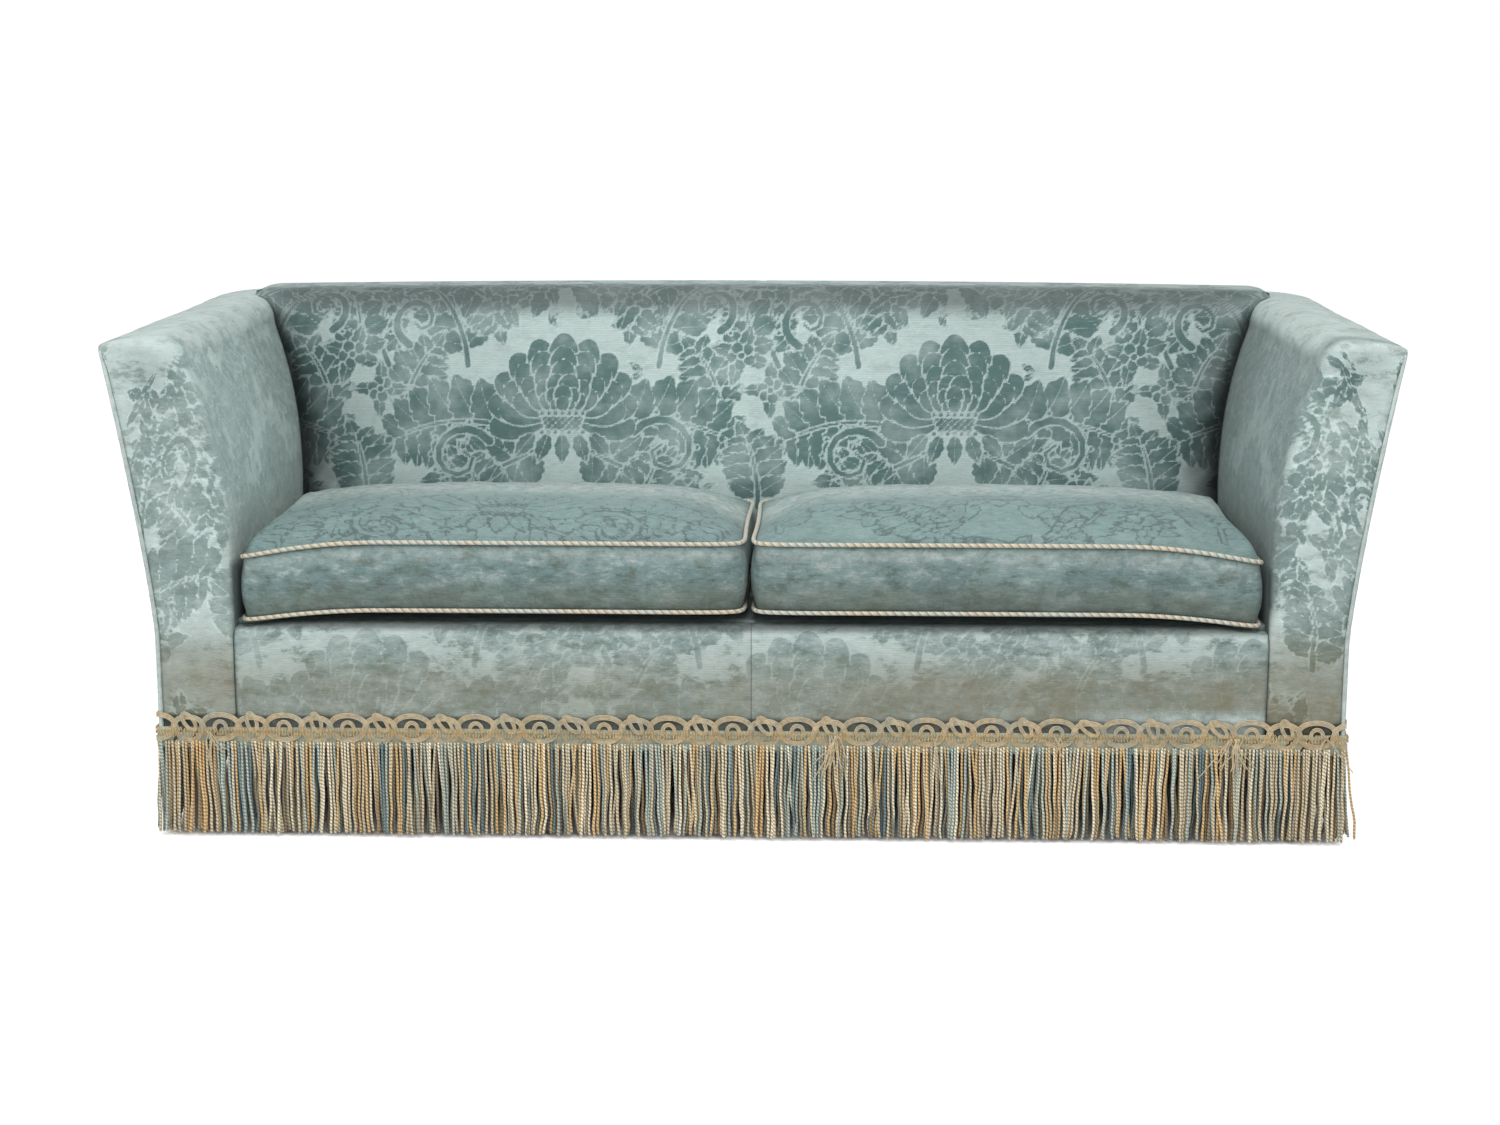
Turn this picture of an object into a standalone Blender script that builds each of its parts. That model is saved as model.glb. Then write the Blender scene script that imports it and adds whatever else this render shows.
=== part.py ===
"""Two-seat upholstered sofa with flared arms, loose corded cushions and a bullion fringe.

Metres, +Z up. The origin is on the floor under the middle of the sofa, the front faces -Y and +X is to
the right of someone who looks at the front.
"""

import math

import bmesh
import bpy
from mathutils import Vector

# Clearances
SEAT_GAP = 0.0003
SIDE_GAP = 0.002

# Upholstered body
BODY_DEPTH = 0.869
COVER_FOOT = 0.160
SEAT_WIDTH = 1.720
ARM_WIDTH = 0.130
ARM_FLARE_WIDTH = 0.073
ARM_INNER_FLARE_WIDTH = 0.084
ARM_INNER_FLARE_FOOT = 0.470
ARM_HEIGHT = 0.832
ARM_CROWN = 0.013
ARM_SHOULDER = 0.050
ARM_SHOULDER_RUN = 0.0455
ARM_TUCK = 0.345
ARM_FRONT_ROLL = 0.016
OUTER_FLARE_POWER = 1.25
INNER_FLARE_POWER = 2.2

# Upholstery layers
COVER = 0.002
ARM_SIDE_PAD = 0.035
ARM_TOP_PAD = 0.025
ARM_FRONT_PAD = 0.012
BACK_PAD = 0.030
BORDER_PAD = 0.025
HESSIAN = 0.0015
WEBBING = 0.0015
WEBBING_WIDTH = 0.050
DUST_COVER = 0.002
WELT_RADIUS = 0.0038

# Back
BACK_DEPTH = 0.2865
BACK_RAKE = 0.30
BACK_RISE = 0.024
BACK_ROLL_RUN = 0.050
BACK_PAD_SIDE = 0.008
BACK_TOP_CROWN = 0.008
BACK_BULGE = 0.012
BACK_BULGE_FOOT = 0.500

# Seat deck and front border
DECK_RISE = 0.021
HESSIAN_DROP = 0.0189
DECK_FALL = 0.024
BORDER_ROLL = 0.018
BORDER_TOP_DEPTH = 0.048
BORDER_END_DROP = 0.010
BORDER_END_LENGTH = 0.090

# Shading
SMOOTH_ANGLE = math.radians(40)

# Timber
RAIL_THICKNESS = 0.040
SEAT_RAIL_HEIGHT = 0.140
POST_THICKNESS = 0.032
UPRIGHT_THICKNESS = 0.024
UPRIGHT_DEPTH = 0.100
TUCK_RAIL_HEIGHT = 0.045
ARM_RAIL_HEIGHT = 0.029
TOP_RAIL_HEIGHT = 0.038
BRACE_HEIGHT = 0.060
CORNER_BLOCK = 0.090
TIMBER_EASE = 0.002
LEG_SIZE = 0.032
LEG_FOOT = 0.024
LEG_INSET = 0.060

# Springs
SPRING_WIRE = 0.0018
SPRING_RADIUS = 0.045
SPRING_WAIST = 0.014
SPRING_TO_ARM = 0.185
SPRING_TO_FRONT = 0.1545
SPRING_TO_BACK = 0.068
SPRING_COLUMNS = 6
SPRING_ROWS = 3
SPRING_HALF_TURNS = 5
TURN_POINTS = 6

# Cushions
CUSHION_BOXING = 0.115
CUSHION_CROWN = 0.036
CUSHION_CROWN_POWER = 2.6
CUSHION_UNDER = 0.022
CUSHION_DROOP = 0.018
CUSHION_DROOP_LENGTH = 0.220
CUSHION_PULL = 0.005
CUSHION_BULGE = 0.005
CUSHION_CORNER = 0.014
CUSHION_CORNER_POWER = 12
CUSHION_TICKING = 0.002
CUSHION_ARM_GAP = 0.012
CUSHION_MIDDLE_GAP = 0.001
CORD_RADIUS = 0.0038
ZIP_HEIGHT = 0.024
ZIP_THICKNESS = 0.0015
CUSHION_CELLS_X = 8
CUSHION_CELLS_Y = 6

# Fringe
TRIM_THICKNESS = 0.005
GIMP_TOP = 0.213
GIMP_PERIOD = 0.106
SMALL_ARCH = 0.009
LARGE_ARCH = 0.018
SMALL_ARCH_SHARE = 0.4
HEADING_DROP = 0.008
FRINGE_FOOT = 0.005
STRAND_PITCH = 0.0176
STRAND_WIDTH = 0.0105
STRAND_TIP = 0.0085
STRAND_SWAY = 0.0022
STRAND_UNEVEN = 0.003
STRAND_SWAY_TURN = 2.4
STRAND_LENGTH_TURN = 5.1

# Values that follow from the sizes above
FRONT = -BODY_DEPTH / 2
REAR = BODY_DEPTH / 2
SEAT_HALF = SEAT_WIDTH / 2
FOOT_HALF = SEAT_HALF + ARM_WIDTH
SEAT_BACK = REAR - BACK_DEPTH
ARM_TOP = ARM_HEIGHT + ARM_CROWN
BACK_HEIGHT = ARM_HEIGHT + BACK_RISE
ARM_FLARE_FOOT = ARM_TUCK
REAR_COVER = REAR - COVER - SEAT_GAP
UNDER_COVER = COVER + SEAT_GAP
ARM_SIDE_LINING = UNDER_COVER + ARM_SIDE_PAD
ARM_TOP_LINING = UNDER_COVER + ARM_TOP_PAD
ARM_FRONT_LINING = UNDER_COVER + ARM_FRONT_PAD
BACK_LINING = UNDER_COVER + BACK_PAD
WEBBING_FACE = BACK_LINING + SEAT_GAP
RAIL_FACE = WEBBING_FACE + WEBBING + SEAT_GAP
BACK_RAKE_FOOT = ARM_INNER_FLARE_FOOT
SHOULDER_FOOT = ARM_TOP - ARM_SHOULDER
RAIL_FRONT = FRONT + UNDER_COVER + BORDER_PAD + SEAT_GAP
RAIL_BACK = -RAIL_FRONT
SPRING_SEAT = COVER_FOOT
DECK_FRONT = ARM_TUCK + DECK_RISE
HESSIAN_FOOT = ARM_TUCK - HESSIAN_DROP
SPRING_PITCH_X = (SEAT_WIDTH - 2 * SPRING_TO_ARM) / (SPRING_COLUMNS - 1)
SPRING_FIRST_ROW = FRONT + SPRING_TO_FRONT
SPRING_PITCH_Y = (SEAT_BACK - SPRING_TO_BACK - SPRING_FIRST_ROW) / (SPRING_ROWS - 1)
POST_FRONT = FRONT + ARM_FRONT_LINING + SEAT_GAP
POST_BACK = POST_FRONT + POST_THICKNESS
UPRIGHT_INNER = SEAT_HALF + ARM_INNER_FLARE_WIDTH + ARM_SIDE_PAD / 2
LEG_TOP = COVER_FOOT - SEAT_GAP


def material(name, colour, roughness, metallic=0.0):
    """A plain Principled material."""
    made = bpy.data.materials.new(name)
    made.use_nodes = True
    shader = made.node_tree.nodes["Principled BSDF"]
    shader.inputs["Base Color"].default_value = (*colour, 1.0)
    shader.inputs["Roughness"].default_value = roughness
    shader.inputs["Metallic"].default_value = metallic
    made.diffuse_color = (*colour, 1.0)
    return made


FINISHES = {
    "velvet": ((0.23, 0.33, 0.33), 0.85, 0.0),
    "wadding": ((0.82, 0.79, 0.71), 0.95, 0.0),
    "timber": ((0.55, 0.38, 0.22), 0.60, 0.0),
    "steel": ((0.42, 0.41, 0.39), 0.35, 1.0),
    "jute": ((0.48, 0.36, 0.21), 0.95, 0.0),
    "ticking": ((0.86, 0.84, 0.78), 0.90, 0.0),
    "cambric": ((0.03, 0.03, 0.03), 0.90, 0.0),
    "zip": ((0.14, 0.20, 0.20), 0.60, 0.0),
    "cord": ((0.67, 0.59, 0.46), 0.80, 0.0),
    "trim": ((0.52, 0.45, 0.31), 0.90, 0.0),
}


def clear_scene():
    """Removes what a new file holds."""
    for obj in list(bpy.data.objects):
        bpy.data.objects.remove(obj, do_unlink=True)


def add_object(name, mesh_or_curve, finish):
    """Links a mesh or a curve as a named sub-part with a material of its own."""
    obj = bpy.data.objects.new(name, mesh_or_curve)
    mesh_or_curve.materials.append(material(name + "_finish", *FINISHES[finish]))
    bpy.context.scene.collection.objects.link(obj)
    return obj


def add_bmesh(name, shape, finish, smooth=False):
    """Turns a closed bmesh into a named sub-part."""
    bmesh.ops.recalc_face_normals(shape, faces=shape.faces)
    mesh = bpy.data.meshes.new(name)
    shape.to_mesh(mesh)
    shape.free()
    if smooth:
        mesh.shade_smooth()
        mesh.set_sharp_from_angle(angle=SMOOTH_ANGLE)
    return add_object(name, mesh, finish)


def ease_edges(obj, width=TIMBER_EASE):
    """Takes the arris off sawn timber."""
    ease = obj.modifiers.new("ease", "BEVEL")
    ease.width = width
    ease.segments = 1
    ease.limit_method = "ANGLE"
    return obj


def smoothstep(share):
    """0 to 1 with level ends."""
    share = min(max(share, 0.0), 1.0)
    return share * share * (3 - 2 * share)


# Outlines of the arms and the back


def outer_x(z):
    """Half the width outside the arms at a height."""
    rise = max(0.0, (z - ARM_FLARE_FOOT) / (ARM_HEIGHT - ARM_FLARE_FOOT))
    return FOOT_HALF + ARM_FLARE_WIDTH * rise**OUTER_FLARE_POWER


def inner_x(z):
    """Half the width between the arms' inner faces below the shoulder."""
    rise = max(0.0, (z - ARM_INNER_FLARE_FOOT) / (ARM_TOP - ARM_INNER_FLARE_FOOT))
    return SEAT_HALF + ARM_INNER_FLARE_WIDTH * rise**INNER_FLARE_POWER


def shoulder_foot():
    """Where the arm's inner face starts to turn over to its top: x and z."""
    return inner_x(SHOULDER_FOOT), SHOULDER_FOOT


def arm_limit_x(z):
    """The arm's inner surface at a height, shoulder included."""
    foot_x, foot_z = shoulder_foot()
    if z <= foot_z:
        return inner_x(z)
    rise = min(1.0, (z - foot_z) / ARM_SHOULDER)
    return foot_x + ARM_SHOULDER_RUN * (1 - math.sqrt(1 - rise * rise))


def face_levels():
    """The heights that the arms' inner faces and the back's face share, up to the shoulder."""
    steps = 4
    rise = SHOULDER_FOOT - ARM_INNER_FLARE_FOOT
    return [ARM_TUCK] + [ARM_INNER_FLARE_FOOT + rise * step / steps for step in range(steps + 1)]


def shoulder_rises():
    """The shares of the shoulder's height at its points, above its foot."""
    steps = 4
    return [math.sin(math.pi / 2 * step / steps) for step in range(1, steps + 1)]


def arm_profile():
    """The arm cover's outside, up the inner face and over to the outer edge: (x, z) points."""
    levels = [COVER_FOOT] + face_levels()
    levels += [SHOULDER_FOOT + ARM_SHOULDER * share for share in shoulder_rises()]
    points = [(arm_limit_x(z), z) for z in levels]
    edge_x = FOOT_HALF + ARM_FLARE_WIDTH
    points.append(((points[-1][0] + edge_x) / 2, ARM_TOP - ARM_CROWN / 3))
    points.append((edge_x, ARM_HEIGHT))
    return points


def crown_point():
    """The number of the profile's point where the arm's top starts."""
    return len(arm_profile()) - 3


def inset_path(points, distances):
    """Moves an open 2D path to its right by a distance at each point, with mitred corners."""
    moved = []
    last = len(points) - 1
    for i, point in enumerate(points):
        here = Vector(point)
        sides = []
        if i > 0:
            sides.append((here - Vector(points[i - 1])).normalized())
        if i < last:
            sides.append((Vector(points[i + 1]) - here).normalized())
        normals = [Vector((side.y, -side.x)) for side in sides]
        mitre = sum(normals, Vector((0.0, 0.0))).normalized()
        stretch = 1 / max(mitre.dot(normals[0]), 0.5)
        moved.append(tuple(here + mitre * distances[i] * stretch))
    return moved


def arm_distances(points, side, top):
    """The inset at each profile point: side on the upright face, top on the level one."""
    found = []
    for i in range(len(points)):
        before = Vector(points[max(i - 1, 0)])
        after = Vector(points[min(i + 1, len(points) - 1)])
        run = (after - before).normalized()
        found.append(side * abs(run.y) + top * (1 - abs(run.y)))
    return found


def back_y(z, inset):
    """The depth of the back's raked face at a height, moved back by an inset square to the rake."""
    slant = math.sqrt(1 + BACK_RAKE * BACK_RAKE)
    return SEAT_BACK + BACK_RAKE * max(0.0, z - BACK_RAKE_FOOT) + inset * slant


# Solids


def solid_between(name, outer, inner, faces, finish):
    """The closed solid between two sheets of points that share their faces and their triangles."""
    seen = {}
    alias = [seen.setdefault(tuple(round(c, 6) for c in point), i) for i, point in enumerate(outer)]
    kept = []
    for face in faces:
        corners = list(dict.fromkeys(alias[i] for i in face))
        for i in range(1, len(corners) - 1):
            kept.append((corners[0], corners[i], corners[i + 1]))
    used = sorted({i for face in kept for i in face})
    shape = bmesh.new()
    near = {i: shape.verts.new(outer[i]) for i in used}
    far = {i: shape.verts.new(inner[i]) for i in used}
    edges = {(face[i - 1], face[i]) for face in kept for i in range(len(face))}
    for face in kept:
        shape.faces.new([near[i] for i in face])
        shape.faces.new([far[i] for i in reversed(face)])
    for a, b in sorted(edges):
        if (b, a) not in edges:
            shape.faces.new((near[b], near[a], far[a], far[b]))
    return add_bmesh(name, shape, finish, smooth=True)


def grid_faces(rows, columns, skip=None):
    """Quads over rows of points, apart from those that skip(row, column) names."""
    faces = []
    for r in range(rows - 1):
        for c in range(columns - 1):
            if skip is None or not skip(r, c):
                start = r * columns + c
                faces.append((start, start + 1, start + columns + 1, start + columns))
    return faces


def prism(name, outline, axis, low, high, finish):
    """A sub-part extruded along an axis from an outline in the other two axes."""
    shape = bmesh.new()
    ends = []
    for level in (low, high):
        ring = []
        for a, b in outline:
            place = {"x": (level, a, b), "y": (a, level, b), "z": (a, b, level)}[axis]
            ring.append(shape.verts.new(place))
        ends.append(ring)
    shape.faces.new(ends[0])
    shape.faces.new(list(reversed(ends[1])))
    for i in range(len(outline)):
        shape.faces.new((ends[0][i - 1], ends[0][i], ends[1][i], ends[1][i - 1]))
    return add_bmesh(name, shape, finish)


def rectangle(a0, a1, b0, b1):
    """The corners of a rectangle in two axes."""
    return [(a0, b0), (a1, b0), (a1, b1), (a0, b1)]


def box(name, low, high, finish):
    """One box between two corners as a sub-part."""
    return prism(name, rectangle(low[0], high[0], low[1], high[1]), "z", low[2], high[2], finish)


def tube(name, path, radius, finish, closed=False, resolution=1):
    """A round tube along a list of points, as a curve object with filled caps."""
    curve = bpy.data.curves.new(name, "CURVE")
    curve.dimensions = "3D"
    curve.bevel_depth = radius
    curve.bevel_resolution = resolution
    curve.use_fill_caps = True
    spline = curve.splines.new("POLY")
    spline.points.add(len(path) - 1)
    spline.use_cyclic_u = closed
    spline.use_smooth = True
    for point, place in zip(spline.points, path):
        point.co = (*place, 1.0)
    return add_object(name, curve, finish)


# Arms


def edge_heights(end):
    """Heights on the arm's front outer edge, one for each point of the profile up to the crown."""
    profile = arm_profile()[:crown_point() + 1]
    stretch = (end - COVER_FOOT) / (ARM_TOP - COVER_FOOT)
    return [COVER_FOOT + stretch * (z - COVER_FOOT) for x, z in profile]


def arm_sheet(sign, side, top, front, roll, edge):
    """Points of one layer of an arm: rows from the rear, round the roll and over the front face."""
    outline = arm_profile()
    inner = inset_path(outline, arm_distances(outline, side, top))
    inner[0] = (inner[0][0], COVER_FOOT)
    inner[-1] = (outer_x(inner[-1][1]) - edge, inner[-1][1])
    end_z = inner[-1][1] - UNDER_COVER
    ends = inset_path(inner, [roll] * len(inner))
    ends[0] = (ends[0][0], COVER_FOOT)
    room = max(edge, welt_room())
    ends[-1] = (outer_x(end_z) - room, end_z)
    rows = [
        [(x, REAR_COVER, z) for x, z in inner],
        [(x, back_y(z, BACK_PAD), z) for x, z in inner],
        [(x, RAIL_FRONT - SEAT_GAP, z) for x, z in inner],
    ]
    roll_steps = 3
    for step in range(roll_steps + 1):
        turn = math.pi / 2 * step / roll_steps
        share = 1 - math.cos(turn)
        y = FRONT + front + roll * (1 - math.sin(turn))
        rows.append([(a[0] + (b[0] - a[0]) * share, y, a[1] + (b[1] - a[1]) * share)
                     for a, b in zip(inner, ends)])
    heights = edge_heights(end_z)
    heights += [end_z] * (len(inner) - len(heights))
    rows.append([(outer_x(z) - room, FRONT + front, z) for z in heights])
    return [Vector((sign * x, y, z)) for row in rows for x, y, z in row]


def welt_room():
    """What the welt takes from the front face and from the outside cover at their shared corner."""
    return 2 * WELT_RADIUS + SEAT_GAP


def arm_faces(rows, columns):
    """The faces of an arm layer, which stops at the back, and under the tuck at the wrap."""

    def skip(row, column):
        behind_back = row == 0 and column < crown_point()
        under_tuck = row == 1 and column == 0
        return behind_back or under_tuck

    return grid_faces(rows, columns, skip)


def arm_layer(name, sign, near, far, finish):
    """One layer of an arm between two insets, each given as side, top, front, roll and edge."""
    sheet = arm_sheet(sign, *near)
    columns = len(arm_profile())
    faces = arm_faces(len(sheet) // columns, columns)
    solid_between(name, sheet, arm_sheet(sign, *far), faces, finish)


def make_arm(side, sign):
    """Inside cover, pad, outside cover and welt of one arm."""
    outside = (0.0, 0.0, 0.0, ARM_FRONT_ROLL, 0.0)
    cover_in = (COVER, COVER, COVER, ARM_FRONT_ROLL - COVER, 0.0)
    pad_edge = welt_room() + UNDER_COVER
    pad_out = (UNDER_COVER, UNDER_COVER, UNDER_COVER, ARM_FRONT_ROLL - UNDER_COVER, pad_edge)
    pad_in = (ARM_SIDE_LINING, ARM_TOP_LINING, ARM_FRONT_LINING, SEAT_GAP, pad_edge)
    arm_layer(side + "_inside_arm_cover", sign, outside, cover_in, "velvet")
    arm_layer(side + "_arm_pad", sign, pad_out, pad_in, "wadding")
    make_outside_arm(side, sign)
    make_welt(side, sign)


def make_outside_arm(side, sign):
    """The flat panel outside an arm, tucked under the top cover's edge."""
    heights = outer_heights(ARM_HEIGHT - UNDER_COVER - SEAT_GAP)
    outline = [(sign * outer_x(z), z) for z in heights]
    outline += [(sign * (outer_x(z) - COVER), z) for z in reversed(heights)]
    prism(side + "_outside_arm_cover", outline, "y", FRONT + welt_room(), REAR_COVER, "velvet")


def make_welt(side, sign):
    """The thin welt along the arm's front outer edge."""
    heights = outer_heights(ARM_HEIGHT - UNDER_COVER - WELT_RADIUS)
    path = [(sign * (outer_x(z) - WELT_RADIUS), FRONT + WELT_RADIUS, z) for z in heights]
    tube(side + "_arm_welt", path, WELT_RADIUS, "velvet")


# Back


def back_sheet(inset, bulge, crown, side_gap):
    """Points of one layer of the inside back: rows up the face, over the roll and along the top."""
    top_z = BACK_HEIGHT - inset
    profile = [(back_y(z, inset), z) for z in face_levels()]
    height = BACK_HEIGHT - SHOULDER_FOOT
    rises = [ARM_SHOULDER * share / height for share in shoulder_rises()]
    rises += [(1 + rises[-1]) / 2, 1.0]
    for rise in rises:
        z = SHOULDER_FOOT + (top_z - SHOULDER_FOOT) * rise
        profile.append((back_y(z, inset) + BACK_ROLL_RUN * (1 - math.sqrt(1 - rise * rise)), z))
    profile.append((REAR_COVER, top_z))
    columns = 9
    points = []
    for y, z in profile:
        half = arm_limit_x(z - side_gap) - side_gap
        rise = (z - BACK_BULGE_FOOT) / (SHOULDER_FOOT - BACK_BULGE_FOOT)
        swell = math.sin(math.pi * min(max(rise, 0.0), 1.0))
        lift = smoothstep((z + inset - SHOULDER_FOOT) / height)
        for column in range(columns):
            u = 2 * column / (columns - 1) - 1
            depth = y - bulge * swell * (1 - u**4)
            points.append(Vector((u * half, depth, z + crown * lift * (1 - u * u))))
    return points, len(profile), columns


def make_inside_back():
    """The padded face of the back with its cover."""
    outside, rows, columns = back_sheet(0.0, BACK_BULGE, BACK_TOP_CROWN, SIDE_GAP)
    cover_in = back_sheet(COVER, BACK_BULGE, BACK_TOP_CROWN, SIDE_GAP)[0]
    pad_out = back_sheet(UNDER_COVER, BACK_BULGE, BACK_TOP_CROWN, BACK_PAD_SIDE)[0]
    pad_in = back_sheet(BACK_LINING, 0.0, 0.0, BACK_PAD_SIDE)[0]
    faces = grid_faces(rows, columns)
    solid_between("inside_back_cover", outside, cover_in, faces, "velvet")
    solid_between("inside_back_pad", pad_out, pad_in, faces, "wadding")


def outer_heights(top):
    """Heights that follow the arm's outer flare."""
    return [z for z in edge_heights(ARM_HEIGHT - UNDER_COVER) if z < top - WELT_RADIUS] + [top]


def make_outside_back():
    """The flat panel that closes the rear, from arm to arm."""
    half = [(outer_x(z), z) for z in outer_heights(ARM_HEIGHT)]
    half.append(((outer_x(ARM_HEIGHT) + arm_limit_x(ARM_TOP)) / 2, ARM_TOP))
    half.append((arm_limit_x(ARM_TOP) - SIDE_GAP, BACK_HEIGHT))
    half.append((arm_limit_x(ARM_TOP) / 2, BACK_HEIGHT + BACK_TOP_CROWN * 3 / 4))
    half.append((0.0, BACK_HEIGHT + BACK_TOP_CROWN))
    outline = half + [(-x, z) for x, z in reversed(half[:-1])]
    prism("outside_back_cover", outline, "y", REAR - COVER, REAR, "velvet")


# Front border, deck and dust cover


def border_sheet(inset):
    """Points of one layer of the front border: rows up its face, over the roll and back to the deck."""
    roll = BORDER_ROLL - inset
    front = FRONT + inset
    top = DECK_FRONT - inset
    profile = [(front, COVER_FOOT), (front, top - roll)]
    roll_steps = 3
    for step in range(1, roll_steps + 1):
        turn = math.pi / 2 * step / roll_steps
        profile.append((front + roll * (1 - math.cos(turn)), top - roll * (1 - math.sin(turn))))
    profile.append((FRONT + BORDER_TOP_DEPTH, top))
    half = SEAT_HALF - SEAT_GAP
    stations = [-half, -half + BORDER_END_LENGTH / 2, -half + BORDER_END_LENGTH, 0.0]
    stations += [-x for x in reversed(stations[:-1])]
    points = []
    for y, z in profile:
        for x in stations:
            drop = BORDER_END_DROP * (1 - smoothstep((half - abs(x)) / BORDER_END_LENGTH))
            points.append(Vector((x, y, z - drop * (z > top - 2 * roll))))
    return points, len(profile), len(stations)


def make_border():
    """The upholstered border under the cushions."""
    outside, rows, columns = border_sheet(0.0)
    faces = grid_faces(rows, columns)
    solid_between("front_border_cover", outside, border_sheet(COVER)[0], faces, "velvet")
    flat = [Vector((p.x, max(p.y, RAIL_FRONT - SEAT_GAP), p.z)) for p in border_sheet(UNDER_COVER)[0]]
    depth = RAIL_FRONT - SEAT_GAP
    inner = []
    for i, point in enumerate(flat):
        row = i // columns
        if row < 2:
            z = COVER_FOOT if row == 0 else HESSIAN_FOOT + HESSIAN + SEAT_GAP
            inner.append(Vector((point.x, depth, z)))
        else:
            share = (row - 1) / (rows - 2)
            y = depth + (FRONT + BORDER_TOP_DEPTH - depth) * share
            inner.append(Vector((point.x, y, HESSIAN_FOOT + HESSIAN + SEAT_GAP)))
    solid_between("front_border_pad", border_sheet(UNDER_COVER)[0], inner, faces, "wadding")


def deck_z(y):
    """The top of the deck cover, which falls towards the back."""
    start = FRONT + BORDER_TOP_DEPTH
    return DECK_FRONT - DECK_FALL * (y - start) / (SEAT_BACK - start)


def make_deck():
    """Hessian over the springs, the deck's pad and its cover, which fall towards the back."""
    start = FRONT + BORDER_TOP_DEPTH + SEAT_GAP
    end = SEAT_BACK - SIDE_GAP
    half = SEAT_HALF - SIDE_GAP
    box("seat_hessian", (-half, RAIL_FRONT, HESSIAN_FOOT), (half, end, HESSIAN_FOOT + HESSIAN), "jute")
    foot = HESSIAN_FOOT + HESSIAN + SEAT_GAP
    near_top, far_top = deck_z(start), deck_z(end)
    pad = [(start, foot), (end, foot), (end, far_top - UNDER_COVER), (start, near_top - UNDER_COVER)]
    prism("deck_pad", pad, "x", -half, half, "wadding")
    cover = [(start, near_top - COVER), (end, far_top - COVER), (end, far_top), (start, near_top)]
    prism("deck_cover", cover, "x", -half, half, "velvet")


# Timber frame


def mirrored(outline, sign):
    """An outline on the right or, mirrored, on the left."""
    return [(sign * a, b) for a, b in outline]


def make_front_post(side, sign):
    """The flared board behind an arm's front face."""
    outline = arm_profile()
    clear = [d + SEAT_GAP for d in arm_distances(outline, ARM_SIDE_LINING, ARM_TOP_LINING)]
    inner = inset_path(outline, clear)
    inner[0] = (inner[0][0], COVER_FOOT)
    top = inner[-1][1] - COVER
    inner = [point for point in inner if point[1] < top]
    outer = [(outer_x(z) - UNDER_COVER - WELT_RADIUS, z) for z in reversed(outer_heights(top))]
    board = mirrored(inner + [(inner[-1][0], top)] + outer, sign)
    post = prism(side + "_front_post", board, "y", POST_FRONT, POST_BACK, "timber")
    ease_edges(post, COVER / 2)


def upright_outline(foot, top, back):
    """A raked upright: (y, z) points with its front edge behind the webbing."""
    low = foot + SEAT_RAIL_HEIGHT + SEAT_GAP
    return [
        (back, foot),
        (back, top),
        (back_y(top, RAIL_FACE), top),
        (back_y(BACK_RAKE_FOOT, RAIL_FACE), BACK_RAKE_FOOT),
        (back_y(ARM_TUCK, RAIL_FACE), ARM_TUCK),
        (back - UPRIGHT_DEPTH, low),
        (back - UPRIGHT_DEPTH, foot),
    ]


def arm_rail_levels():
    """The under and upper face of the arm's top rail."""
    top = ARM_HEIGHT - ARM_TOP_LINING - SEAT_GAP - COVER
    return top - ARM_RAIL_HEIGHT, top


def make_arm_rails(side, sign, back):
    """The arm's top rail, and the tuck rail that its inside cover is pulled under."""
    low, high = arm_rail_levels()
    front = POST_BACK + SEAT_GAP
    rail_inner = arm_limit_x(ARM_TOP) + SEAT_GAP
    rail = [
        (rail_inner, low),
        (outer_x(low) - UNDER_COVER, low),
        (outer_x(high) - UNDER_COVER, high),
        (rail_inner, high),
    ]
    ease_edges(prism(side + "_arm_rail", mirrored(rail, sign), "y", front, back, "timber"))
    inner = SEAT_HALF + ARM_SIDE_LINING + SEAT_GAP
    tuck = rectangle(inner, inner + RAIL_THICKNESS, ARM_TUCK, ARM_TUCK + TUCK_RAIL_HEIGHT)
    end = back_y(ARM_TUCK, RAIL_FACE) - SEAT_GAP
    ease_edges(prism(side + "_arm_tuck_rail", mirrored(tuck, sign), "y", front, end, "timber"))


def make_arm_frame(side, sign):
    """The posts and rails of one arm."""
    back = REAR_COVER - SEAT_GAP
    make_front_post(side, sign)
    make_arm_rails(side, sign, back)
    upright = upright_outline(COVER_FOOT, arm_rail_levels()[0] - SEAT_GAP, back)
    low_x, high_x = sorted((sign * UPRIGHT_INNER, sign * (UPRIGHT_INNER + UPRIGHT_THICKNESS)))
    ease_edges(prism(side + "_rear_post", upright, "x", low_x, high_x, "timber"))
    outer = UPRIGHT_INNER + UPRIGHT_THICKNESS
    seat = rectangle(outer - RAIL_THICKNESS, outer, COVER_FOOT, COVER_FOOT + SEAT_RAIL_HEIGHT)
    end = back - UPRIGHT_DEPTH - SEAT_GAP
    rail = prism(side + "_seat_rail", mirrored(seat, sign), "y", POST_BACK + SEAT_GAP, end, "timber")
    ease_edges(rail)


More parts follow.
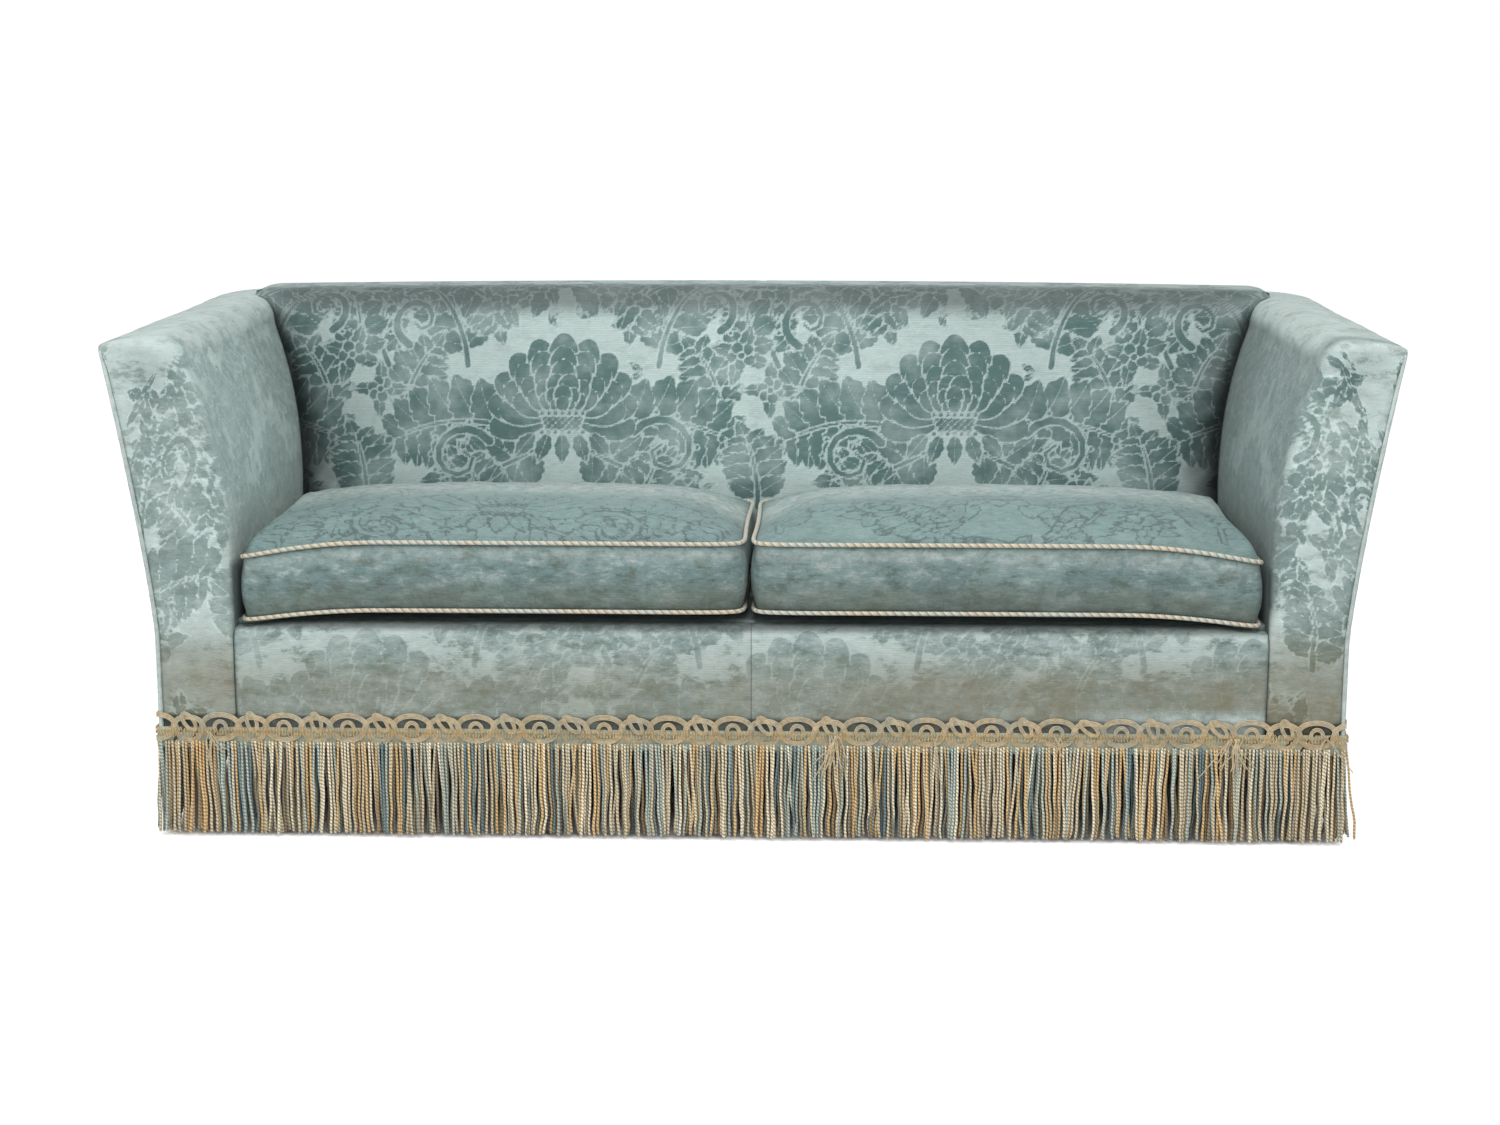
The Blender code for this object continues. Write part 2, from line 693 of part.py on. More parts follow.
def make_seat_frame():
    """Front and back rails, the brace between them and the corner blocks."""
    post_inner = SEAT_HALF + ARM_SIDE_LINING
    front_top = HESSIAN_FOOT - SEAT_GAP
    front = rectangle(RAIL_FRONT, RAIL_FRONT + RAIL_THICKNESS, COVER_FOOT, front_top)
    ease_edges(prism("front_seat_rail", front, "x", -post_inner, post_inner, "timber"))
    back_half = UPRIGHT_INNER - SEAT_GAP
    back = rectangle(RAIL_BACK - RAIL_THICKNESS, RAIL_BACK, COVER_FOOT, COVER_FOOT + SEAT_RAIL_HEIGHT)
    ease_edges(prism("back_seat_rail", back, "x", -back_half, back_half, "timber"))
    inside = RAIL_BACK - RAIL_THICKNESS - SEAT_GAP
    brace = rectangle(-RAIL_THICKNESS / 2, RAIL_THICKNESS / 2, COVER_FOOT, COVER_FOOT + BRACE_HEIGHT)
    ease_edges(prism("seat_cross_brace", brace, "y", -inside, inside, "timber"))
    corner_x = UPRIGHT_INNER + UPRIGHT_THICKNESS - RAIL_THICKNESS - SEAT_GAP
    for sx, side in ((-1, "left"), (1, "right")):
        for sy, end in ((-1, "front"), (1, "rear")):
            triangle = [(sx * corner_x, sy * inside), (sx * (corner_x - CORNER_BLOCK), sy * inside),
                        (sx * corner_x, sy * (inside - CORNER_BLOCK))]
            name = end + "_" + side + "_corner_block"
            ease_edges(prism(name, triangle, "z", COVER_FOOT, COVER_FOOT + BRACE_HEIGHT, "timber"))


def make_back_frame():
    """The back's tuck rail, top rail and centre stile, raked with its face."""
    face = back_y(ARM_TUCK, RAIL_FACE)
    half = UPRIGHT_INNER - SEAT_GAP
    tuck = rectangle(face, face + RAIL_THICKNESS, ARM_TUCK, ARM_TUCK + TUCK_RAIL_HEIGHT)
    ease_edges(prism("back_tuck_rail", tuck, "x", -half, half, "timber"))
    back = REAR_COVER - SEAT_GAP
    top = BACK_HEIGHT - BACK_LINING - SEAT_GAP
    under = top - TOP_RAIL_HEIGHT
    rail = [
        (back_y(under, RAIL_FACE), under),
        (back, under),
        (back, top),
        (back_y(top, RAIL_FACE) + BACK_ROLL_RUN, top),
        (back_y(SHOULDER_FOOT, RAIL_FACE), SHOULDER_FOOT),
    ]
    rail_half = arm_limit_x(ARM_TOP) - SEAT_GAP
    ease_edges(prism("back_top_rail", rail, "x", -rail_half, rail_half, "timber"))
    make_stile(face, back, under - SEAT_GAP)


def make_stile(face, back, top):
    """The upright in the middle of the back, notched round the tuck rail."""
    foot = COVER_FOOT + SEAT_RAIL_HEIGHT + SEAT_GAP
    notch_top = ARM_TUCK + TUCK_RAIL_HEIGHT + SEAT_GAP
    notch_back = face + RAIL_THICKNESS + SEAT_GAP
    outline = [
        (back, foot),
        (back, top),
        (back_y(top, RAIL_FACE), top),
        (back_y(BACK_RAKE_FOOT, RAIL_FACE), BACK_RAKE_FOOT),
        (face, notch_top),
        (notch_back, notch_top),
        (notch_back, ARM_TUCK),
        (RAIL_BACK - RAIL_THICKNESS, foot),
    ]
    half = RAIL_THICKNESS / 2
    ease_edges(prism("back_centre_stile", outline, "x", -half, half, "timber"))


def make_leg(name, x, y):
    """A square leg that tapers to its foot."""
    shape = bmesh.new()
    rings = []
    for z, size in ((0.0, LEG_FOOT), (LEG_TOP, LEG_SIZE)):
        half = size / 2
        corners = ((-half, -half), (half, -half), (half, half), (-half, half))
        rings.append([shape.verts.new((x + dx, y + dy, z)) for dx, dy in corners])
    shape.faces.new(rings[0])
    shape.faces.new(rings[1])
    for i in range(len(rings[0])):
        shape.faces.new((rings[0][i - 1], rings[0][i], rings[1][i], rings[1][i - 1]))
    ease_edges(add_bmesh(name, shape, "timber"))


def make_legs():
    """A leg under each corner and under the middle of the front and back rails."""
    leg_x = FOOT_HALF - LEG_INSET
    leg_y = RAIL_BACK - LEG_SIZE / 2
    for y, end in ((-leg_y, "front"), (leg_y, "rear")):
        for x, place in ((-leg_x, "left"), (0.0, "centre"), (leg_x, "right")):
            make_leg(end + "_" + place + "_leg", x, y)


# Webbing and springs


def spring_columns():
    """The x of each column of springs."""
    return [(i - (SPRING_COLUMNS - 1) / 2) * SPRING_PITCH_X for i in range(SPRING_COLUMNS)]


def spring_rows():
    """The y of each row of springs."""
    return [SPRING_FIRST_ROW + i * SPRING_PITCH_Y for i in range(SPRING_ROWS)]


def strip_stations(centres, end):
    """The edges of the webbing strips that cross a row, from end to end."""
    stations = [-end]
    for centre in centres:
        stations += [centre - WEBBING_WIDTH / 2, centre + WEBBING_WIDTH / 2]
    stations.append(end)
    return stations


def lattice_hole(row, column):
    """The open cells of a lattice of strips, whose strips take every other row and column."""
    return row % 2 == 0 and column % 2 == 0


def make_seat_webbing():
    """The woven lattice of webbing under the rails, which carries the springs."""
    high = COVER_FOOT - SEAT_GAP
    end_x = UPRIGHT_INNER + UPRIGHT_THICKNESS - RAIL_THICKNESS / 2
    end_y = RAIL_BACK - RAIL_THICKNESS / 2
    across = []
    for y in spring_rows():
        across += [y, y + SPRING_PITCH_Y / 2]
    columns = strip_stations(spring_columns(), end_x)
    rows = strip_stations(across, end_y)
    upper = [Vector((x, y, high)) for y in rows for x in columns]
    lower = [point - Vector((0.0, 0.0, WEBBING)) for point in upper]
    faces = grid_faces(len(rows), len(columns), lattice_hole)
    solid_between("seat_webbing", upper, lower, faces, "jute")


def make_dust_cover():
    """The black cloth that closes the underside between the legs."""
    high = COVER_FOOT - 2 * SEAT_GAP - WEBBING
    half_x = UPRIGHT_INNER
    half_y = RAIL_BACK - LEG_SIZE - SEAT_GAP
    box("dust_cover", (-half_x, -half_y, high - DUST_COVER), (half_x, half_y, high), "cambric")


def make_back_webbing():
    """The lattice of webbing between the back's rails: seven strips up and three across."""
    strips_up = 7
    pitch = 2 * inner_x(BACK_RAKE_FOOT) / strips_up
    centres = [(i - (strips_up - 1) / 2) * pitch for i in range(strips_up)]
    columns = strip_stations(centres, UPRIGHT_INNER + UPRIGHT_THICKNESS / 2)[1:-1]
    top = SHOULDER_FOOT
    strips_across = 3
    rows = [ARM_TUCK]
    for i in range(1, strips_across + 1):
        middle = BACK_RAKE_FOOT + (top - BACK_RAKE_FOOT) * (i - 0.5) / strips_across
        rows += [middle - WEBBING_WIDTH / 2, middle + WEBBING_WIDTH / 2]
    rows.insert(1, BACK_RAKE_FOOT)
    rows.append(top)
    near = [Vector((x, back_y(z, WEBBING_FACE), z)) for z in rows for x in columns]
    far = [Vector((x, back_y(z, WEBBING_FACE + WEBBING), z)) for z in rows for x in columns]

    def skip(row, column):
        between_strips = column % 2 == 1
        open_row = row < 2 or row % 2 == 1
        return between_strips and open_row

    solid_between("back_webbing", near, far, grid_faces(len(rows), len(columns), skip), "jute")


def coil_points(x, y, direction, upward):
    """One hourglass coil between the webbing and the hessian, wound the way that the wire arrives."""
    low = SPRING_SEAT + SPRING_WIRE
    high = HESSIAN_FOOT - SPRING_WIRE - SEAT_GAP
    steps = SPRING_HALF_TURNS * TURN_POINTS // 2
    path = []
    for step in range(steps + 1):
        share = step / steps
        turn = math.pi + 2 * math.pi * step / TURN_POINTS
        radius = SPRING_RADIUS - SPRING_WAIST * math.sin(math.pi * share)
        climb = smoothstep(share if upward else 1 - share)
        along = direction * radius * math.cos(turn)
        path.append((x + along, y + radius * math.sin(turn), low + (high - low) * climb))
    return path


def spring_path():
    """The wire of the whole unit: up one coil, across to the next and down it, row by row."""
    path = []
    direction = 1
    upward = True
    for y in spring_rows():
        for x in spring_columns()[::direction]:
            path += coil_points(x, y, direction, upward)
            upward = not upward
        direction = -direction
    return path


def least_gap(path, radius):
    """The least clear distance between points of the wire half a turn or more apart."""
    apart = TURN_POINTS // 2
    gaps = [(Vector(a) - Vector(b)).length - 2 * radius
            for i, a in enumerate(path) for b in path[i + apart:]]
    return min(gaps)


def make_springs():
    """The seat's spring unit: rows of coils bent from one wire."""
    path = spring_path()
    print("spring unit: least gap between turns", round(least_gap(path, SPRING_WIRE), 5))
    tube("seat_springs", path, SPRING_WIRE, "steel", resolution=0)


# Cushions


class CushionForm:
    """Where a cushion's outside lies. The shares u and v run from -1 to 1 over its length and depth."""

    def __init__(self, sign):
        self.sign = sign
        self.inner = CUSHION_MIDDLE_GAP + 2 * CORD_RADIUS
        self.outer = SEAT_HALF - CUSHION_ARM_GAP - 2 * CORD_RADIUS
        self.front = FRONT + SIDE_GAP + 2 * CORD_RADIUS
        self.back = SEAT_BACK - SIDE_GAP / 2 - 2 * CORD_RADIUS

    def plan(self, u, v, swell=0.0):
        """A place over the cushion, with its sides drawn in and its corners rounded."""
        half_x = (self.outer - self.inner) / 2
        half_y = (self.back - self.front) / 2
        x = u * (half_x + (swell - CUSHION_PULL * (1 - v * v)) * u * u)
        y = v * (half_y + (swell - CUSHION_PULL * (1 - u * u)) * v * v)
        corner = CUSHION_CORNER * (u * v) ** CUSHION_CORNER_POWER
        x += (self.inner + self.outer) / 2 - math.copysign(corner, u)
        y += (self.front + self.back) / 2 - math.copysign(corner, v)
        return x, y

    def droop(self, x, y):
        """How far the corner by the arm sinks at the front."""
        near_arm = 1 - smoothstep((self.outer - x) / CUSHION_DROOP_LENGTH)
        near_front = 1 - smoothstep((y - self.front) / (2 * CUSHION_DROOP_LENGTH))
        return CUSHION_DROOP * near_arm * near_front

    def rounding(self, u, v):
        """The share of its full height that a panel has, 0 at the seam."""
        across = 1 - abs(u) ** CUSHION_CROWN_POWER
        along = 1 - abs(v) ** CUSHION_CROWN_POWER
        return math.sqrt(max(0.0, across * along))

    def top(self, u, v):
        """A point of the top panel."""
        x, y = self.plan(u, v)
        seam = deck_z(y) + SEAT_GAP + CUSHION_UNDER - self.droop(x, y) + CUSHION_BOXING
        return Vector((self.sign * x, y, seam + CUSHION_CROWN * self.rounding(u, v)))

    def bottom(self, u, v):
        """A point of the bottom panel, which lies flat on the deck in its middle."""
        x, y = self.plan(u, v)
        rest = deck_z(y) + SEAT_GAP
        seam = rest + CUSHION_UNDER - min(self.droop(x, y), CUSHION_UNDER - 2 * CORD_RADIUS)
        bulge = CUSHION_UNDER * min(1.0, 2 * self.rounding(u, v))
        return Vector((self.sign * x, y, max(seam - bulge, rest)))

    def boxing(self, u, v, share):
        """A point of the boxing, share being 0 at the bottom seam and 1 at the top one."""
        at_corner = abs(u * v) == 1
        x, y = self.plan(u, v, 0.0 if at_corner else CUSHION_BULGE)
        low = self.bottom(u, v).z
        return Vector((self.sign * x, y, low + (self.top(u, v).z - low) * share))


CUSHION_RINGS = ("bottom", "zip foot", "zip head", "top")


def cushion_shares(cells):
    """The shares from -1 to 1 at the ends of equal cells."""
    return [2 * i / cells - 1 for i in range(cells + 1)]


def cushion_ring():
    """The numbers of the stations round a cushion's edge, from its front inner corner."""
    ring = [(i, 0) for i in range(CUSHION_CELLS_X)]
    ring += [(CUSHION_CELLS_X, i) for i in range(CUSHION_CELLS_Y)]
    ring += [(CUSHION_CELLS_X - i, CUSHION_CELLS_Y) for i in range(CUSHION_CELLS_X)]
    ring += [(0, CUSHION_CELLS_Y - i) for i in range(CUSHION_CELLS_Y)]
    return ring


def cushion_points(form):
    """The points of a cushion's outside, and the number of each by its ring and station."""
    across = cushion_shares(CUSHION_CELLS_X)
    along = cushion_shares(CUSHION_CELLS_Y)
    points = []
    where = {}
    for name, panel in (("top", form.top), ("bottom", form.bottom)):
        for iv, v in enumerate(along):
            for iu, u in enumerate(across):
                where[name, iu, iv] = len(points)
                points.append(panel(u, v))
    half_zip = ZIP_HEIGHT / CUSHION_BOXING / 2
    for name, share in (("zip foot", 0.5 - half_zip), ("zip head", 0.5 + half_zip)):
        for iu, iv in cushion_ring():
            where[name, iu, iv] = len(points)
            points.append(form.boxing(across[iu], along[iv], share))
    return points, where


def panel_faces(where):
    """The quads of a cushion's top and bottom panels."""
    faces = []
    cell = ((0, 0), (1, 0), (1, 1), (0, 1))
    for iv in range(CUSHION_CELLS_Y):
        for iu in range(CUSHION_CELLS_X):
            faces.append([where["top", iu + a, iv + b] for a, b in cell])
            faces.append([where["bottom", iu + a, iv + b] for a, b in reversed(cell)])
    return faces


def boxing_faces(where):
    """The quads of a cushion's boxing and, apart from them, those of the zip's slit at the back."""
    ring = cushion_ring()
    faces = []
    slit = []
    for i in range(len(ring)):
        start, end = ring[i - 1], ring[i]
        at_back = start[1] == end[1] == CUSHION_CELLS_Y
        inside = 1 <= min(start[0], end[0]) and max(start[0], end[0]) <= CUSHION_CELLS_X - 1
        for low, high in zip(CUSHION_RINGS, CUSHION_RINGS[1:]):
            corners = ((low, *start), (low, *end), (high, *end), (high, *start))
            at_zip = low == "zip foot" and at_back and inside
            (slit if at_zip else faces).append([where[corner] for corner in corners])
    return faces, slit


def mitred_normals(points, faces):
    """For each point, the direction that keeps an even thickness when a sheet is offset."""
    shape = bmesh.new()
    verts = [shape.verts.new(point) for point in points]
    for face in faces:
        shape.faces.new([verts[i] for i in face])
    bmesh.ops.recalc_face_normals(shape, faces=shape.faces)
    shape.normal_update()
    found = [vert.normal * vert.calc_shell_factor() for vert in verts]
    shape.free()
    return found


def make_cushion(side, sign):
    """Filled core, zipped cover and rope cords of one seat cushion."""
    points, where = cushion_points(CushionForm(sign))
    faces, slit = boxing_faces(where)
    faces = panel_faces(where) + faces
    normals = mitred_normals(points, faces + slit)
    inside = [p - n * CUSHION_TICKING for p, n in zip(points, normals)]
    solid_between(side + "_cushion_cover", points, inside, faces, "velvet")
    core = [p - n * (CUSHION_TICKING + SEAT_GAP) for p, n in zip(points, normals)]
    make_core(side, core, faces + slit)
    make_zip(side, points, slit)
    for level in ("top", "bottom"):
        ring = [where[(level, *station)] for station in cushion_ring()]
        path = [points[i] + normals[i].normalized() * (CORD_RADIUS + SEAT_GAP) for i in ring]
        tube(side + "_cushion_" + level + "_cord", path, CORD_RADIUS, "cord", closed=True)


def make_core(side, places, faces):
    """The filling in its ticking, its faces cut into triangles like the cover's."""
    shape = bmesh.new()
    verts = [shape.verts.new(place) for place in places]
    for a, b, c, d in faces:
        shape.faces.new((verts[a], verts[b], verts[c]))
        shape.faces.new((verts[a], verts[c], verts[d]))
    add_bmesh(side + "_cushion_core", shape, "ticking", smooth=True)


def make_zip(side, points, slit):
    """The zip in the slit of the back boxing."""
    pairs = {face[0]: face[3] for face in slit}
    pairs.update({face[1]: face[2] for face in slit})
    edge = sorted(pairs.items(), key=lambda pair: points[pair[0]].x)
    lows = [points[low] + Vector((0.0, 0.0, SEAT_GAP)) for low, high in edge]
    highs = [points[high] - Vector((0.0, 0.0, SEAT_GAP)) for low, high in edge]
    for row in (lows, highs):
        row[0].x += SEAT_GAP
        row[-1].x -= SEAT_GAP
    outer = lows + highs
    inner = [p - Vector((0.0, ZIP_THICKNESS, 0.0)) for p in outer]
    solid_between(side + "_cushion_zip", outer, inner, grid_faces(2, len(edge)), "zip")


# Fringe


def trim_runs():
    """Each side's name, start, direction, outward normal and length."""
    corner_x = FOOT_HALF + SEAT_GAP
    corner_y = REAR + SEAT_GAP
    long_x = 2 * (corner_x + TRIM_THICKNESS)
    long_y = 2 * REAR
    return (
        ("front", Vector((-long_x / 2, -corner_y, 0)), Vector((1, 0, 0)), Vector((0, -1, 0)), long_x),
        ("back", Vector((long_x / 2, corner_y, 0)), Vector((-1, 0, 0)), Vector((0, 1, 0)), long_x),
        ("right", Vector((corner_x, -long_y / 2, 0)), Vector((0, 1, 0)), Vector((1, 0, 0)), long_y),
        ("left", Vector((-corner_x, long_y / 2, 0)), Vector((0, -1, 0)), Vector((-1, 0, 0)), long_y),
    )


def scallops(length):
    """The heading's upper edge: a small and a large arch in turn, as distances along and heights."""
    count = round(length / GIMP_PERIOD)
    period = length / count
    valley = GIMP_TOP - LARGE_ARCH
    steps = 4
    arches = ((0.0, SMALL_ARCH_SHARE, SMALL_ARCH), (SMALL_ARCH_SHARE, 1.0, LARGE_ARCH))
    edge = [(0.0, valley)]
    for i in range(count):
        for first, last, height in arches:
            for step in range(1, steps + 1):
                share = step / steps
                distance = (i + first + (last - first) * share) * period
                edge.append((distance, valley + height * math.sin(math.pi * share)))
    return edge


def strand_stations(length):
    """Where the strands start and end along the heading's foot."""
    count = round(length / STRAND_PITCH)
    pitch = length / count
    gap = pitch * (1 - STRAND_WIDTH / STRAND_PITCH) / 2
    stations = [0.0]
    for i in range(count):
        stations += [i * pitch + gap, (i + 1) * pitch - gap]
    return stations + [length]


def strand_tip(strand, count):
    """How far a strand's tip leans along the trim, and its height. The end strands hang straight."""
    free = min(1.0, strand, count - 1 - strand)
    lean = STRAND_SWAY * math.sin(STRAND_SWAY_TURN * strand) * free
    low = FRINGE_FOOT + STRAND_UNEVEN * (1 + math.sin(STRAND_LENGTH_TURN * strand)) / 2
    return lean, low


def strand_into(shape, root, tip):
    """Draws a strand down from the four corners of its root to those of its tip."""
    ends = [shape.verts.new(corner) for corner in tip]
    for k in range(len(ends)):
        shape.faces.new((root[k - 1], root[k], ends[k], ends[k - 1]))
    shape.faces.new(ends)


def make_fringe(name, start, along, outward, length):
    """A woven heading with a scalloped edge, and its strands drawn down from its foot."""
    edge = scallops(length)
    stations = strand_stations(length)
    count = (len(stations) - 2) // 2
    shape = bmesh.new()

    def place(distance, depth, z):
        return start + along * distance + outward * depth + Vector((0, 0, z))

    rings = []
    for depth in (0.0, TRIM_THICKNESS):
        top = [shape.verts.new(place(d, depth, z)) for d, z in edge]
        bottom = [shape.verts.new(place(d, depth, COVER_FOOT - HEADING_DROP)) for d in stations]
        rings.append((top, bottom))
    (near_top, near), (far_top, far) = rings
    shape.faces.new(near_top + near[::-1])
    shape.faces.new(far + far_top[::-1])
    for i in range(1, len(edge)):
        shape.faces.new((near_top[i], near_top[i - 1], far_top[i - 1], far_top[i]))
    shape.faces.new((near_top[0], near[0], far[0], far_top[0]))
    shape.faces.new((near[-1], near_top[-1], far_top[-1], far[-1]))
    tip = STRAND_TIP / 2
    thin = TRIM_THICKNESS * (1 - STRAND_TIP / STRAND_WIDTH) / 2
    corners = ((-tip, thin), (tip, thin), (tip, TRIM_THICKNESS - thin), (-tip, TRIM_THICKNESS - thin))
    for i in range(len(stations) - 1):
        root = [near[i], near[i + 1], far[i + 1], far[i]]
        if i % 2 == 0:
            shape.faces.new(root)
        else:
            lean, low = strand_tip(i // 2, count)
            middle = (stations[i] + stations[i + 1]) / 2 + lean
            strand_into(shape, root, [place(middle + a, depth, low) for a, depth in corners])
    add_bmesh(name + "_fringe", shape, "trim")


def main():
    """Builds the sofa from the frame outwards."""
    clear_scene()
    make_seat_frame()
    make_back_frame()
    make_legs()
    make_seat_webbing()
    make_back_webbing()
    make_springs()
    make_dust_cover()
    make_deck()
    make_border()
    make_inside_back()
    make_outside_back()
    for side, sign in (("left", -1), ("right", 1)):
        make_arm_frame(side, sign)
        make_arm(side, sign)
        make_cushion(side, sign)
    for run in trim_runs():
        make_fringe(*run)


main()
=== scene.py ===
"""Looks of the two-seat upholstered sofa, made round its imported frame.

Lengths are metres in the frame of the model: x across the seat, y towards the back, z up.
"""
import logging
import math
from dataclasses import dataclass, field
from enum import Enum
from typing import Callable, Sequence

import bmesh
import bpy
import mathutils
import numpy as np
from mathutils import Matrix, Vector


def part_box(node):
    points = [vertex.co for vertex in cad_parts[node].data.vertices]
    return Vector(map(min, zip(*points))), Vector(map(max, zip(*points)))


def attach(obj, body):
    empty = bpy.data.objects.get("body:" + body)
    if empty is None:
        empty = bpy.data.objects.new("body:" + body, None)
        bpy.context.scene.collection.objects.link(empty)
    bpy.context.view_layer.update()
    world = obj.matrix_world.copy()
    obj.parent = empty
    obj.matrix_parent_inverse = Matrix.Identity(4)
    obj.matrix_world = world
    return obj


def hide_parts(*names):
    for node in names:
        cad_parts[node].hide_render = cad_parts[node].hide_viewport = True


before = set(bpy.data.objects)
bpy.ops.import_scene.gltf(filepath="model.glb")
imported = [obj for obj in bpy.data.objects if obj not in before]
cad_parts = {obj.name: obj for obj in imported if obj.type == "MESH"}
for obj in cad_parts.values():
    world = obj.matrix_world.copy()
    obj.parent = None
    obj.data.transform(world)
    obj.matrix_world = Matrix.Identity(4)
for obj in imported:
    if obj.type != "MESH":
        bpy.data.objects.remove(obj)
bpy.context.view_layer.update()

LOG = logging.getLogger("sofa")


class Side(Enum):
    """The two ends of the sofa, with the sign of x at each."""

    LEFT = -1.0
    RIGHT = 1.0

    @property
    def word(self) -> str:
        """Give the side's name as piece names have it."""
        return self.name.lower()


@dataclass(frozen=True)
class SofaForm:
    """Guiding surfaces of the upholstery, as the frame's solids have them."""

    front: float = -0.4345
    rear: float = 0.4322
    seat_half: float = 0.860
    foot_half: float = 0.990
    cover_foot: float = 0.160
    arm_tuck: float = 0.345
    arm_height: float = 0.832
    arm_top: float = 0.845
    outer_flare: float = 0.073
    inner_flare: float = 0.084
    inner_flare_foot: float = 0.470
    shoulder: float = 0.050
    shoulder_run: float = 0.0455
    seat_back: float = 0.148
    back_height: float = 0.856
    back_rake: float = 0.30
    back_roll: float = 0.050
    back_crown: float = 0.008
    deck_front: float = 0.366
    deck_fall: float = 0.024
    border_top_back: float = -0.3865
    border_seam: float = 0.0053

    @property
    def shoulder_foot(self) -> float:
        """Give the height at which an arm's inner face starts to turn over."""
        return self.arm_top - self.shoulder

    def outer_x(self, z: np.ndarray) -> np.ndarray:
        """Give the outer face's distance from the middle at heights z."""
        rise = np.clip((z - self.arm_tuck) / (self.arm_height - self.arm_tuck), 0, None)
        return self.foot_half + self.outer_flare * rise ** 1.25

    def inner_x(self, z: np.ndarray) -> np.ndarray:
        """Give the arm's inner face's distance from the middle at heights z.

        Args:
            z: Heights.

        Returns:
            Distances from the middle.
        """
        span = self.arm_top - self.inner_flare_foot
        rise = np.clip((z - self.inner_flare_foot) / span, 0, None)
        return self.seat_half + self.inner_flare * rise ** 2.2

    def arm_limit_x(self, z: np.ndarray) -> np.ndarray:
        """Give where the arm starts at heights z, its rounded shoulder counted.

        Args:
            z: Heights.

        Returns:
            Distances from the middle.
        """
        low = np.minimum(z, self.shoulder_foot)
        rise = np.clip((z - self.shoulder_foot) / self.shoulder, 0, 1)
        return self.inner_x(low) + self.shoulder_run * (1 - np.sqrt(1 - rise ** 2))

    def deck_z(self, y: np.ndarray) -> np.ndarray:
        """Give the seat deck's height, which falls towards the back."""
        share = (y - self.border_top_back) / (self.seat_back - self.border_top_back)
        return self.deck_front - self.deck_fall * share

    def arm_profile(self) -> np.ndarray:
        """Give the arm's cross-section, foot to outer edge, as x and z.

        Returns:
            Points on the right-hand arm, from the cover's foot up the inner face, over the
            shoulder and the crown, and round the top outer edge.
        """
        low = np.linspace(self.cover_foot, self.shoulder_foot, 160)
        face = np.stack([self.inner_x(low), low], 1)
        turn = np.linspace(0, math.pi / 2, 24)[1:]
        start = face[-1, 0]
        arc = np.stack([start + self.shoulder_run * (1 - np.cos(turn)),
                        self.shoulder_foot + self.shoulder * np.sin(turn)], 1)
        edge = float(self.outer_x(np.array(self.arm_height)))
        share = np.linspace(0, 1, 30)[1:]
        crown_x = arc[-1, 0] + (edge - arc[-1, 0]) * share
        crown_z = self.arm_top - (self.arm_top - self.arm_height) * share ** 2
        crown = np.stack([crown_x, crown_z], 1)
        down = np.linspace(self.arm_height, self.arm_height - 0.016, 6)[1:]
        side = np.stack([self.outer_x(down), down], 1)
        return rounded(np.concatenate([face, arc, crown, side]), 5)


def rounded(path: np.ndarray, passes: int) -> np.ndarray:
    """Round the corners of an open path by averaging neighbours.

    Args:
        path: Points, one a row.
        passes: How many times each point moves to its neighbours' mean.

    Returns:
        The rounded path with its ends kept.
    """
    smooth = path.copy()
    for _ in range(passes):
        smooth[1:-1] = (smooth[:-2] + 2 * smooth[1:-1] + smooth[2:]) / 4
    return smooth


def resampled(path: np.ndarray, count: int) -> np.ndarray:
    """Space a path's points evenly along it.

    Args:
        path: Points, one a row.
        count: Number of points wanted.

    Returns:
        The evenly spaced points.
    """
    run = run_length(path)
    wanted = np.linspace(0, run[-1], count)
    return np.stack([np.interp(wanted, run, path[:, axis]) for axis in range(path.shape[1])], 1)


def run_length(path: np.ndarray) -> np.ndarray:
    """Give the distance along a path at each of its points."""
    steps = np.linalg.norm(np.diff(path, axis=0), axis=-1)
    return np.concatenate([[0], np.cumsum(steps)])


def smoothstep(share: np.ndarray) -> np.ndarray:
    """Ease a share of 0 to 1 at both its ends."""
    held = np.clip(share, 0, 1)
    return held * held * (3 - 2 * held)


def soft_noise(places: np.ndarray, scale: float, seed: float) -> np.ndarray:
    """Give smooth waves of about -1 to 1 over places in space.

    Args:
        places: Points of any leading shape, three numbers each.
        scale: Length of one wave.
        seed: Changes which waves come.

    Returns:
        One value for each place.
    """
    total = np.zeros(places.shape[:-1])
    for turn in range(5):
        angle = seed + 2.39996 * turn
        tilt = math.sin(1.7 * turn + seed)
        axis = np.array([math.cos(angle), math.sin(angle), tilt])
        total += np.sin(places @ axis * (2 * math.pi / scale) * (0.6 + 0.25 * turn) + 5 * angle)
    return total / 5


FORM = SofaForm()


def link_object(name: str, data: bpy.types.ID) -> bpy.types.Object:
    """Make an object and link it to the scene.

    Args:
        name: Its name.
        data: What it shows.

    Returns:
        The new object.
    """
    obj = bpy.data.objects.new(name, data)
    bpy.context.scene.collection.objects.link(obj)
    return obj


def grid_faces(number: np.ndarray) -> np.ndarray:
    """Give the corners' numbers of each cell of a grid of numbered points."""
    return np.stack([number[:-1, :-1], number[:-1, 1:], number[1:, 1:], number[1:, :-1]], 2)


def ring_faces(rings: list) -> list:
    """Give the faces that join each ring of point numbers to the next."""
    return [face for low, high in zip(rings[:-1], rings[1:])
            for face in np.stack([low, np.roll(low, -1), np.roll(high, -1), high], 1).tolist()]


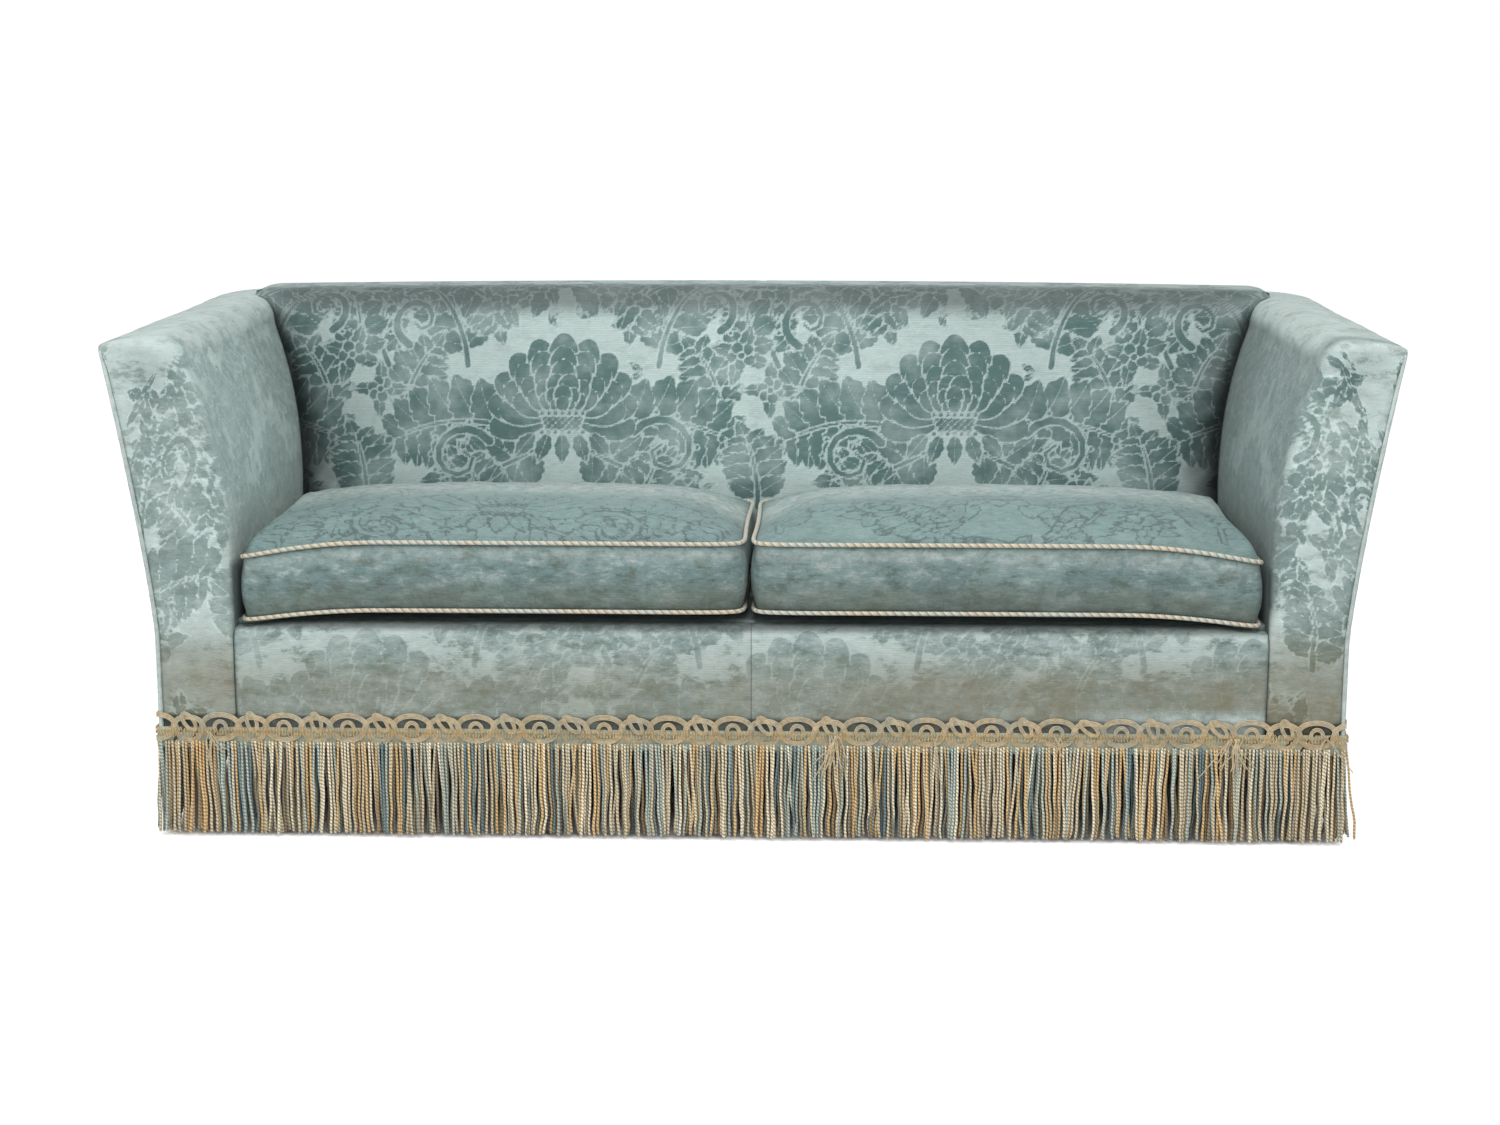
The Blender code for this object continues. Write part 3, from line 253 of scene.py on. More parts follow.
def add_mesh(name: str, points: np.ndarray, faces: list, smooth: bool = True) -> bpy.types.Object:
    """Make an object from points and faces, with the faces turned outwards.

    Args:
        name: The piece's name.
        points: Its points, one a row.
        faces: Its faces, each a list of point numbers.
        smooth: Whether the faces are shaded smooth.

    Returns:
        The new object, linked to the scene.
    """
    mesh = bpy.data.meshes.new(name)
    mesh.from_pydata(points.tolist(), [], faces)
    shape = bmesh.new()
    shape.from_mesh(mesh)
    bmesh.ops.recalc_face_normals(shape, faces=shape.faces)
    shape.to_mesh(mesh)
    shape.free()
    mesh.shade_smooth() if smooth else mesh.shade_flat()
    return link_object(name, mesh)


def store_vectors(obj: bpy.types.Object, name: str, values: np.ndarray) -> None:
    """Store one vector for each point of a mesh as a named attribute."""
    layer = obj.data.attributes.new(name, "FLOAT_VECTOR", "POINT")
    layer.data.foreach_set("vector", np.ascontiguousarray(values, dtype=np.float32).ravel())


def store_flat(obj: bpy.types.Object, flat: np.ndarray) -> None:
    """Store the cloth's flat coordinates as the piece's UV map.

    Args:
        obj: The piece.
        flat: One pair of coordinates for each point.
    """
    layer = obj.data.uv_layers.new(name="cloth")
    corners = np.empty(len(obj.data.loops), dtype=np.int32)
    obj.data.loops.foreach_get("vertex_index", corners)
    layer.data.foreach_set("uv", np.ascontiguousarray(flat[corners], dtype=np.float32).ravel())


@dataclass
class ClothGrid:
    """A sheet of points in rows and columns, with its flat cloth coordinates.

    Args:
        points: Places, rows by columns by 3.
        flat: Where each point lies on the cloth, rows by columns by 2.
        outward: 1 or -1, the way of the cloth's face.
        kept: Which cells are there, or None for all.
    """

    points: np.ndarray
    flat: np.ndarray
    outward: float = 1.0
    kept: np.ndarray | None = None

    def normals(self) -> np.ndarray:
        """Give the sheet's unit normal at each point.

        Returns:
            One vector for each point.
        """
        across = np.gradient(self.points, axis=1)
        along = np.gradient(self.points, axis=0)
        normal = np.cross(across, along) * self.outward
        return normal / np.maximum(np.linalg.norm(normal, axis=2, keepdims=True), 1e-9)

    def shell(self, name: str, depth: float | np.ndarray,
              outward: np.ndarray | None = None) -> bpy.types.Object:
        """Make the padded sheet as a closed shell.

        Args:
            name: The piece's name.
            depth: How thick it is, for all or for each point.
            outward: The direction away from the padding, or None for the sheet's normals.

        Returns:
            The closed piece with its cloth coordinates stored.
        """
        rows, columns = self.points.shape[:2]
        kept = self.kept if self.kept is not None else np.ones((rows - 1, columns - 1), bool)
        thick = np.broadcast_to(np.asarray(depth, dtype=float), (rows, columns))[..., None]
        inner = self.points - (self.normals() if outward is None else outward) * thick
        corner = np.arange(rows * columns).reshape(rows, columns)
        face = grid_faces(corner)[kept]
        back = rows * columns
        faces = [*face.tolist(), *(face[:, ::-1] + back).tolist(), *self.rim(kept, corner, back)]
        places = np.concatenate([self.points.reshape(-1, 3), inner.reshape(-1, 3)])
        flat = np.concatenate([self.flat.reshape(-1, 2)] * 2)
        used = np.unique(np.array([index for one in faces for index in one]))
        moved = np.zeros(len(places), dtype=int)
        moved[used] = np.arange(len(used))
        obj = add_mesh(name, places[used], [[int(moved[index]) for index in one] for one in faces])
        store_flat(obj, flat[used])
        return obj

    @staticmethod
    def rim(kept: np.ndarray, corner: np.ndarray, back: int) -> list:
        """Give the faces that join the two sheets round the kept cells' edges.

        Args:
            kept: Which cells are there.
            corner: Number of each point.
            back: Added to a point's number for the one behind it.

        Returns:
            The rim's faces.
        """
        wide = np.pad(kept, 1)
        here = wide[1:-1, 1:-1]
        edges = [
            (here & ~wide[:-2, 1:-1], corner[:-1, :-1], corner[:-1, 1:]),
            (here & ~wide[2:, 1:-1], corner[1:, 1:], corner[1:, :-1]),
            (here & ~wide[1:-1, :-2], corner[1:, :-1], corner[:-1, :-1]),
            (here & ~wide[1:-1, 2:], corner[:-1, 1:], corner[1:, 1:]),
        ]
        faces = []
        for where, start, end in edges:
            a, b = start[where], end[where]
            faces += np.stack([b, a, a + back, b + back], 1).tolist()
        return faces


@dataclass
class InsideBack:
    """The tight inside back with its rolled top, one padded piece between the arms."""

    columns: int = 520
    face_rows: int = 96
    side_gap: float = 0.002
    seam_depth: float = 0.0030
    seam_width: float = 0.0055
    seam_x: float = 0.004
    crease_depth: float = 0.013
    crease_width: float = 0.030
    pad: float = 0.028

    def profile(self) -> np.ndarray:
        """Give the back's cross-section from the deck over the top, as y and z.

        Returns:
            The section's points, one a row.
        """
        low = np.linspace(0.352, 0.470, 8)
        face = np.linspace(0.470, FORM.shoulder_foot, self.face_rows)[1:]
        turn = np.linspace(0, math.pi / 2, 22)[1:]
        rise = np.sin(turn)
        roll_z = FORM.shoulder_foot + (FORM.back_height - FORM.shoulder_foot) * rise
        roll_y = self.face_y(roll_z) + FORM.back_roll * (1 - np.cos(turn))
        top_y = np.linspace(roll_y[-1], FORM.rear - 0.004, 20)[1:]
        rear_z = np.array([FORM.back_height - 0.003, FORM.back_height - 0.012])
        heights = np.concatenate([low, face, roll_z, np.full(19, FORM.back_height), rear_z])
        flats = np.concatenate([low, face])
        depths = np.concatenate([self.face_y(flats), roll_y, top_y, np.full(2, FORM.rear)])
        return np.stack([depths, heights], 1)

    @staticmethod
    def face_y(z: np.ndarray) -> np.ndarray:
        """Give how far back the raked face lies at heights z."""
        return FORM.seat_back + FORM.back_rake * np.clip(z - FORM.inner_flare_foot, 0, None)

    def sheet(self) -> ClothGrid:
        """Give the back's outer surface with its seam, swell and soft creases.

        Returns:
            The surface.
        """
        path = self.profile()
        run = run_length(path)
        share = np.sin(np.linspace(-1, 1, self.columns) * math.pi / 2 * 0.94)
        share = 0.25 * share / share[-1] + 0.75 * np.linspace(-1, 1, self.columns)
        y, z = (np.repeat(path[:, axis:axis + 1], self.columns, 1) for axis in (0, 1))
        half = FORM.arm_limit_x(np.minimum(z, FORM.arm_top)) - self.side_gap
        x = share * half
        swell = np.sin(math.pi * np.clip((z - 0.5) / 0.295, 0, 1)) * (1 - share ** 4)
        edge = np.clip((np.abs(x) - half + self.crease_width) / self.crease_width, 0, 1) ** 2
        seam = np.exp(-((x - self.seam_x) / self.seam_width) ** 2)
        face = z < FORM.back_height - 0.0005
        y = y - 0.012 * swell + np.where(face, self.crease_depth * edge + self.seam_depth * seam, 0)
        top = smoothstep((z - FORM.shoulder_foot) / (FORM.back_height - FORM.shoulder_foot))
        z = z + top * (FORM.back_crown * (1 - share ** 2) - 0.004 * edge)
        z = z - np.where(face, 0, self.seam_depth * 0.25 * seam)
        places = np.stack([x, y, z], 2)
        ripple = 0.0012 * soft_noise(places, 0.42, 1.3) + 0.0007 * soft_noise(places, 0.13, 4.1)
        places[..., 1] += np.where(face, ripple, 0)
        flat = np.stack([x, np.repeat(run[:, None], self.columns, 1)], 2)
        return ClothGrid(places, flat, outward=1.0)

    def build(self) -> bpy.types.Object:
        """Make the padded back.

        Returns:
            The piece.
        """
        sheet = self.sheet()
        rear = smoothstep((sheet.points[..., 1] - 0.35) / 0.08)
        depth = self.pad * (1 - 0.85 * rear)
        lean = np.gradient(self.profile(), axis=0)
        lean /= np.linalg.norm(lean, axis=1, keepdims=True)
        outward = np.zeros_like(sheet.points)
        outward[..., 1], outward[..., 2] = -lean[:, 1:], lean[:, :1]
        return sheet.shell("inside_back", depth, outward)


@dataclass
class Arm:
    """One flared arm: its wrapped inside cover and its outside panel.

    Args:
        side: Which end of the sofa it stands at.
    """

    side: Side
    rows: int = 168
    run_columns: int = 142
    roll_columns: int = 9
    face_columns: int = 28
    welt_room: float = 0.0079
    side_pad: float = 0.030
    face_pad: float = 0.011

    def roll_radius(self, path: np.ndarray) -> np.ndarray:
        """Give the softness of the front edge at each point of the cross-section.

        Args:
            path: The arm's cross-section.

        Returns:
            A radius at each of its points.
        """
        over = smoothstep((path[:, 0] - 0.925) / 0.12)
        over = np.where(path[:, 1] > FORM.shoulder_foot - 0.01, over, 0)
        low = smoothstep((path[:, 1] - 0.345) / 0.06)
        return (0.006 + 0.026 * low) * (1 - over) + 0.007 * over

    def outer_edge(self, count: int) -> np.ndarray:
        """Give the points on the outer front edge that the rows of the cover run to."""
        heights = np.linspace(FORM.cover_foot, FORM.arm_height - 0.018, count)
        return np.stack([FORM.outer_x(heights) - self.welt_room, heights], 1)

    def sheet(self) -> ClothGrid:
        """Give the arm's outer surface from the seat over the arm and round its front.

        Returns:
            The surface.
        """
        path = resampled(FORM.arm_profile(), self.rows)
        lean = np.gradient(path, axis=0)
        lean /= np.linalg.norm(lean, axis=1, keepdims=True)
        out = np.stack([-lean[:, 1], lean[:, 0]], 1)
        radius = self.roll_radius(path)[:, None]
        columns = self.run_columns + self.roll_columns + self.face_columns
        x, y, z = (np.empty((self.rows, columns)) for _ in range(3))
        depth = np.linspace(0, 1, self.run_columns)[None, :]
        stop = FORM.front + radius
        y[:, :self.run_columns] = FORM.rear + (stop - FORM.rear) * depth
        x[:, :self.run_columns] = path[:, :1]
        z[:, :self.run_columns] = path[:, 1:]
        turn = np.linspace(0, math.pi / 2, self.roll_columns + 1)[None, 1:]
        bend = slice(self.run_columns, self.run_columns + self.roll_columns)
        y[:, bend] = FORM.front + radius * (1 - np.sin(turn))
        x[:, bend] = path[:, :1] - out[:, :1] * radius * (1 - np.cos(turn))
        z[:, bend] = path[:, 1:] - out[:, 1:] * radius * (1 - np.cos(turn))
        start = path - out * radius
        share = np.linspace(0, 1, self.face_columns + 1)[1:]
        ends = self.outer_edge(self.rows)
        last = slice(columns - self.face_columns, columns)
        x[:, last] = start[:, :1] + (ends[:, :1] - start[:, :1]) * share
        z[:, last] = start[:, 1:] + (ends[:, 1:] - start[:, 1:]) * share
        dish = 0.0035 * smoothstep((share - 0.86) / 0.14)
        y[:, last] = FORM.front + dish[None, :]
        places = np.stack([x, y, z], 2)
        self.soften(places, path)
        steps = np.linalg.norm(np.diff(places, axis=1), axis=2)
        across = np.concatenate([np.zeros((self.rows, 1)), np.cumsum(steps, axis=1)], 1)
        flat = np.stack([across, np.repeat(run_length(path)[:, None], columns, 1)], 2)
        places[..., 0] *= self.side.value
        kept = np.ones((self.rows - 1, columns - 1), bool)
        low = path[:-1, 1] < FORM.arm_tuck - 0.012
        kept[low, :self.run_columns - 5] = False
        return ClothGrid(places, flat, outward=self.side.value, kept=kept)

    def soften(self, places: np.ndarray, path: np.ndarray) -> None:
        """Add the padding's slight unevenness to the arm's surface.

        Args:
            places: The surface's points, which are moved.
            path: The arm's cross-section.
        """
        wave = 0.0016 * soft_noise(places, 0.36, 2.2) + 0.0008 * soft_noise(places, 0.15, 7.4)
        top = path[:, 1] > FORM.shoulder_foot
        crown = np.where(top, np.clip(path[:, 0] - 0.93, 0, 1) * 8, 0)[:, None]
        places[..., 2] += np.minimum(crown, 1) * wave * (places[..., 1] > FORM.front + 0.03)
        inside = (places[..., 1] > FORM.front + 0.03) & (places[..., 2] < FORM.shoulder_foot)
        places[..., 0] += np.where(inside, wave, 0)

    def thickness(self, sheet: ClothGrid) -> np.ndarray:
        """Give the padding's depth behind each point of the cover.

        Args:
            sheet: The cover's surface.

        Returns:
            The depths, rows by columns.
        """
        path = resampled(FORM.arm_profile(), self.rows)
        over = smoothstep((path[:, 0] - 0.93) / 0.12) * (path[:, 1] > FORM.shoulder_foot)
        low = smoothstep((path[:, 1] - 0.33) / 0.05)
        by_row = (0.010 + (self.side_pad - 0.010) * low) * (1 - over) + 0.004 * over
        columns = sheet.points.shape[1]
        place = np.arange(columns)
        share = smoothstep((place - self.run_columns + 14) / 18.0)
        by_column = self.side_pad * (1 - share) + self.face_pad * share
        by_column = np.where(place > columns - 5, 0.003, by_column)
        return np.minimum(by_row[:, None], by_column[None, :])

    def build(self) -> bpy.types.Object:
        """Make the padded arm cover."""
        sheet = self.sheet()
        return sheet.shell(f"{self.side.word}_arm", self.thickness(sheet))

    def outside(self) -> bpy.types.Object:
        """Make the panel on the arm's outer side.

        Returns:
            The piece.
        """
        z = np.linspace(FORM.cover_foot, FORM.arm_height - 0.017, 130)
        y = np.linspace(FORM.front + 0.0085, FORM.rear - 0.0005, 150)
        depth, height = np.meshgrid(y, z)
        mid = np.sin(math.pi * (height - z[0]) / (z[-1] - z[0]))
        mid = mid * np.sin(math.pi * (depth - y[0]) / (y[-1] - y[0]))
        x = FORM.outer_x(height) + 0.002 * mid
        places = np.stack([x, depth, height], 2)
        places[..., 0] += 0.0008 * mid * soft_noise(places, 0.3, 3.3)
        places[..., 0] *= self.side.value
        flat = np.stack([depth, height], 2)
        grid = ClothGrid(places, flat, outward=self.side.value)
        return grid.shell(f"{self.side.word}_outside_arm", 0.0022)

    def welt(self) -> bpy.types.Object:
        """Make the self-covered welt down the arm's front outer edge.

        Returns:
            The piece.
        """
        low, high = (np.array(corner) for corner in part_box(f"{self.side.word}_arm_welt"))
        radius = 0.0038
        z = np.linspace(low[2] + radius, high[2] - radius, 150)
        x = FORM.outer_x(z) - radius
        y = np.full_like(z, FORM.front + radius)
        path = np.stack([x * self.side.value, y, z], 1)
        wave = 0.00035 * soft_noise(path, 0.03, 5.0)
        return tube(f"{self.side.word}_welt", path, radius + wave, sides=12)


def tube(name: str, path: np.ndarray, radius: float | np.ndarray, sides: int) -> bpy.types.Object:
    """Make a round tube along a path, with cloth coordinates round and along it.

    Args:
        name: The piece's name.
        path: The path's points, one a row.
        radius: The tube's radius, for all or for each point.
        sides: How many faces go round it.

    Returns:
        The closed tube.
    """
    count = len(path)
    lean = np.gradient(path, axis=0)
    lean /= np.maximum(np.linalg.norm(lean, axis=1, keepdims=True), 1e-9)
    guide = np.array([0.0, 1.0, 0.0]) if abs(lean[:, 1]).mean() < 0.8 else np.array([0.0, 0, 1])
    first = np.cross(lean, guide)
    first /= np.maximum(np.linalg.norm(first, axis=1, keepdims=True), 1e-9)
    second = np.cross(lean, first)
    turn = np.arange(sides) * (2 * math.pi / sides)
    size = np.broadcast_to(np.asarray(radius, dtype=float), (count,))[:, None, None]
    ring = (first[:, None] * np.cos(turn)[None, :, None]
            + second[:, None] * np.sin(turn)[None, :, None])
    points = (path[:, None] + ring * size).reshape(-1, 3)
    rings = np.arange(count * sides).reshape(count, sides)
    faces = ring_faces(list(rings)) + [rings[0].tolist(), rings[-1].tolist()]
    obj = add_mesh(name, points, faces)
    flat = np.stack([np.tile(turn, count), np.repeat(run_length(path), sides)], 1)
    store_flat(obj, flat)
    return obj


@dataclass
class FrontBorder:
    """The upholstered front border under the cushions, with its top edge."""

    columns: int = 412
    rows: int = 62
    roll: float = 0.018
    end_drop: float = 0.010
    end_length: float = 0.090
    end_gap: float = 0.0012
    pad: float = 0.022

    def sheet(self) -> ClothGrid:
        """Give the border's outer surface, foot to the back of its top.

        Returns:
            The surface.
        """
        top = FORM.deck_front
        up = np.array([[0.0, z] for z in np.linspace(FORM.cover_foot, top - self.roll, 40)])
        turn = np.linspace(0, math.pi / 2, 14)[1:, None]
        arc = np.concatenate([self.roll * (1 - np.cos(turn)),
                              top - self.roll + self.roll * np.sin(turn)], 1)
        end = FORM.border_top_back - FORM.front
        flat_top = np.array([[d, top] for d in np.linspace(self.roll, end, 10)[1:]])
        path = resampled(np.concatenate([up, arc, flat_top]), self.rows)
        half = FORM.seat_half - self.end_gap
        x = np.repeat(np.linspace(-half, half, self.columns)[None, :], self.rows, 0)
        inward = np.repeat(path[:, :1], self.columns, 1)
        z = np.repeat(path[:, 1:], self.columns, 1)
        near = half - np.abs(x)
        drop = self.end_drop * (1 - smoothstep(near / self.end_length))
        high = smoothstep((z - 0.20) / 0.15)
        edge = np.clip(1 - near / 0.010, 0, 1) ** 2
        seam = np.exp(-((x - FORM.border_seam) / 0.0045) ** 2)
        swell = np.sin(math.pi * np.clip((z - 0.2) / 0.16, 0, 1))
        places = np.stack([x, FORM.front + inward, z - drop * high], 2)
        wave = soft_noise(places, 0.33, 0.7) + 0.5 * soft_noise(places, 0.11, 8.1)
        places[..., 1] += 0.006 * edge + 0.0022 * seam + 0.0012 * (wave - 0.6) * swell + 0.0008
        places[..., 2] -= 0.0018 * seam * high
        run = run_length(path)
        flat = np.stack([x, np.repeat(run[:, None], self.columns, 1)], 2)
        return ClothGrid(places, flat, outward=1.0)

    def build(self) -> bpy.types.Object:
        """Make the padded border.

        Returns:
            The piece.
        """
        sheet = self.sheet()
        near = np.minimum(sheet.points[..., 2] - FORM.cover_foot, 0.02) / 0.02
        return sheet.shell("front_border", 0.004 + (self.pad - 0.004) * np.clip(near, 0, 1))


@dataclass
class Enclosure:
    """The deck under the cushions and the panel over the sofa's rear."""

    deck_thickness: float = 0.012
    panel_thickness: float = 0.0022

    def deck(self) -> bpy.types.Object:
        """Make the padded seat deck, slightly hollow where the seat is used.

        Returns:
            The piece.
        """
        x = np.linspace(-FORM.seat_half + 0.001, FORM.seat_half - 0.001, 150)
        y = np.linspace(FORM.border_top_back + 0.0006, FORM.seat_back - 0.0006, 50)
        across, depth = np.meshgrid(x, y)
        height = FORM.deck_z(depth)
        places = np.stack([across, depth, height], 2)
        dip = np.abs(soft_noise(places, 0.21, 5.5)) * 0.002
        edge = np.minimum(FORM.seat_half - np.abs(across), 0.05) / 0.05
        places[..., 2] -= dip * edge
        grid = ClothGrid(places, np.stack([across, depth], 2), outward=1.0)
        return grid.shell("seat_deck", self.deck_thickness)

    def silhouette(self, x: np.ndarray) -> np.ndarray:
        """Give the height of the sofa's rear top edge at places x across it.

        Args:
            x: Places across the sofa.

        Returns:
            The heights.
        """
        start = float(FORM.arm_limit_x(np.array(FORM.arm_top)))
        edge = float(FORM.outer_x(np.array(FORM.arm_height)))
        share = np.clip((np.abs(x) - start) / (edge - start), 0, 1)
        arm = FORM.arm_top - (FORM.arm_top - FORM.arm_height) * share ** 2
        back = FORM.back_height + FORM.back_crown * (1 - (x / start) ** 2)
        blend = smoothstep((np.abs(x) - start + 0.02) / 0.03)
        return back * (1 - blend) + arm * blend - 0.004

    def rear_panel(self) -> bpy.types.Object:
        """Make the panel over the sofa's rear, arm to arm.

        Returns:
            The piece.
        """
        share = np.linspace(-1, 1, 340)[None, :]
        edge = float(FORM.outer_x(np.array(FORM.arm_height))) - 0.0005
        top = self.silhouette(share * edge)
        level = np.linspace(0, 1, 116)[:, None]
        z = FORM.cover_foot + level * (top - FORM.cover_foot)
        x = share * (FORM.outer_x(z) - 0.0005)
        swell = np.sin(math.pi * level) * (1 - share ** 2)
        places = np.stack([x, np.full_like(x, FORM.rear + 0.0022), z], 2)
        places[..., 1] += 0.0025 * swell + 0.0008 * swell * soft_noise(places, 0.3, 6.0)
        grid = ClothGrid(places, np.stack([x, z], 2), outward=-1.0)
        return grid.shell("outside_back", self.panel_thickness)


@dataclass
class Damask:
    """One repeat of a traditional cut-velvet design, drawn as distances to its edges.

    A fan of scale petals stands in a lattice basket among toothed fronds, berried scrolls
    and small flowers. Distances are below zero inside the pile.

    Args:
        width: Length of the repeat across the cloth.
        height: Length of the repeat along the cloth.
        step: Size of one cell of the drawing.
    """

    width: float = 0.735
    height: float = 0.610
    step: float = 0.0024
    figure: np.ndarray = field(init=False, repr=False)
    line: np.ndarray = field(init=False, repr=False)

    def __post_init__(self) -> None:
        """Lay out the empty cloth and draw the repeat."""
        columns, rows = round(self.width / self.step), round(self.height / self.step)
        self.u, self.v = np.meshgrid((np.arange(columns) + 0.5) * self.width / columns,
                                     (np.arange(rows) + 0.5) * self.height / rows)
        self.figure = np.full((rows, columns), 0.05)
        self.line = np.full((rows, columns), 0.05)
        self.draw()

    def local(self, u: float, v: float, angle: float) -> tuple:
        """Give every cell's place along and across an axis, the repeat's wrap counted.

        Args:
            u: Where the axis starts, across the cloth.
            v: Where the axis starts, along the cloth.
            angle: Its direction in degrees, 90 being up.

        Returns:
            Distances along and across the axis.
        """
        du = (self.u - u + self.width / 2) % self.width - self.width / 2
        dv = (self.v - v + self.height / 2) % self.height - self.height / 2
        turn = math.radians(angle)
        return (du * math.cos(turn) + dv * math.sin(turn),
                dv * math.cos(turn) - du * math.sin(turn))

    def lay(self, edge: np.ndarray) -> None:
        """Lay a shape over what is drawn, its outline kept."""
        self.figure = np.minimum(self.figure, edge)
        self.line = np.where(edge < 0, -edge, np.minimum(self.line, edge))

    def vein(self, distance: np.ndarray, within: np.ndarray) -> None:
        """Draw a fine line inside a shape."""
        self.line = np.where(within < 0, np.minimum(self.line, distance + 0.0006), self.line)

    def disc(self, u: float, v: float, radius: float) -> None:
        """Lay one round berry."""
        along, across = self.local(u, v, 0)
        self.lay(np.hypot(along, across) - radius)

    def petal(self, u: float, v: float, angle: float, length: float, width: float,
              blunt: float = 1.3) -> None:
        """Lay one petal with its foot at a point.

        Args:
            u: The foot's place across the cloth.
            v: The foot's place along the cloth.
            angle: The petal's direction in degrees.
            length: Its length.
            width: Its greatest width.
            blunt: Above 1 it is widest near the tip, below 1 near the foot.
        """
        along, across = self.local(u, v, angle)
        share = np.clip(along / length, 0, 1)
        half = width / 2 * np.sin(math.pi * share ** blunt) ** 0.55
        slope = np.maximum(np.abs(across) - half, np.maximum(-along, along - length))
        self.lay(slope * 0.9)

    def leaf(self, u: float, v: float, angle: float, length: float, width: float,
             curl: float = 0.0, teeth: float = 5.0) -> None:
        """Lay one toothed leaf with a rib along its middle.

        Args:
            u: The foot's place across the cloth.
            v: The foot's place along the cloth.
            angle: The direction in which it starts, in degrees.
            length: Its length.
            width: Its greatest width.
            curl: How far its tip bends aside, as a share of its length.
            teeth: How many teeth each side has.
        """
        along, across = self.local(u, v, angle)
        share = np.clip(along / length, 0, 1)
        bent = across - curl * length * share ** 2
        tooth = 0.78 + 0.22 * np.abs(np.sin(math.pi * teeth * share))
        half = width / 2 * np.sin(math.pi * share ** 0.8) * tooth
        edge = np.maximum(np.abs(bent) - half, np.maximum(-along, along - length)) * 0.85
        self.lay(edge)
        self.vein(np.abs(bent), edge + 0.002)

    def stem(self, points: list, start: float, end: float) -> None:
        """Lay a tapering stem along points.

        Args:
            points: Places across and along the cloth.
            start: The stem's half width at its first point.
            end: Its half width at its last.
        """
        fine = resampled(np.array(points, dtype=float), 12)
        edge = np.full_like(self.figure, 0.05)
        sizes = np.linspace(start, end, 12)
        for here, there, size in zip(fine[:-1], fine[1:], sizes):
            run = math.hypot(*(there - here))
            lean = math.degrees(math.atan2(there[1] - here[1], there[0] - here[0]))
            along, across = self.local(here[0], here[1], lean)
            edge = np.minimum(edge, np.hypot(along - np.clip(along, 0, run), across) - size)
        self.lay(edge)

    def scroll(self, u: float, v: float, angle: float, size: float, turn: float) -> None:
        """Lay a C-scroll with berries along its outer side.

        Args:
            u: The eye's place across the cloth.
            v: The eye's place along the cloth.
            angle: Where its open end points, in degrees.
            size: Radius of its outer end.
            turn: 1 or -1, the way it winds.
        """
        share = np.linspace(0, 1, 26)
        lean = np.radians(angle) + turn * share * math.radians(400)
        radius = size * (1 - 0.80 * share)
        places = np.stack([u + radius * np.cos(lean), v + radius * np.sin(lean)], 1)
        self.stem(places.tolist(), 0.0085, 0.0035)
        for index in range(1, 15, 2):
            out = radius[index] + 0.0135
            self.disc(u + out * math.cos(lean[index]), v + out * math.sin(lean[index]), 0.0052)

    def frond(self, u: float, v: float, angle: float, length: float, bend: float,
              size: float, pairs: int = 6) -> None:
        """Lay a curving frond of toothed leaves either side of a stem.

        Args:
            u: Its foot's place across the cloth.
            v: Its foot's place along the cloth.
            angle: The direction in which it starts, in degrees.
            length: The length of its stem.
            bend: How far it turns from foot to tip, in degrees.
            size: Length of its largest leaves.
            pairs: How many pairs of leaves it has.
        """
        points, lean = [(u, v)], angle
        for _ in range(pairs):
            step = length / pairs
            u, v = u + step * math.cos(math.radians(lean)), v + step * math.sin(math.radians(lean))
            lean += bend / pairs
            points.append((u, v))
        self.leaf(u, v, lean, size * 0.8, size * 0.46, 0.1)
        for index in range(pairs, 0, -1):
            at_u, at_v = points[index]
            here = angle + bend * index / pairs
            scale = size * (0.55 + 0.45 * math.sin(math.pi * (index + 0.6) / (pairs + 1)))
            for way in (1, -1):
                self.leaf(at_u, at_v, here + way * 50, scale, scale * 0.74, way * 0.18)
        self.stem(points, 0.0060, 0.0030)

    def flower(self, u: float, v: float, size: float, petals: int = 5, angle: float = 90) -> None:
        """Lay an open flower with a round eye.

        Args:
            u: Its middle across the cloth.
            v: Its middle along the cloth.
            size: The length of its petals.
            petals: How many petals it has.
            angle: The direction of its first petal, in degrees.
        """
        for index in range(petals):
            self.petal(u, v, angle + index * 360 / petals, size, size * 0.85, 1.3)
        self.disc(u, v, size * 0.26)

    def fan(self, u: float, v: float, rows: tuple) -> None:
        """Lay fans of scale petals over one another, the longest first.

        Args:
            u: Their foot across the cloth.
            v: Their foot along the cloth.
            rows: For each fan its count, half spread in degrees, length and width.
        """
        for count, spread, length, width in rows:
            order = sorted(range(count), key=lambda index: -abs(index - (count - 1) / 2))
            for index in order:
                aside = (2 * index / (count - 1) - 1) * spread
                reach = length * (1 - 0.10 * abs(aside) / 90)
                self.petal(u, v, 90 - aside, reach, width, 1.75)

    def basket(self, u: float, v: float, width: float, height: float) -> None:
        """Lay the lattice basket with its berried rims.

        Args:
            u: Its middle across the cloth.
            v: Its middle along the cloth.
            width: Its width.
            height: Its height.
        """
        along, across = self.local(u, v, 0)
        half = width / 2 * (1 + 0.25 * across / height)
        edge = np.maximum(np.abs(along) - half, np.abs(across) - height / 2)
        self.lay(edge)
        pitch = 0.0125
        for way in (1, -1):
            cross = (along + way * across) % pitch
            self.vein(np.minimum(cross, pitch - cross), edge + 0.002)
        for level in (-1, 1):
            for share in np.linspace(-1, 1, 7):
                self.disc(u + share * width * 0.52, v + level * (height / 2 + 0.004), 0.0052)

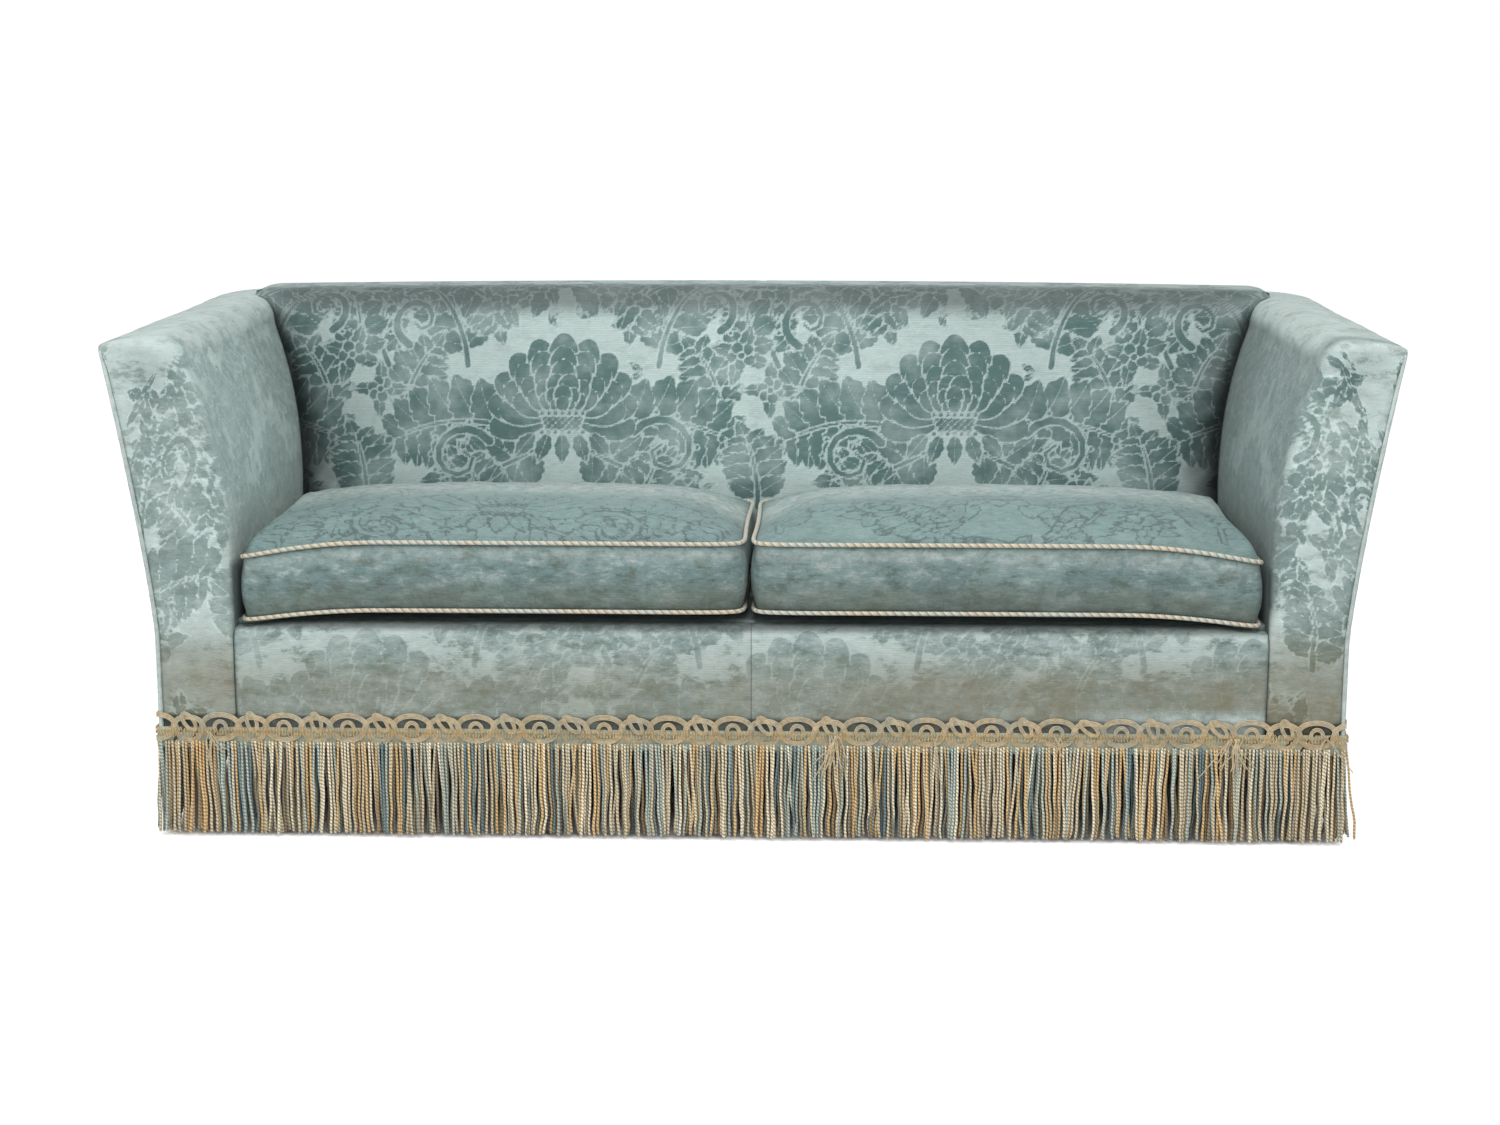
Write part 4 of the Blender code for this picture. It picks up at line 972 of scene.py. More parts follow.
    def draw(self) -> None:
        """Draw the whole repeat, what lies behind first."""
        for index in range(40):
            u, v = (index * 0.27183) % 0.735, (index * 0.16631) % 0.610
            self.leaf(u, v, 37 * index, 0.036, 0.018, 0.1, 3)
            self.leaf(u, v, 37 * index + 70, 0.032, 0.016, -0.1, 3)
        for way in (-1, 1):
            self.frond(way * 0.180, 0.010, 90 - way * 8, 0.205, -way * 50, 0.082, 6)
            self.frond(way * 0.300, -0.090, 90 + way * 6, 0.130, way * 34, 0.070, 5)
            self.frond(way * 0.060, -0.125, 90 - way * 66, 0.240, -way * 52, 0.104, 7)
            self.frond(way * 0.030, -0.130, 90 - way * 128, 0.190, way * 36, 0.088, 6)
            self.frond(way * 0.130, 0.110, 90 + way * 42, 0.110, -way * 60, 0.064, 4)
            self.frond(way * 0.070, 0.330, 90 - way * 70, 0.150, way * 60, 0.066, 5)
            self.frond(way * 0.215, 0.190, 90 + way * 118, 0.130, way * 48, 0.070, 5)
            self.frond(way * 0.330, 0.010, 90 - way * 24, 0.120, way * 50, 0.066, 4)
            self.leaf(way * 0.105, 0.075, 90 - way * 14, 0.120, 0.052, -way * 0.22, 7)
            self.leaf(way * 0.060, 0.100, 90 + way * 22, 0.105, 0.046, way * 0.20, 6)
        self.frond(0.3675, -0.260, 90, 0.120, 20, 0.074, 5)
        self.scroll(-0.190, -0.165, 30, 0.062, 1)
        self.scroll(0.192, -0.150, 150, 0.068, -1)
        self.scroll(-0.275, 0.095, 250, 0.050, -1)
        self.scroll(0.280, 0.120, 290, 0.046, 1)
        self.fan(0.0, -0.085, ((11, 100, 0.158, 0.062), (9, 84, 0.134, 0.056),
                               (7, 70, 0.108, 0.050), (6, 54, 0.083, 0.042),
                               (5, 44, 0.060, 0.034), (3, 26, 0.038, 0.028)))
        self.basket(0.0, -0.098, 0.074, 0.028)
        for index in range(5):
            self.leaf(-0.052 + 0.026 * index, -0.118, 230 + 20 * index, 0.062, 0.034, 0.0, 4)
        flowers = ((-0.115, 0.135, 0.028, 6), (0.122, 0.146, 0.026, 5), (-0.030, 0.175, 0.026, 5),
                   (0.052, 0.205, 0.024, 6), (-0.330, 0.185, 0.030, 6), (0.335, 0.030, 0.028, 5),
                   (-0.250, 0.245, 0.026, 5), (0.210, 0.262, 0.027, 6), (-0.120, 0.262, 0.024, 5),
                   (0.010, 0.290, 0.026, 6), (-0.345, -0.035, 0.026, 6), (0.240, -0.255, 0.025, 5),
                   (-0.110, -0.262, 0.026, 6), (0.105, -0.255, 0.024, 5), (0.340, 0.240, 0.028, 6))
        for u, v, size, petals in flowers:
            for index in range(4):
                self.leaf(u, v, 35 + 90 * index + 900 * u, size * 2.3, size * 1.15, 0.12, 4)
            self.flower(u, v, size, petals, 90 + 300 * u)

    def sample(self, u: np.ndarray, v: np.ndarray) -> np.ndarray:
        """Give the distances at places on the cloth, the repeat's wrap counted.

        Args:
            u: Places across the cloth, from the middle of the fan.
            v: Places along the cloth, from the middle of the fan.

        Returns:
            The figure's and the lines' distances, two columns.
        """
        rows, columns = self.figure.shape
        column = u / self.width * columns - 0.5
        row = v / self.height * rows - 0.5
        left, low = np.floor(column).astype(int), np.floor(row).astype(int)
        right_share, top_share = column - left, row - low
        values = []
        for drawing in (self.figure, self.line):
            a = drawing[low % rows, left % columns]
            b = drawing[low % rows, (left + 1) % columns]
            c = drawing[(low + 1) % rows, left % columns]
            d = drawing[(low + 1) % rows, (left + 1) % columns]
            near = a + (b - a) * right_share
            far = c + (d - c) * right_share
            values.append(near + (far - near) * top_share)
        return np.stack(values, -1)


def srgb(red: int, green: int, blue: int) -> tuple:
    """Give a screen colour as a linear one with its alpha.

    Args:
        red: Its red, 0 to 255.
        green: Its green.
        blue: Its blue.

    Returns:
        Four numbers.
    """
    linear = [((c / 255 + 0.055) / 1.055) ** 2.4 if c > 10 else c / 3295
              for c in (red, green, blue)]
    return (*linear, 1.0)


WHITE = (1.0, 1.0, 1.0, 1.0)


class Wire:
    """An output of a node, which sums can be written with.

    Args:
        graph: The graph that holds the node.
        socket: The output.
    """

    def __init__(self, graph: "Graph", socket: bpy.types.NodeSocket) -> None:
        """Keep the graph and the output."""
        self.graph, self.socket = graph, socket

    def __getitem__(self, name: str) -> "Wire":
        """Give another output of the same node."""
        return Wire(self.graph, self.socket.node.outputs[name])

    def __add__(self, other: object) -> "Wire":
        """Give the sum."""
        return self.graph.math("ADD", self, other)

    def __sub__(self, other: object) -> "Wire":
        """Give what is left of it."""
        return self.graph.math("SUBTRACT", self, other)

    def __rsub__(self, other: object) -> "Wire":
        """Give what it leaves of a number."""
        return self.graph.math("SUBTRACT", other, self)

    def __mul__(self, other: object) -> "Wire":
        """Give the product."""
        return self.graph.math("MULTIPLY", self, other)

    def __truediv__(self, other: object) -> "Wire":
        """Give the quotient."""
        return self.graph.math("DIVIDE", self, other)

    def __abs__(self) -> "Wire":
        """Give its size without its sign."""
        return self.graph.math("ABSOLUTE", self)


class Graph:
    """A short way to add and join the nodes of one tree.

    Args:
        tree: The node tree that it adds to.
    """

    def __init__(self, tree: bpy.types.NodeTree) -> None:
        """Keep the tree."""
        self.tree = tree

    def feed(self, socket: bpy.types.NodeSocket, value: object) -> None:
        """Link an input to a wire, or set the input's own value.

        Args:
            socket: The input.
            value: The wire or the value.
        """
        if isinstance(value, Wire):
            self.tree.links.new(value.socket, socket)
        else:
            socket.default_value = value

    def node(self, kind: str, inputs: dict | None = None, **settings: object) -> bpy.types.Node:
        """Add a node, with its settings and its inputs' values or wires.

        Args:
            kind: The node's type.
            inputs: Values or wires by the input's name or number.
            settings: Properties of the node itself.

        Returns:
            The new node.
        """
        node = self.tree.nodes.new(kind)
        for name, value in settings.items():
            setattr(node, name, value)
        for name, value in (inputs or {}).items():
            self.feed(node.inputs[name], value)
        return node

    def add(self, kind: str, inputs: dict | None = None, pick: int | str = 0,
            **settings: object) -> Wire:
        """Add a node and give the output of that name or number."""
        return Wire(self, self.node(kind, inputs, **settings).outputs[pick])

    def math(self, how: str, a: object, b: object = 0.0, clamp: bool = False) -> Wire:
        """Give the result of one sum."""
        return self.add("ShaderNodeMath", {0: a, 1: b}, operation=how, use_clamp=clamp)

    def vector(self, how: str, a: object, b: object) -> Wire:
        """Give the result of one sum on vectors, or of a vector and its scale."""
        second = "Scale" if how == "SCALE" else 1
        return self.add("ShaderNodeVectorMath", {0: a, second: b}, operation=how)

    def ramp(self, value: object, low: object, high: object, start: float = 0.0,
             end: float = 1.0) -> Wire:
        """Give a value eased from start to end as it goes from low to high."""
        return self.add("ShaderNodeMapRange", {0: value, 1: low, 2: high, 3: start, 4: end},
                        interpolation_type="SMOOTHSTEP")

    def mix(self, share: object, a: object, b: object, how: str = "MIX") -> Wire:
        """Give a mix of two colours."""
        return self.add("ShaderNodeMix", {0: share, 6: a, 7: b}, 2, data_type="RGBA",
                        blend_type=how)

    def tinted(self, colour: object, light: Wire) -> Wire:
        """Give a colour made lighter or darker."""
        tint = self.add("ShaderNodeCombineColor", {0: light, 1: light, 2: light})
        return self.mix(1.0, colour, tint, "MULTIPLY")

    def stretched(self, place: Wire, scale: tuple, turn: tuple = (0, 0, 0)) -> Wire:
        """Give a place turned and then scaled along each axis."""
        return self.add("ShaderNodeMapping", {"Vector": place, "Scale": scale, "Rotation": turn})

    def noise(self, place: Wire, scale: float | tuple, detail: float = 2.0,
              rough: float = 0.5) -> Wire:
        """Give soft noise over a place.

        Args:
            place: The place.
            scale: How fine the noise is, for all three axes or for each.
            detail: How many finer layers it has.
            rough: How strong these are.

        Returns:
            The noise, about 0 to 1.
        """
        if isinstance(scale, tuple):
            place, scale = self.stretched(place, scale), 1.0
        return self.add("ShaderNodeTexNoise", {"Vector": place, "Scale": scale, "Detail": detail,
                                               "Roughness": rough}, "Fac")

    def split(self, vector: Wire) -> list:
        """Give a vector's three parts."""
        parts = self.add("ShaderNodeSeparateXYZ", {0: vector})
        return [parts[axis] for axis in "XYZ"]

    def place(self) -> Wire:
        """Give the place in the object's own coordinates."""
        return self.add("ShaderNodeTexCoord", pick="Object")

    def named(self, name: str) -> list:
        """Give the three parts of a mesh's own attribute."""
        return self.split(self.add("ShaderNodeAttribute", pick="Vector", attribute_name=name,
                                   attribute_type="GEOMETRY"))

    def seen(self) -> Wire:
        """Give 1 for what the camera sees, straight or mirrored or through glass.

        Returns:
            The share.
        """
        rays = self.add("ShaderNodeLightPath")
        mirrored = rays["Is Glossy Ray"] + rays["Is Transmission Ray"]
        return self.math("MAXIMUM", rays["Is Camera Ray"], mirrored)

    def group(self, name: str, build: Callable[[str], bpy.types.NodeTree], inputs: dict) -> Wire:
        """Place a shared node group, built at its first use."""
        tree = bpy.data.node_groups.get(name) or build(name)
        return self.add("ShaderNodeGroup", inputs, node_tree=tree)

    def paint(self, surface: bpy.types.Node, colour: Wire, rough: Wire, height: Wire,
              relief: tuple, sheen: float = 0.0) -> None:
        """Feed a surface its colour, roughness, relief and sheen.

        Args:
            surface: The surface shader.
            colour: Its colour.
            rough: Its roughness.
            height: The height of its relief.
            relief: How many metres a height of 1 is, and the relief's strength.
            sheen: How much light its nap catches at a low angle.
        """
        depth, strength = relief
        normal = self.add("ShaderNodeBump", {"Height": height, "Distance": depth,
                                             "Strength": strength})
        for name, value in (("Base Color", colour), ("Roughness", rough), ("Normal", normal),
                            ("Sheen Weight", sheen)):
            self.feed(surface.inputs[name], value)


def new_socket(tree: bpy.types.NodeTree, label: str, way: str,
               value: object = 0.0) -> bpy.types.NodeTreeInterfaceSocket:
    """Add a socket of the kind that fits its value to a node group.

    Args:
        tree: The node group.
        label: The socket's name.
        way: INPUT or OUTPUT.
        value: Its value, or None for a place.

    Returns:
        The new socket.
    """
    kind = {float: "Float", int: "Int", type(None): "Vector"}.get(type(value), "Object")
    socket = tree.interface.new_socket(label, in_out=way, socket_type=f"NodeSocket{kind}")
    if isinstance(value, (int, float)):
        socket.default_value = value
    return socket


def new_effect(name: str, inputs: dict, outputs: tuple) -> tuple:
    """Start a node group that several finishes use.

    Args:
        name: The group's name.
        inputs: Its inputs' values by name, None for a place.
        outputs: Its outputs' names.

    Returns:
        Its graph and its inputs' wires.
    """
    tree = bpy.data.node_groups.new(name, "ShaderNodeTree")
    for label, value in inputs.items():
        new_socket(tree, label, "INPUT", value)
    for label in outputs:
        new_socket(tree, label, "OUTPUT")
    graph = Graph(tree)
    return graph, graph.add("NodeGroupInput")


def pile_effect(name: str) -> bpy.types.NodeTree:
    """Build the cut pile: masks of pile and outline from the design's distances.

    Args:
        name: The group's name.

    Returns:
        The node group.
    """
    graph, entry = new_effect(name, {"Figure": 0.0, "Line": 0.0, "Place": None,
                                     "Outline": 0.0011, "Softness": 0.0015},
                              ("Pile", "Outline", "Edge"))
    outline, soft = entry["Outline"], entry["Softness"]
    ragged = (graph.noise(entry["Place"], 420.0, 2.0, 0.6) - 0.5) * 0.0034
    figure = entry["Figure"] + ragged
    inside = graph.ramp(figure, soft, soft * -1.0)
    near = graph.ramp(entry["Line"] + ragged, outline, outline + soft, 1.0, 0.0)
    edge = graph.ramp(abs(figure), 0.0003, 0.0014, 1.0, 0.0)
    graph.node("NodeGroupOutput", {"Pile": inside * (1.0 - near * 0.75), "Outline": near,
                                   "Edge": graph.math("MAXIMUM", edge, near)})
    return graph.tree


def nap_effect(name: str) -> bpy.types.NodeTree:
    """Build the velvet's nap: broad brushed patches, fine grain and woven ribs.

    Args:
        name: The group's name.

    Returns:
        The node group.
    """
    graph, entry = new_effect(name, {"Place": None, "Along": 0.0, "Brushed": 0.3,
                                     "Rib Pitch": 0.0042}, ("Tone", "Grain", "Ribs"))
    place = entry["Place"]
    broad = graph.noise(place, 5.5, 3.0, 0.6)
    slanted = graph.stretched(place, (9.0, 9.0, 42.0), (0.5, 0.9, 0.3))
    streaks = graph.noise(slanted, 1.0, 4.0, 0.65)
    mid = graph.noise(place, 46.0, 3.0, 0.6)
    flecks = graph.noise(place, (260.0, 260.0, 900.0), 3.0, 0.7)
    slubs = graph.noise(place, (55.0, 55.0, 430.0), 3.0, 0.75)
    wave = graph.math("SINE", entry["Along"] / entry["Rib Pitch"] * (2 * math.pi))
    tone = broad * 0.40 + streaks * 0.35 + mid * 0.25
    graph.node("NodeGroupOutput", {"Tone": (tone - 0.5) * entry["Brushed"],
                                   "Grain": slubs * 0.55 + flecks * 0.45,
                                   "Ribs": wave * 0.5 + 0.5})
    return graph.tree


@dataclass(frozen=True)
class Finish:
    """A finish of the sofa: its name and the name of the record's slot that it is meant for."""

    name: str
    slot: str

    def shade(self, graph: Graph, surface: bpy.types.Node) -> None:
        """Feed the finish's colour, roughness and normal to the surface shader."""
        raise NotImplementedError

    def material(self) -> bpy.types.Material:
        """Give the finish's material, built at its first use.

        Returns:
            The material.
        """
        material = bpy.data.materials.get(self.name)
        if material is None:
            material = bpy.data.materials.new(self.name)
            material.use_nodes = True
            tree = material.node_tree
            self.shade(Graph(tree), tree.nodes["Principled BSDF"])
        return material

    def dress(self, obj: bpy.types.Object) -> bpy.types.Object:
        """Give a piece this finish, in all its slots.

        Args:
            obj: The piece.

        Returns:
            The piece.
        """
        obj.data.materials.clear()
        obj.data.materials.append(self.material())
        return obj

    def dress_node(self, name: str) -> None:
        """Give a node of the frame this finish without touching its mesh."""
        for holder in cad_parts[name].material_slots:
            holder.material = self.material()


@dataclass(frozen=True)
class VelvetFinish(Finish):
    """The teal cut velvet, with its design, nap, soiling and wear, and with painted light and
    shade.

    Args:
        pile: Colour of the cut pile.
        ground: Colour of the woven ground.
        contrast: How far the pile stands out from the ground.
        emboss: How far the outlines are pressed in and darkened.
        brushed: How uneven the nap's tone is.
        ribs: How far the ground's woven ribs show.
        sheen: How much light the nap catches at a low angle.
        grain: How strong the fine flecks of the weave are.
        seam: How dark the border's sewn seam is.
        soil: Colour of the soiling.
        worn: Colour of the pale patches, of the wear and of the painted pale sheen.
        dull: Colour of the dull patches.
    """

    pile: tuple = srgb(86, 113, 111)
    ground: tuple = srgb(181, 198, 195)
    contrast: float = 1.0
    emboss: float = 0.0
    brushed: float = 0.5
    ribs: float = 0.10
    sheen: float = 0.25
    grain: float = 0.9
    seam: float = 0.0
    soil: tuple = srgb(124, 119, 96)
    worn: tuple = srgb(206, 214, 209)
    dull: tuple = srgb(98, 114, 104)

    def shade(self, graph: Graph, surface: bpy.types.Node) -> None:
        """Build the velvet from its design, nap, soiling and wear, with painted light and shade
        laid over it.

        Args:
            graph: The material's graph.
            surface: Its surface shader.
        """
        place = graph.place()
        cloth = graph.split(graph.add("ShaderNodeUVMap", uv_map="cloth"))
        figure, line, _ = graph.named("pattern")
        contrast, soil, wear_and_sheen = graph.named("marks")
        lie, contour, mottle = graph.named("lie")
        pile = graph.group("cut_pile", pile_effect,
                           {"Figure": figure, "Line": line, "Place": place})
        nap = graph.group("velvet_nap", nap_effect,
                          {"Place": place, "Along": cloth[1], "Brushed": self.brushed})
        patch = graph.ramp(graph.noise(place, 11.0, 3.0, 0.6), 0.30, 0.62, 0.55, 1.0)
        share = pile["Pile"] * (contrast * self.contrast * patch)
        pressed = pile["Outline"] * self.emboss
        light = nap["Tone"] + (nap["Grain"] - 0.5) * self.grain + 1.0
        light = light - nap["Ribs"] * self.ribs * (1.0 - share)
        # painted light and shade: each piece's stored factor darkens its corners, creases and what
        # lies under or behind other parts, and lightens what faces the light; the design's edges
        # are painted lighter on some pieces, partly as a highlight on the pile's rim, and darker on
        # the cushions' tops
        light = light * (1.0 - pressed) * lie * (pile["Edge"] * contour + 1.0)
        if self.seam:
            aside = abs(graph.split(place)[0] - FORM.border_seam)
            light = light * graph.ramp(aside, 0.0005, 0.0014, 1 - self.seam, 1.0)
        cloud = graph.noise(place, (24.0, 24.0, 52.0), 8.0, 0.72)
        cloudy = graph.ramp(graph.noise(place, 9.0, 5.0, 0.7), 0.25, 0.75, 0.45, 1.0)
        patchy = graph.ramp(graph.noise(place, 60.0, 4.0, 0.7), 0.35, 0.65, 0.35, 1.0)
        colour = graph.mix(share, self.ground, self.pile)
        colour = graph.mix(graph.ramp(cloud, 0.50, 0.36) * mottle * 0.85, colour, self.dull)
        colour = graph.mix(graph.ramp(cloud, 0.50, 0.66) * mottle * 0.45, colour, self.worn)
        colour = graph.tinted(graph.mix(soil * cloudy, colour, self.soil), light)
        # pale mix: partly wear and partly a painted pale sheen, as each piece's marks place it
        colour = graph.mix(graph.math("MULTIPLY", wear_and_sheen, patchy, clamp=True), colour, self.worn)
        graph.paint(surface, colour, graph.ramp(share, 0.0, 1.0, 0.72, 0.86),
                    nap["Grain"] * 0.35 + share - pressed * 1.5, (0.0009, 0.7), self.sheen)
        for name, value in (("Specular IOR Level", 0.25), ("Sheen Roughness", 0.38),
                            ("Sheen Tint", srgb(205, 226, 224))):
            surface.inputs[name].default_value = value


@dataclass(frozen=True)
class RopeFinish(Finish):
    """Twisted cord whose plies differ in colour, with fine silk yarns on each."""

    cream: tuple = srgb(228, 220, 200)
    ivory: tuple = srgb(212, 206, 188)
    tan: tuple = srgb(184, 164, 136)
    teal: tuple = srgb(154, 174, 172)

    def shade(self, graph: Graph, surface: bpy.types.Node) -> None:
        """Colour each ply and lay fine yarns round it, their grooves painted darker than their
        ridges.

        Args:
            graph: The material's graph.
            surface: Its surface shader.
        """
        place = graph.place()
        ply, along, _ = graph.named("ply")
        turn = graph.ramp(graph.noise(place, (7, 7, 7)), 0.4, 0.6)
        colour = graph.mix(turn, self.tan, self.teal)
        colour = graph.mix(graph.math("LESS_THAN", ply, 0.5), colour, self.cream)
        colour = graph.mix(graph.math("GREATER_THAN", ply, 1.5), colour, self.ivory)
        yarn = graph.noise(place, (900, 900, 900))
        height = graph.math("SINE", along * 9000.0) * 0.25 + yarn
        # painted shade: the grooves between the fine yarns darker and their ridges lighter,
        # following the relief's height
        colour = graph.tinted(colour, graph.ramp(height, 0.1, 0.9, 0.80, 1.05))
        graph.paint(surface, colour, graph.ramp(yarn, 0, 1, 0.55, 0.75), height, (0.0003, 0.6), 0.2)


@dataclass(frozen=True)
class FloorFinish(Finish):
    """The pale studio floor, which the camera sees as white but for the shadow, and which is
    painted darker under the sofa, where its glow is left off.
    """

    lift: float = 0.62

    def paint(self, obj: bpy.types.Object) -> None:
        """Give the floor its plain pale surface.

        Args:
            obj: The floor.
        """
        material = bpy.data.materials.new(self.name)
        material.use_nodes = True
        material.node_tree.nodes.clear()
        graph = Graph(material.node_tree)
        place = graph.place()
        colour = graph.mix(graph.noise(place, 30.0), (0.80, 0.80, 0.80, 1), (0.83, 0.83, 0.83, 1))
        # painted shade under the sofa: the glow is left off within its footprint
        across, along, _ = graph.split(place)
        open_floor = graph.math("MAXIMUM", graph.ramp(abs(across), 0.970, 1.005),
                                graph.ramp(abs(along), 0.405, 0.450))
        matt = graph.add("ShaderNodeBsdfDiffuse", {"Color": colour})
        glow = graph.add("ShaderNodeEmission",
                         {"Color": WHITE, "Strength": graph.seen() * open_floor * self.lift})
        both = graph.add("ShaderNodeAddShader", {0: matt, 1: glow})
        graph.node("ShaderNodeOutputMaterial", {"Surface": both})
        obj.data.materials.append(material)


def all_values(items: Sequence, field_name: str, kind: type, width: int) -> np.ndarray:
    """Read one property of all a mesh's points or corners.

    Args:
        items: The points or corners.
        field_name: The property's name.
        kind: Its numbers' type.
        width: How many numbers each has.

    Returns:
        The values, one a row.
    """
    values = np.empty(width * len(items), dtype=kind)
    items.foreach_get(field_name, values)
    return values.reshape(-1, width)


def mesh_places(obj: bpy.types.Object) -> np.ndarray:
    """Give a mesh's points, one a row."""
    return all_values(obj.data.vertices, "co", np.float32, 3).astype(float)


def store_marks(obj: bpy.types.Object, name: str, *parts: np.ndarray | float) -> None:
    """Store three values for each point of a piece as one of its attributes.

    Args:
        obj: The piece.
        name: The attribute's name.
        parts: The values, each for all or for each point.
    """
    count = len(obj.data.vertices)
    store_vectors(obj, name, np.stack([np.broadcast_to(part, (count,)) for part in parts], 1))


def declare_stretched(obj: bpy.types.Object, flat: tuple) -> None:
    """Work out a stretched sheet's area, held just under its flat area; the result is not used.

    Args:
        obj: The sheet.
        flat: Its flat sides.
    """
    area = sum(face.area for face in obj.data.polygons) / 2
    area = min(area, 0.999 * flat[0] * flat[1])


@dataclass
class VelvetWork:
    """Dresses the upholstered pieces in their velvet, each with its own marks.

    Each piece's marks are three: how strong the design is, how soiled the cloth is, and how
    far it is paled, partly by wear and partly by a painted pale sheen. Its lie is three too:
    the painted light and shade that multiply its colour, how far the design's edges stand out
    lighter or darker, the lighter edges partly a painted highlight on the pile's rim, and how
    mottled it is.

    Args:
        design: The velvet's repeat.
        back: Finish of the inside back.
        arm: Finish of the arms and of the plain panels.
        border: Finish of the front border.
        cushion: Finish of the cushions.
    """

    design: Damask
    back: VelvetFinish = VelvetFinish("velvet_back", "velvet")
    arm: VelvetFinish = VelvetFinish("velvet_arm", "velvet", contrast=0.85, brushed=1.3,
                                     sheen=0.3, soil=srgb(132, 124, 98))
    border: VelvetFinish = VelvetFinish("velvet_border", "velvet", contrast=0.8, emboss=0.10,
                                        grain=1.1, seam=0.55)
    cushion: VelvetFinish = VelvetFinish(
        "velvet_cushion", "cushion_velvet", pile=srgb(96, 126, 128), ground=srgb(133, 158, 156),
        contrast=0.55, emboss=0.28, brushed=0.8, ribs=0.05, grain=1.4,
        soil=srgb(104, 114, 102))

    def cover(self, obj: bpy.types.Object, finish: VelvetFinish, origin: tuple, marks: tuple,
              lie: tuple) -> None:
        """Lay the design on a piece, store its marks and its lie, and give it its finish.

        Args:
            obj: The piece, with its cloth coordinates stored.
            finish: Its finish.
            origin: Where the middle of the fan lies on the cloth.
            marks: How strong the design is, how soiled the cloth is, and how far wear and a painted
                pale sheen pale it.
            lie: The painted light and shade, how far edges stand out lighter or darker, and the
                mottling.
        """
        store_marks(obj, "marks", *marks)
        store_marks(obj, "lie", *lie)
        flat = all_values(obj.data.uv_layers["cloth"].data, "uv", np.float32, 2).astype(float)
        values = np.zeros((len(flat), 3), dtype=np.float32)
        values[:, :2] = self.design.sample(flat[:, 0] - origin[0], flat[:, 1] - origin[1])
        layer = obj.data.attributes.new("pattern", "FLOAT_VECTOR", "CORNER")
        layer.data.foreach_set("vector", values.ravel())
        finish.dress(obj)

    def dress_back(self, obj: bpy.types.Object) -> None:
        """Dress the inside back, plainer over its top, with painted shade over its top strip, in
        its corners by the arms and low down by the seat, and painted light across its middle.

        Args:
            obj: The inside back.
        """
        places = mesh_places(obj)
        x, y, z = places.T
        high = smoothstep((z - 0.80) / 0.04)
        # painted shade in the corners by the arms: a dark band beside each arm that fades outwards
        # and is weaker over the top
        apart = np.maximum(FORM.arm_limit_x(z) - np.abs(x), 0)
        wide = 0.030 + 0.034 * smoothstep((0.80 - z) / 0.25)
        wide = wide * (1 + 0.35 * soft_noise(places, 0.045, 8.0))
        deep = 0.66 * np.exp(-(apart / wide) ** 2) + 0.28 * (1 - smoothstep(apart / 0.22))
        level = smoothstep((y - y[z > 0.85].min() - 0.045) / 0.04)
        corner = 1 - deep * (1 - 0.8 * high)
        # painted shade low down by the seat, and painted light across the middle
        seat = 1 - 0.25 * smoothstep((0.54 - z) / 0.06)
        middle = 1 + 0.15 * np.exp(-(x / 0.35) ** 2)
        # painted shade over the top strip, weaker towards its rear and beside the arms
        edge = (0.60 - 0.40 * level) * (1 - 0.6 * np.exp(-(apart / 0.05) ** 2))
        shade = corner * seat * middle * (1 - edge * high)
        self.cover(obj, self.back, (0.3675, 0.3705), (1 - 0.40 * high, 0.0, 0.0),
                   (shade, 0.10, 0.20))

    def dress_arm(self, obj: bpy.types.Object, side: Side) -> None:
        """Dress an arm: faint inside, pale on its front and top partly from wear and partly from a
        painted pale sheen, soiled at its foot, with painted light and shade laid over it.

        Args:
            obj: The arm's cover.
            side: Which end of the sofa it is at.
        """
        x, y, z = mesh_places(obj).T
        behind = y - FORM.front
        front = smoothstep((0.03 - behind) / 0.03)
        top = smoothstep((z - 0.80) / 0.03) * (1 - smoothstep((0.10 - behind) / 0.07))
        top = top + smoothstep((z - 0.824) / 0.008) * front
        patch = np.exp(-((np.abs(x) - 0.975) ** 2 + 0.5 * (z - 0.785) ** 2) / 0.045 ** 2)
        patch = patch * smoothstep((0.05 - behind) / 0.04)
        contrast = 0.50 + (0.55 + 0.10 * side.value) * front - 0.25 * top
        low = smoothstep((0.40 - z) / 0.13) * front
        inner = smoothstep((0.58 - z) / 0.1) * (1 - front) * 0.2
        soil = (0.86 + 0.12 * side.value) * low + inner
        # pale on its front and top: partly wear, partly a painted pale sheen
        wear_and_sheen = 0.20 * front * (1 - patch) * (1 - low) + 0.45 * top
        # painted shade towards the back corner, low on the inside by the seat, behind the gimp's
        # arches and in the gap beside the cushion
        corner = smoothstep((y + 0.12) / 0.30) * (1 - top)
        seat = smoothstep((0.60 - z) / 0.10) * (1 - front)
        gimp = smoothstep((0.214 - z) / 0.006)
        # painted highlight along the roll from the front to the inside
        roll_highlight = smoothstep((0.015 - np.abs(behind - 0.02)) / 0.02)
        gap = smoothstep((0.474 - z) / 0.02) * smoothstep((behind - 0.012) / 0.02)
        # painted shade over the right arm's inner face
        right_inner_shade = 0.38 * (1 - front) * (1 - top) * (side is Side.RIGHT)
        shade = (1.02 - 0.20 * corner - 0.14 * seat * (1 - corner) - right_inner_shade) * (1 - 0.74 * gimp)
        # painted light on the front face, which is darker towards the bottom
        shade = shade * (1 + 0.09 * front * (1 - low) - 0.06 * low) * (1 + 0.10 * roll_highlight)
        shade = shade * (1 - 0.75 * gap) * (1 - 0.24 * patch)
        self.cover(obj, self.arm, (0.52 + 0.05 * side.value, 0.42), (contrast, soil, wear_and_sheen),
                   (shade, 0.22 * front, 0.30 + 0.40 * np.maximum(front, top)))

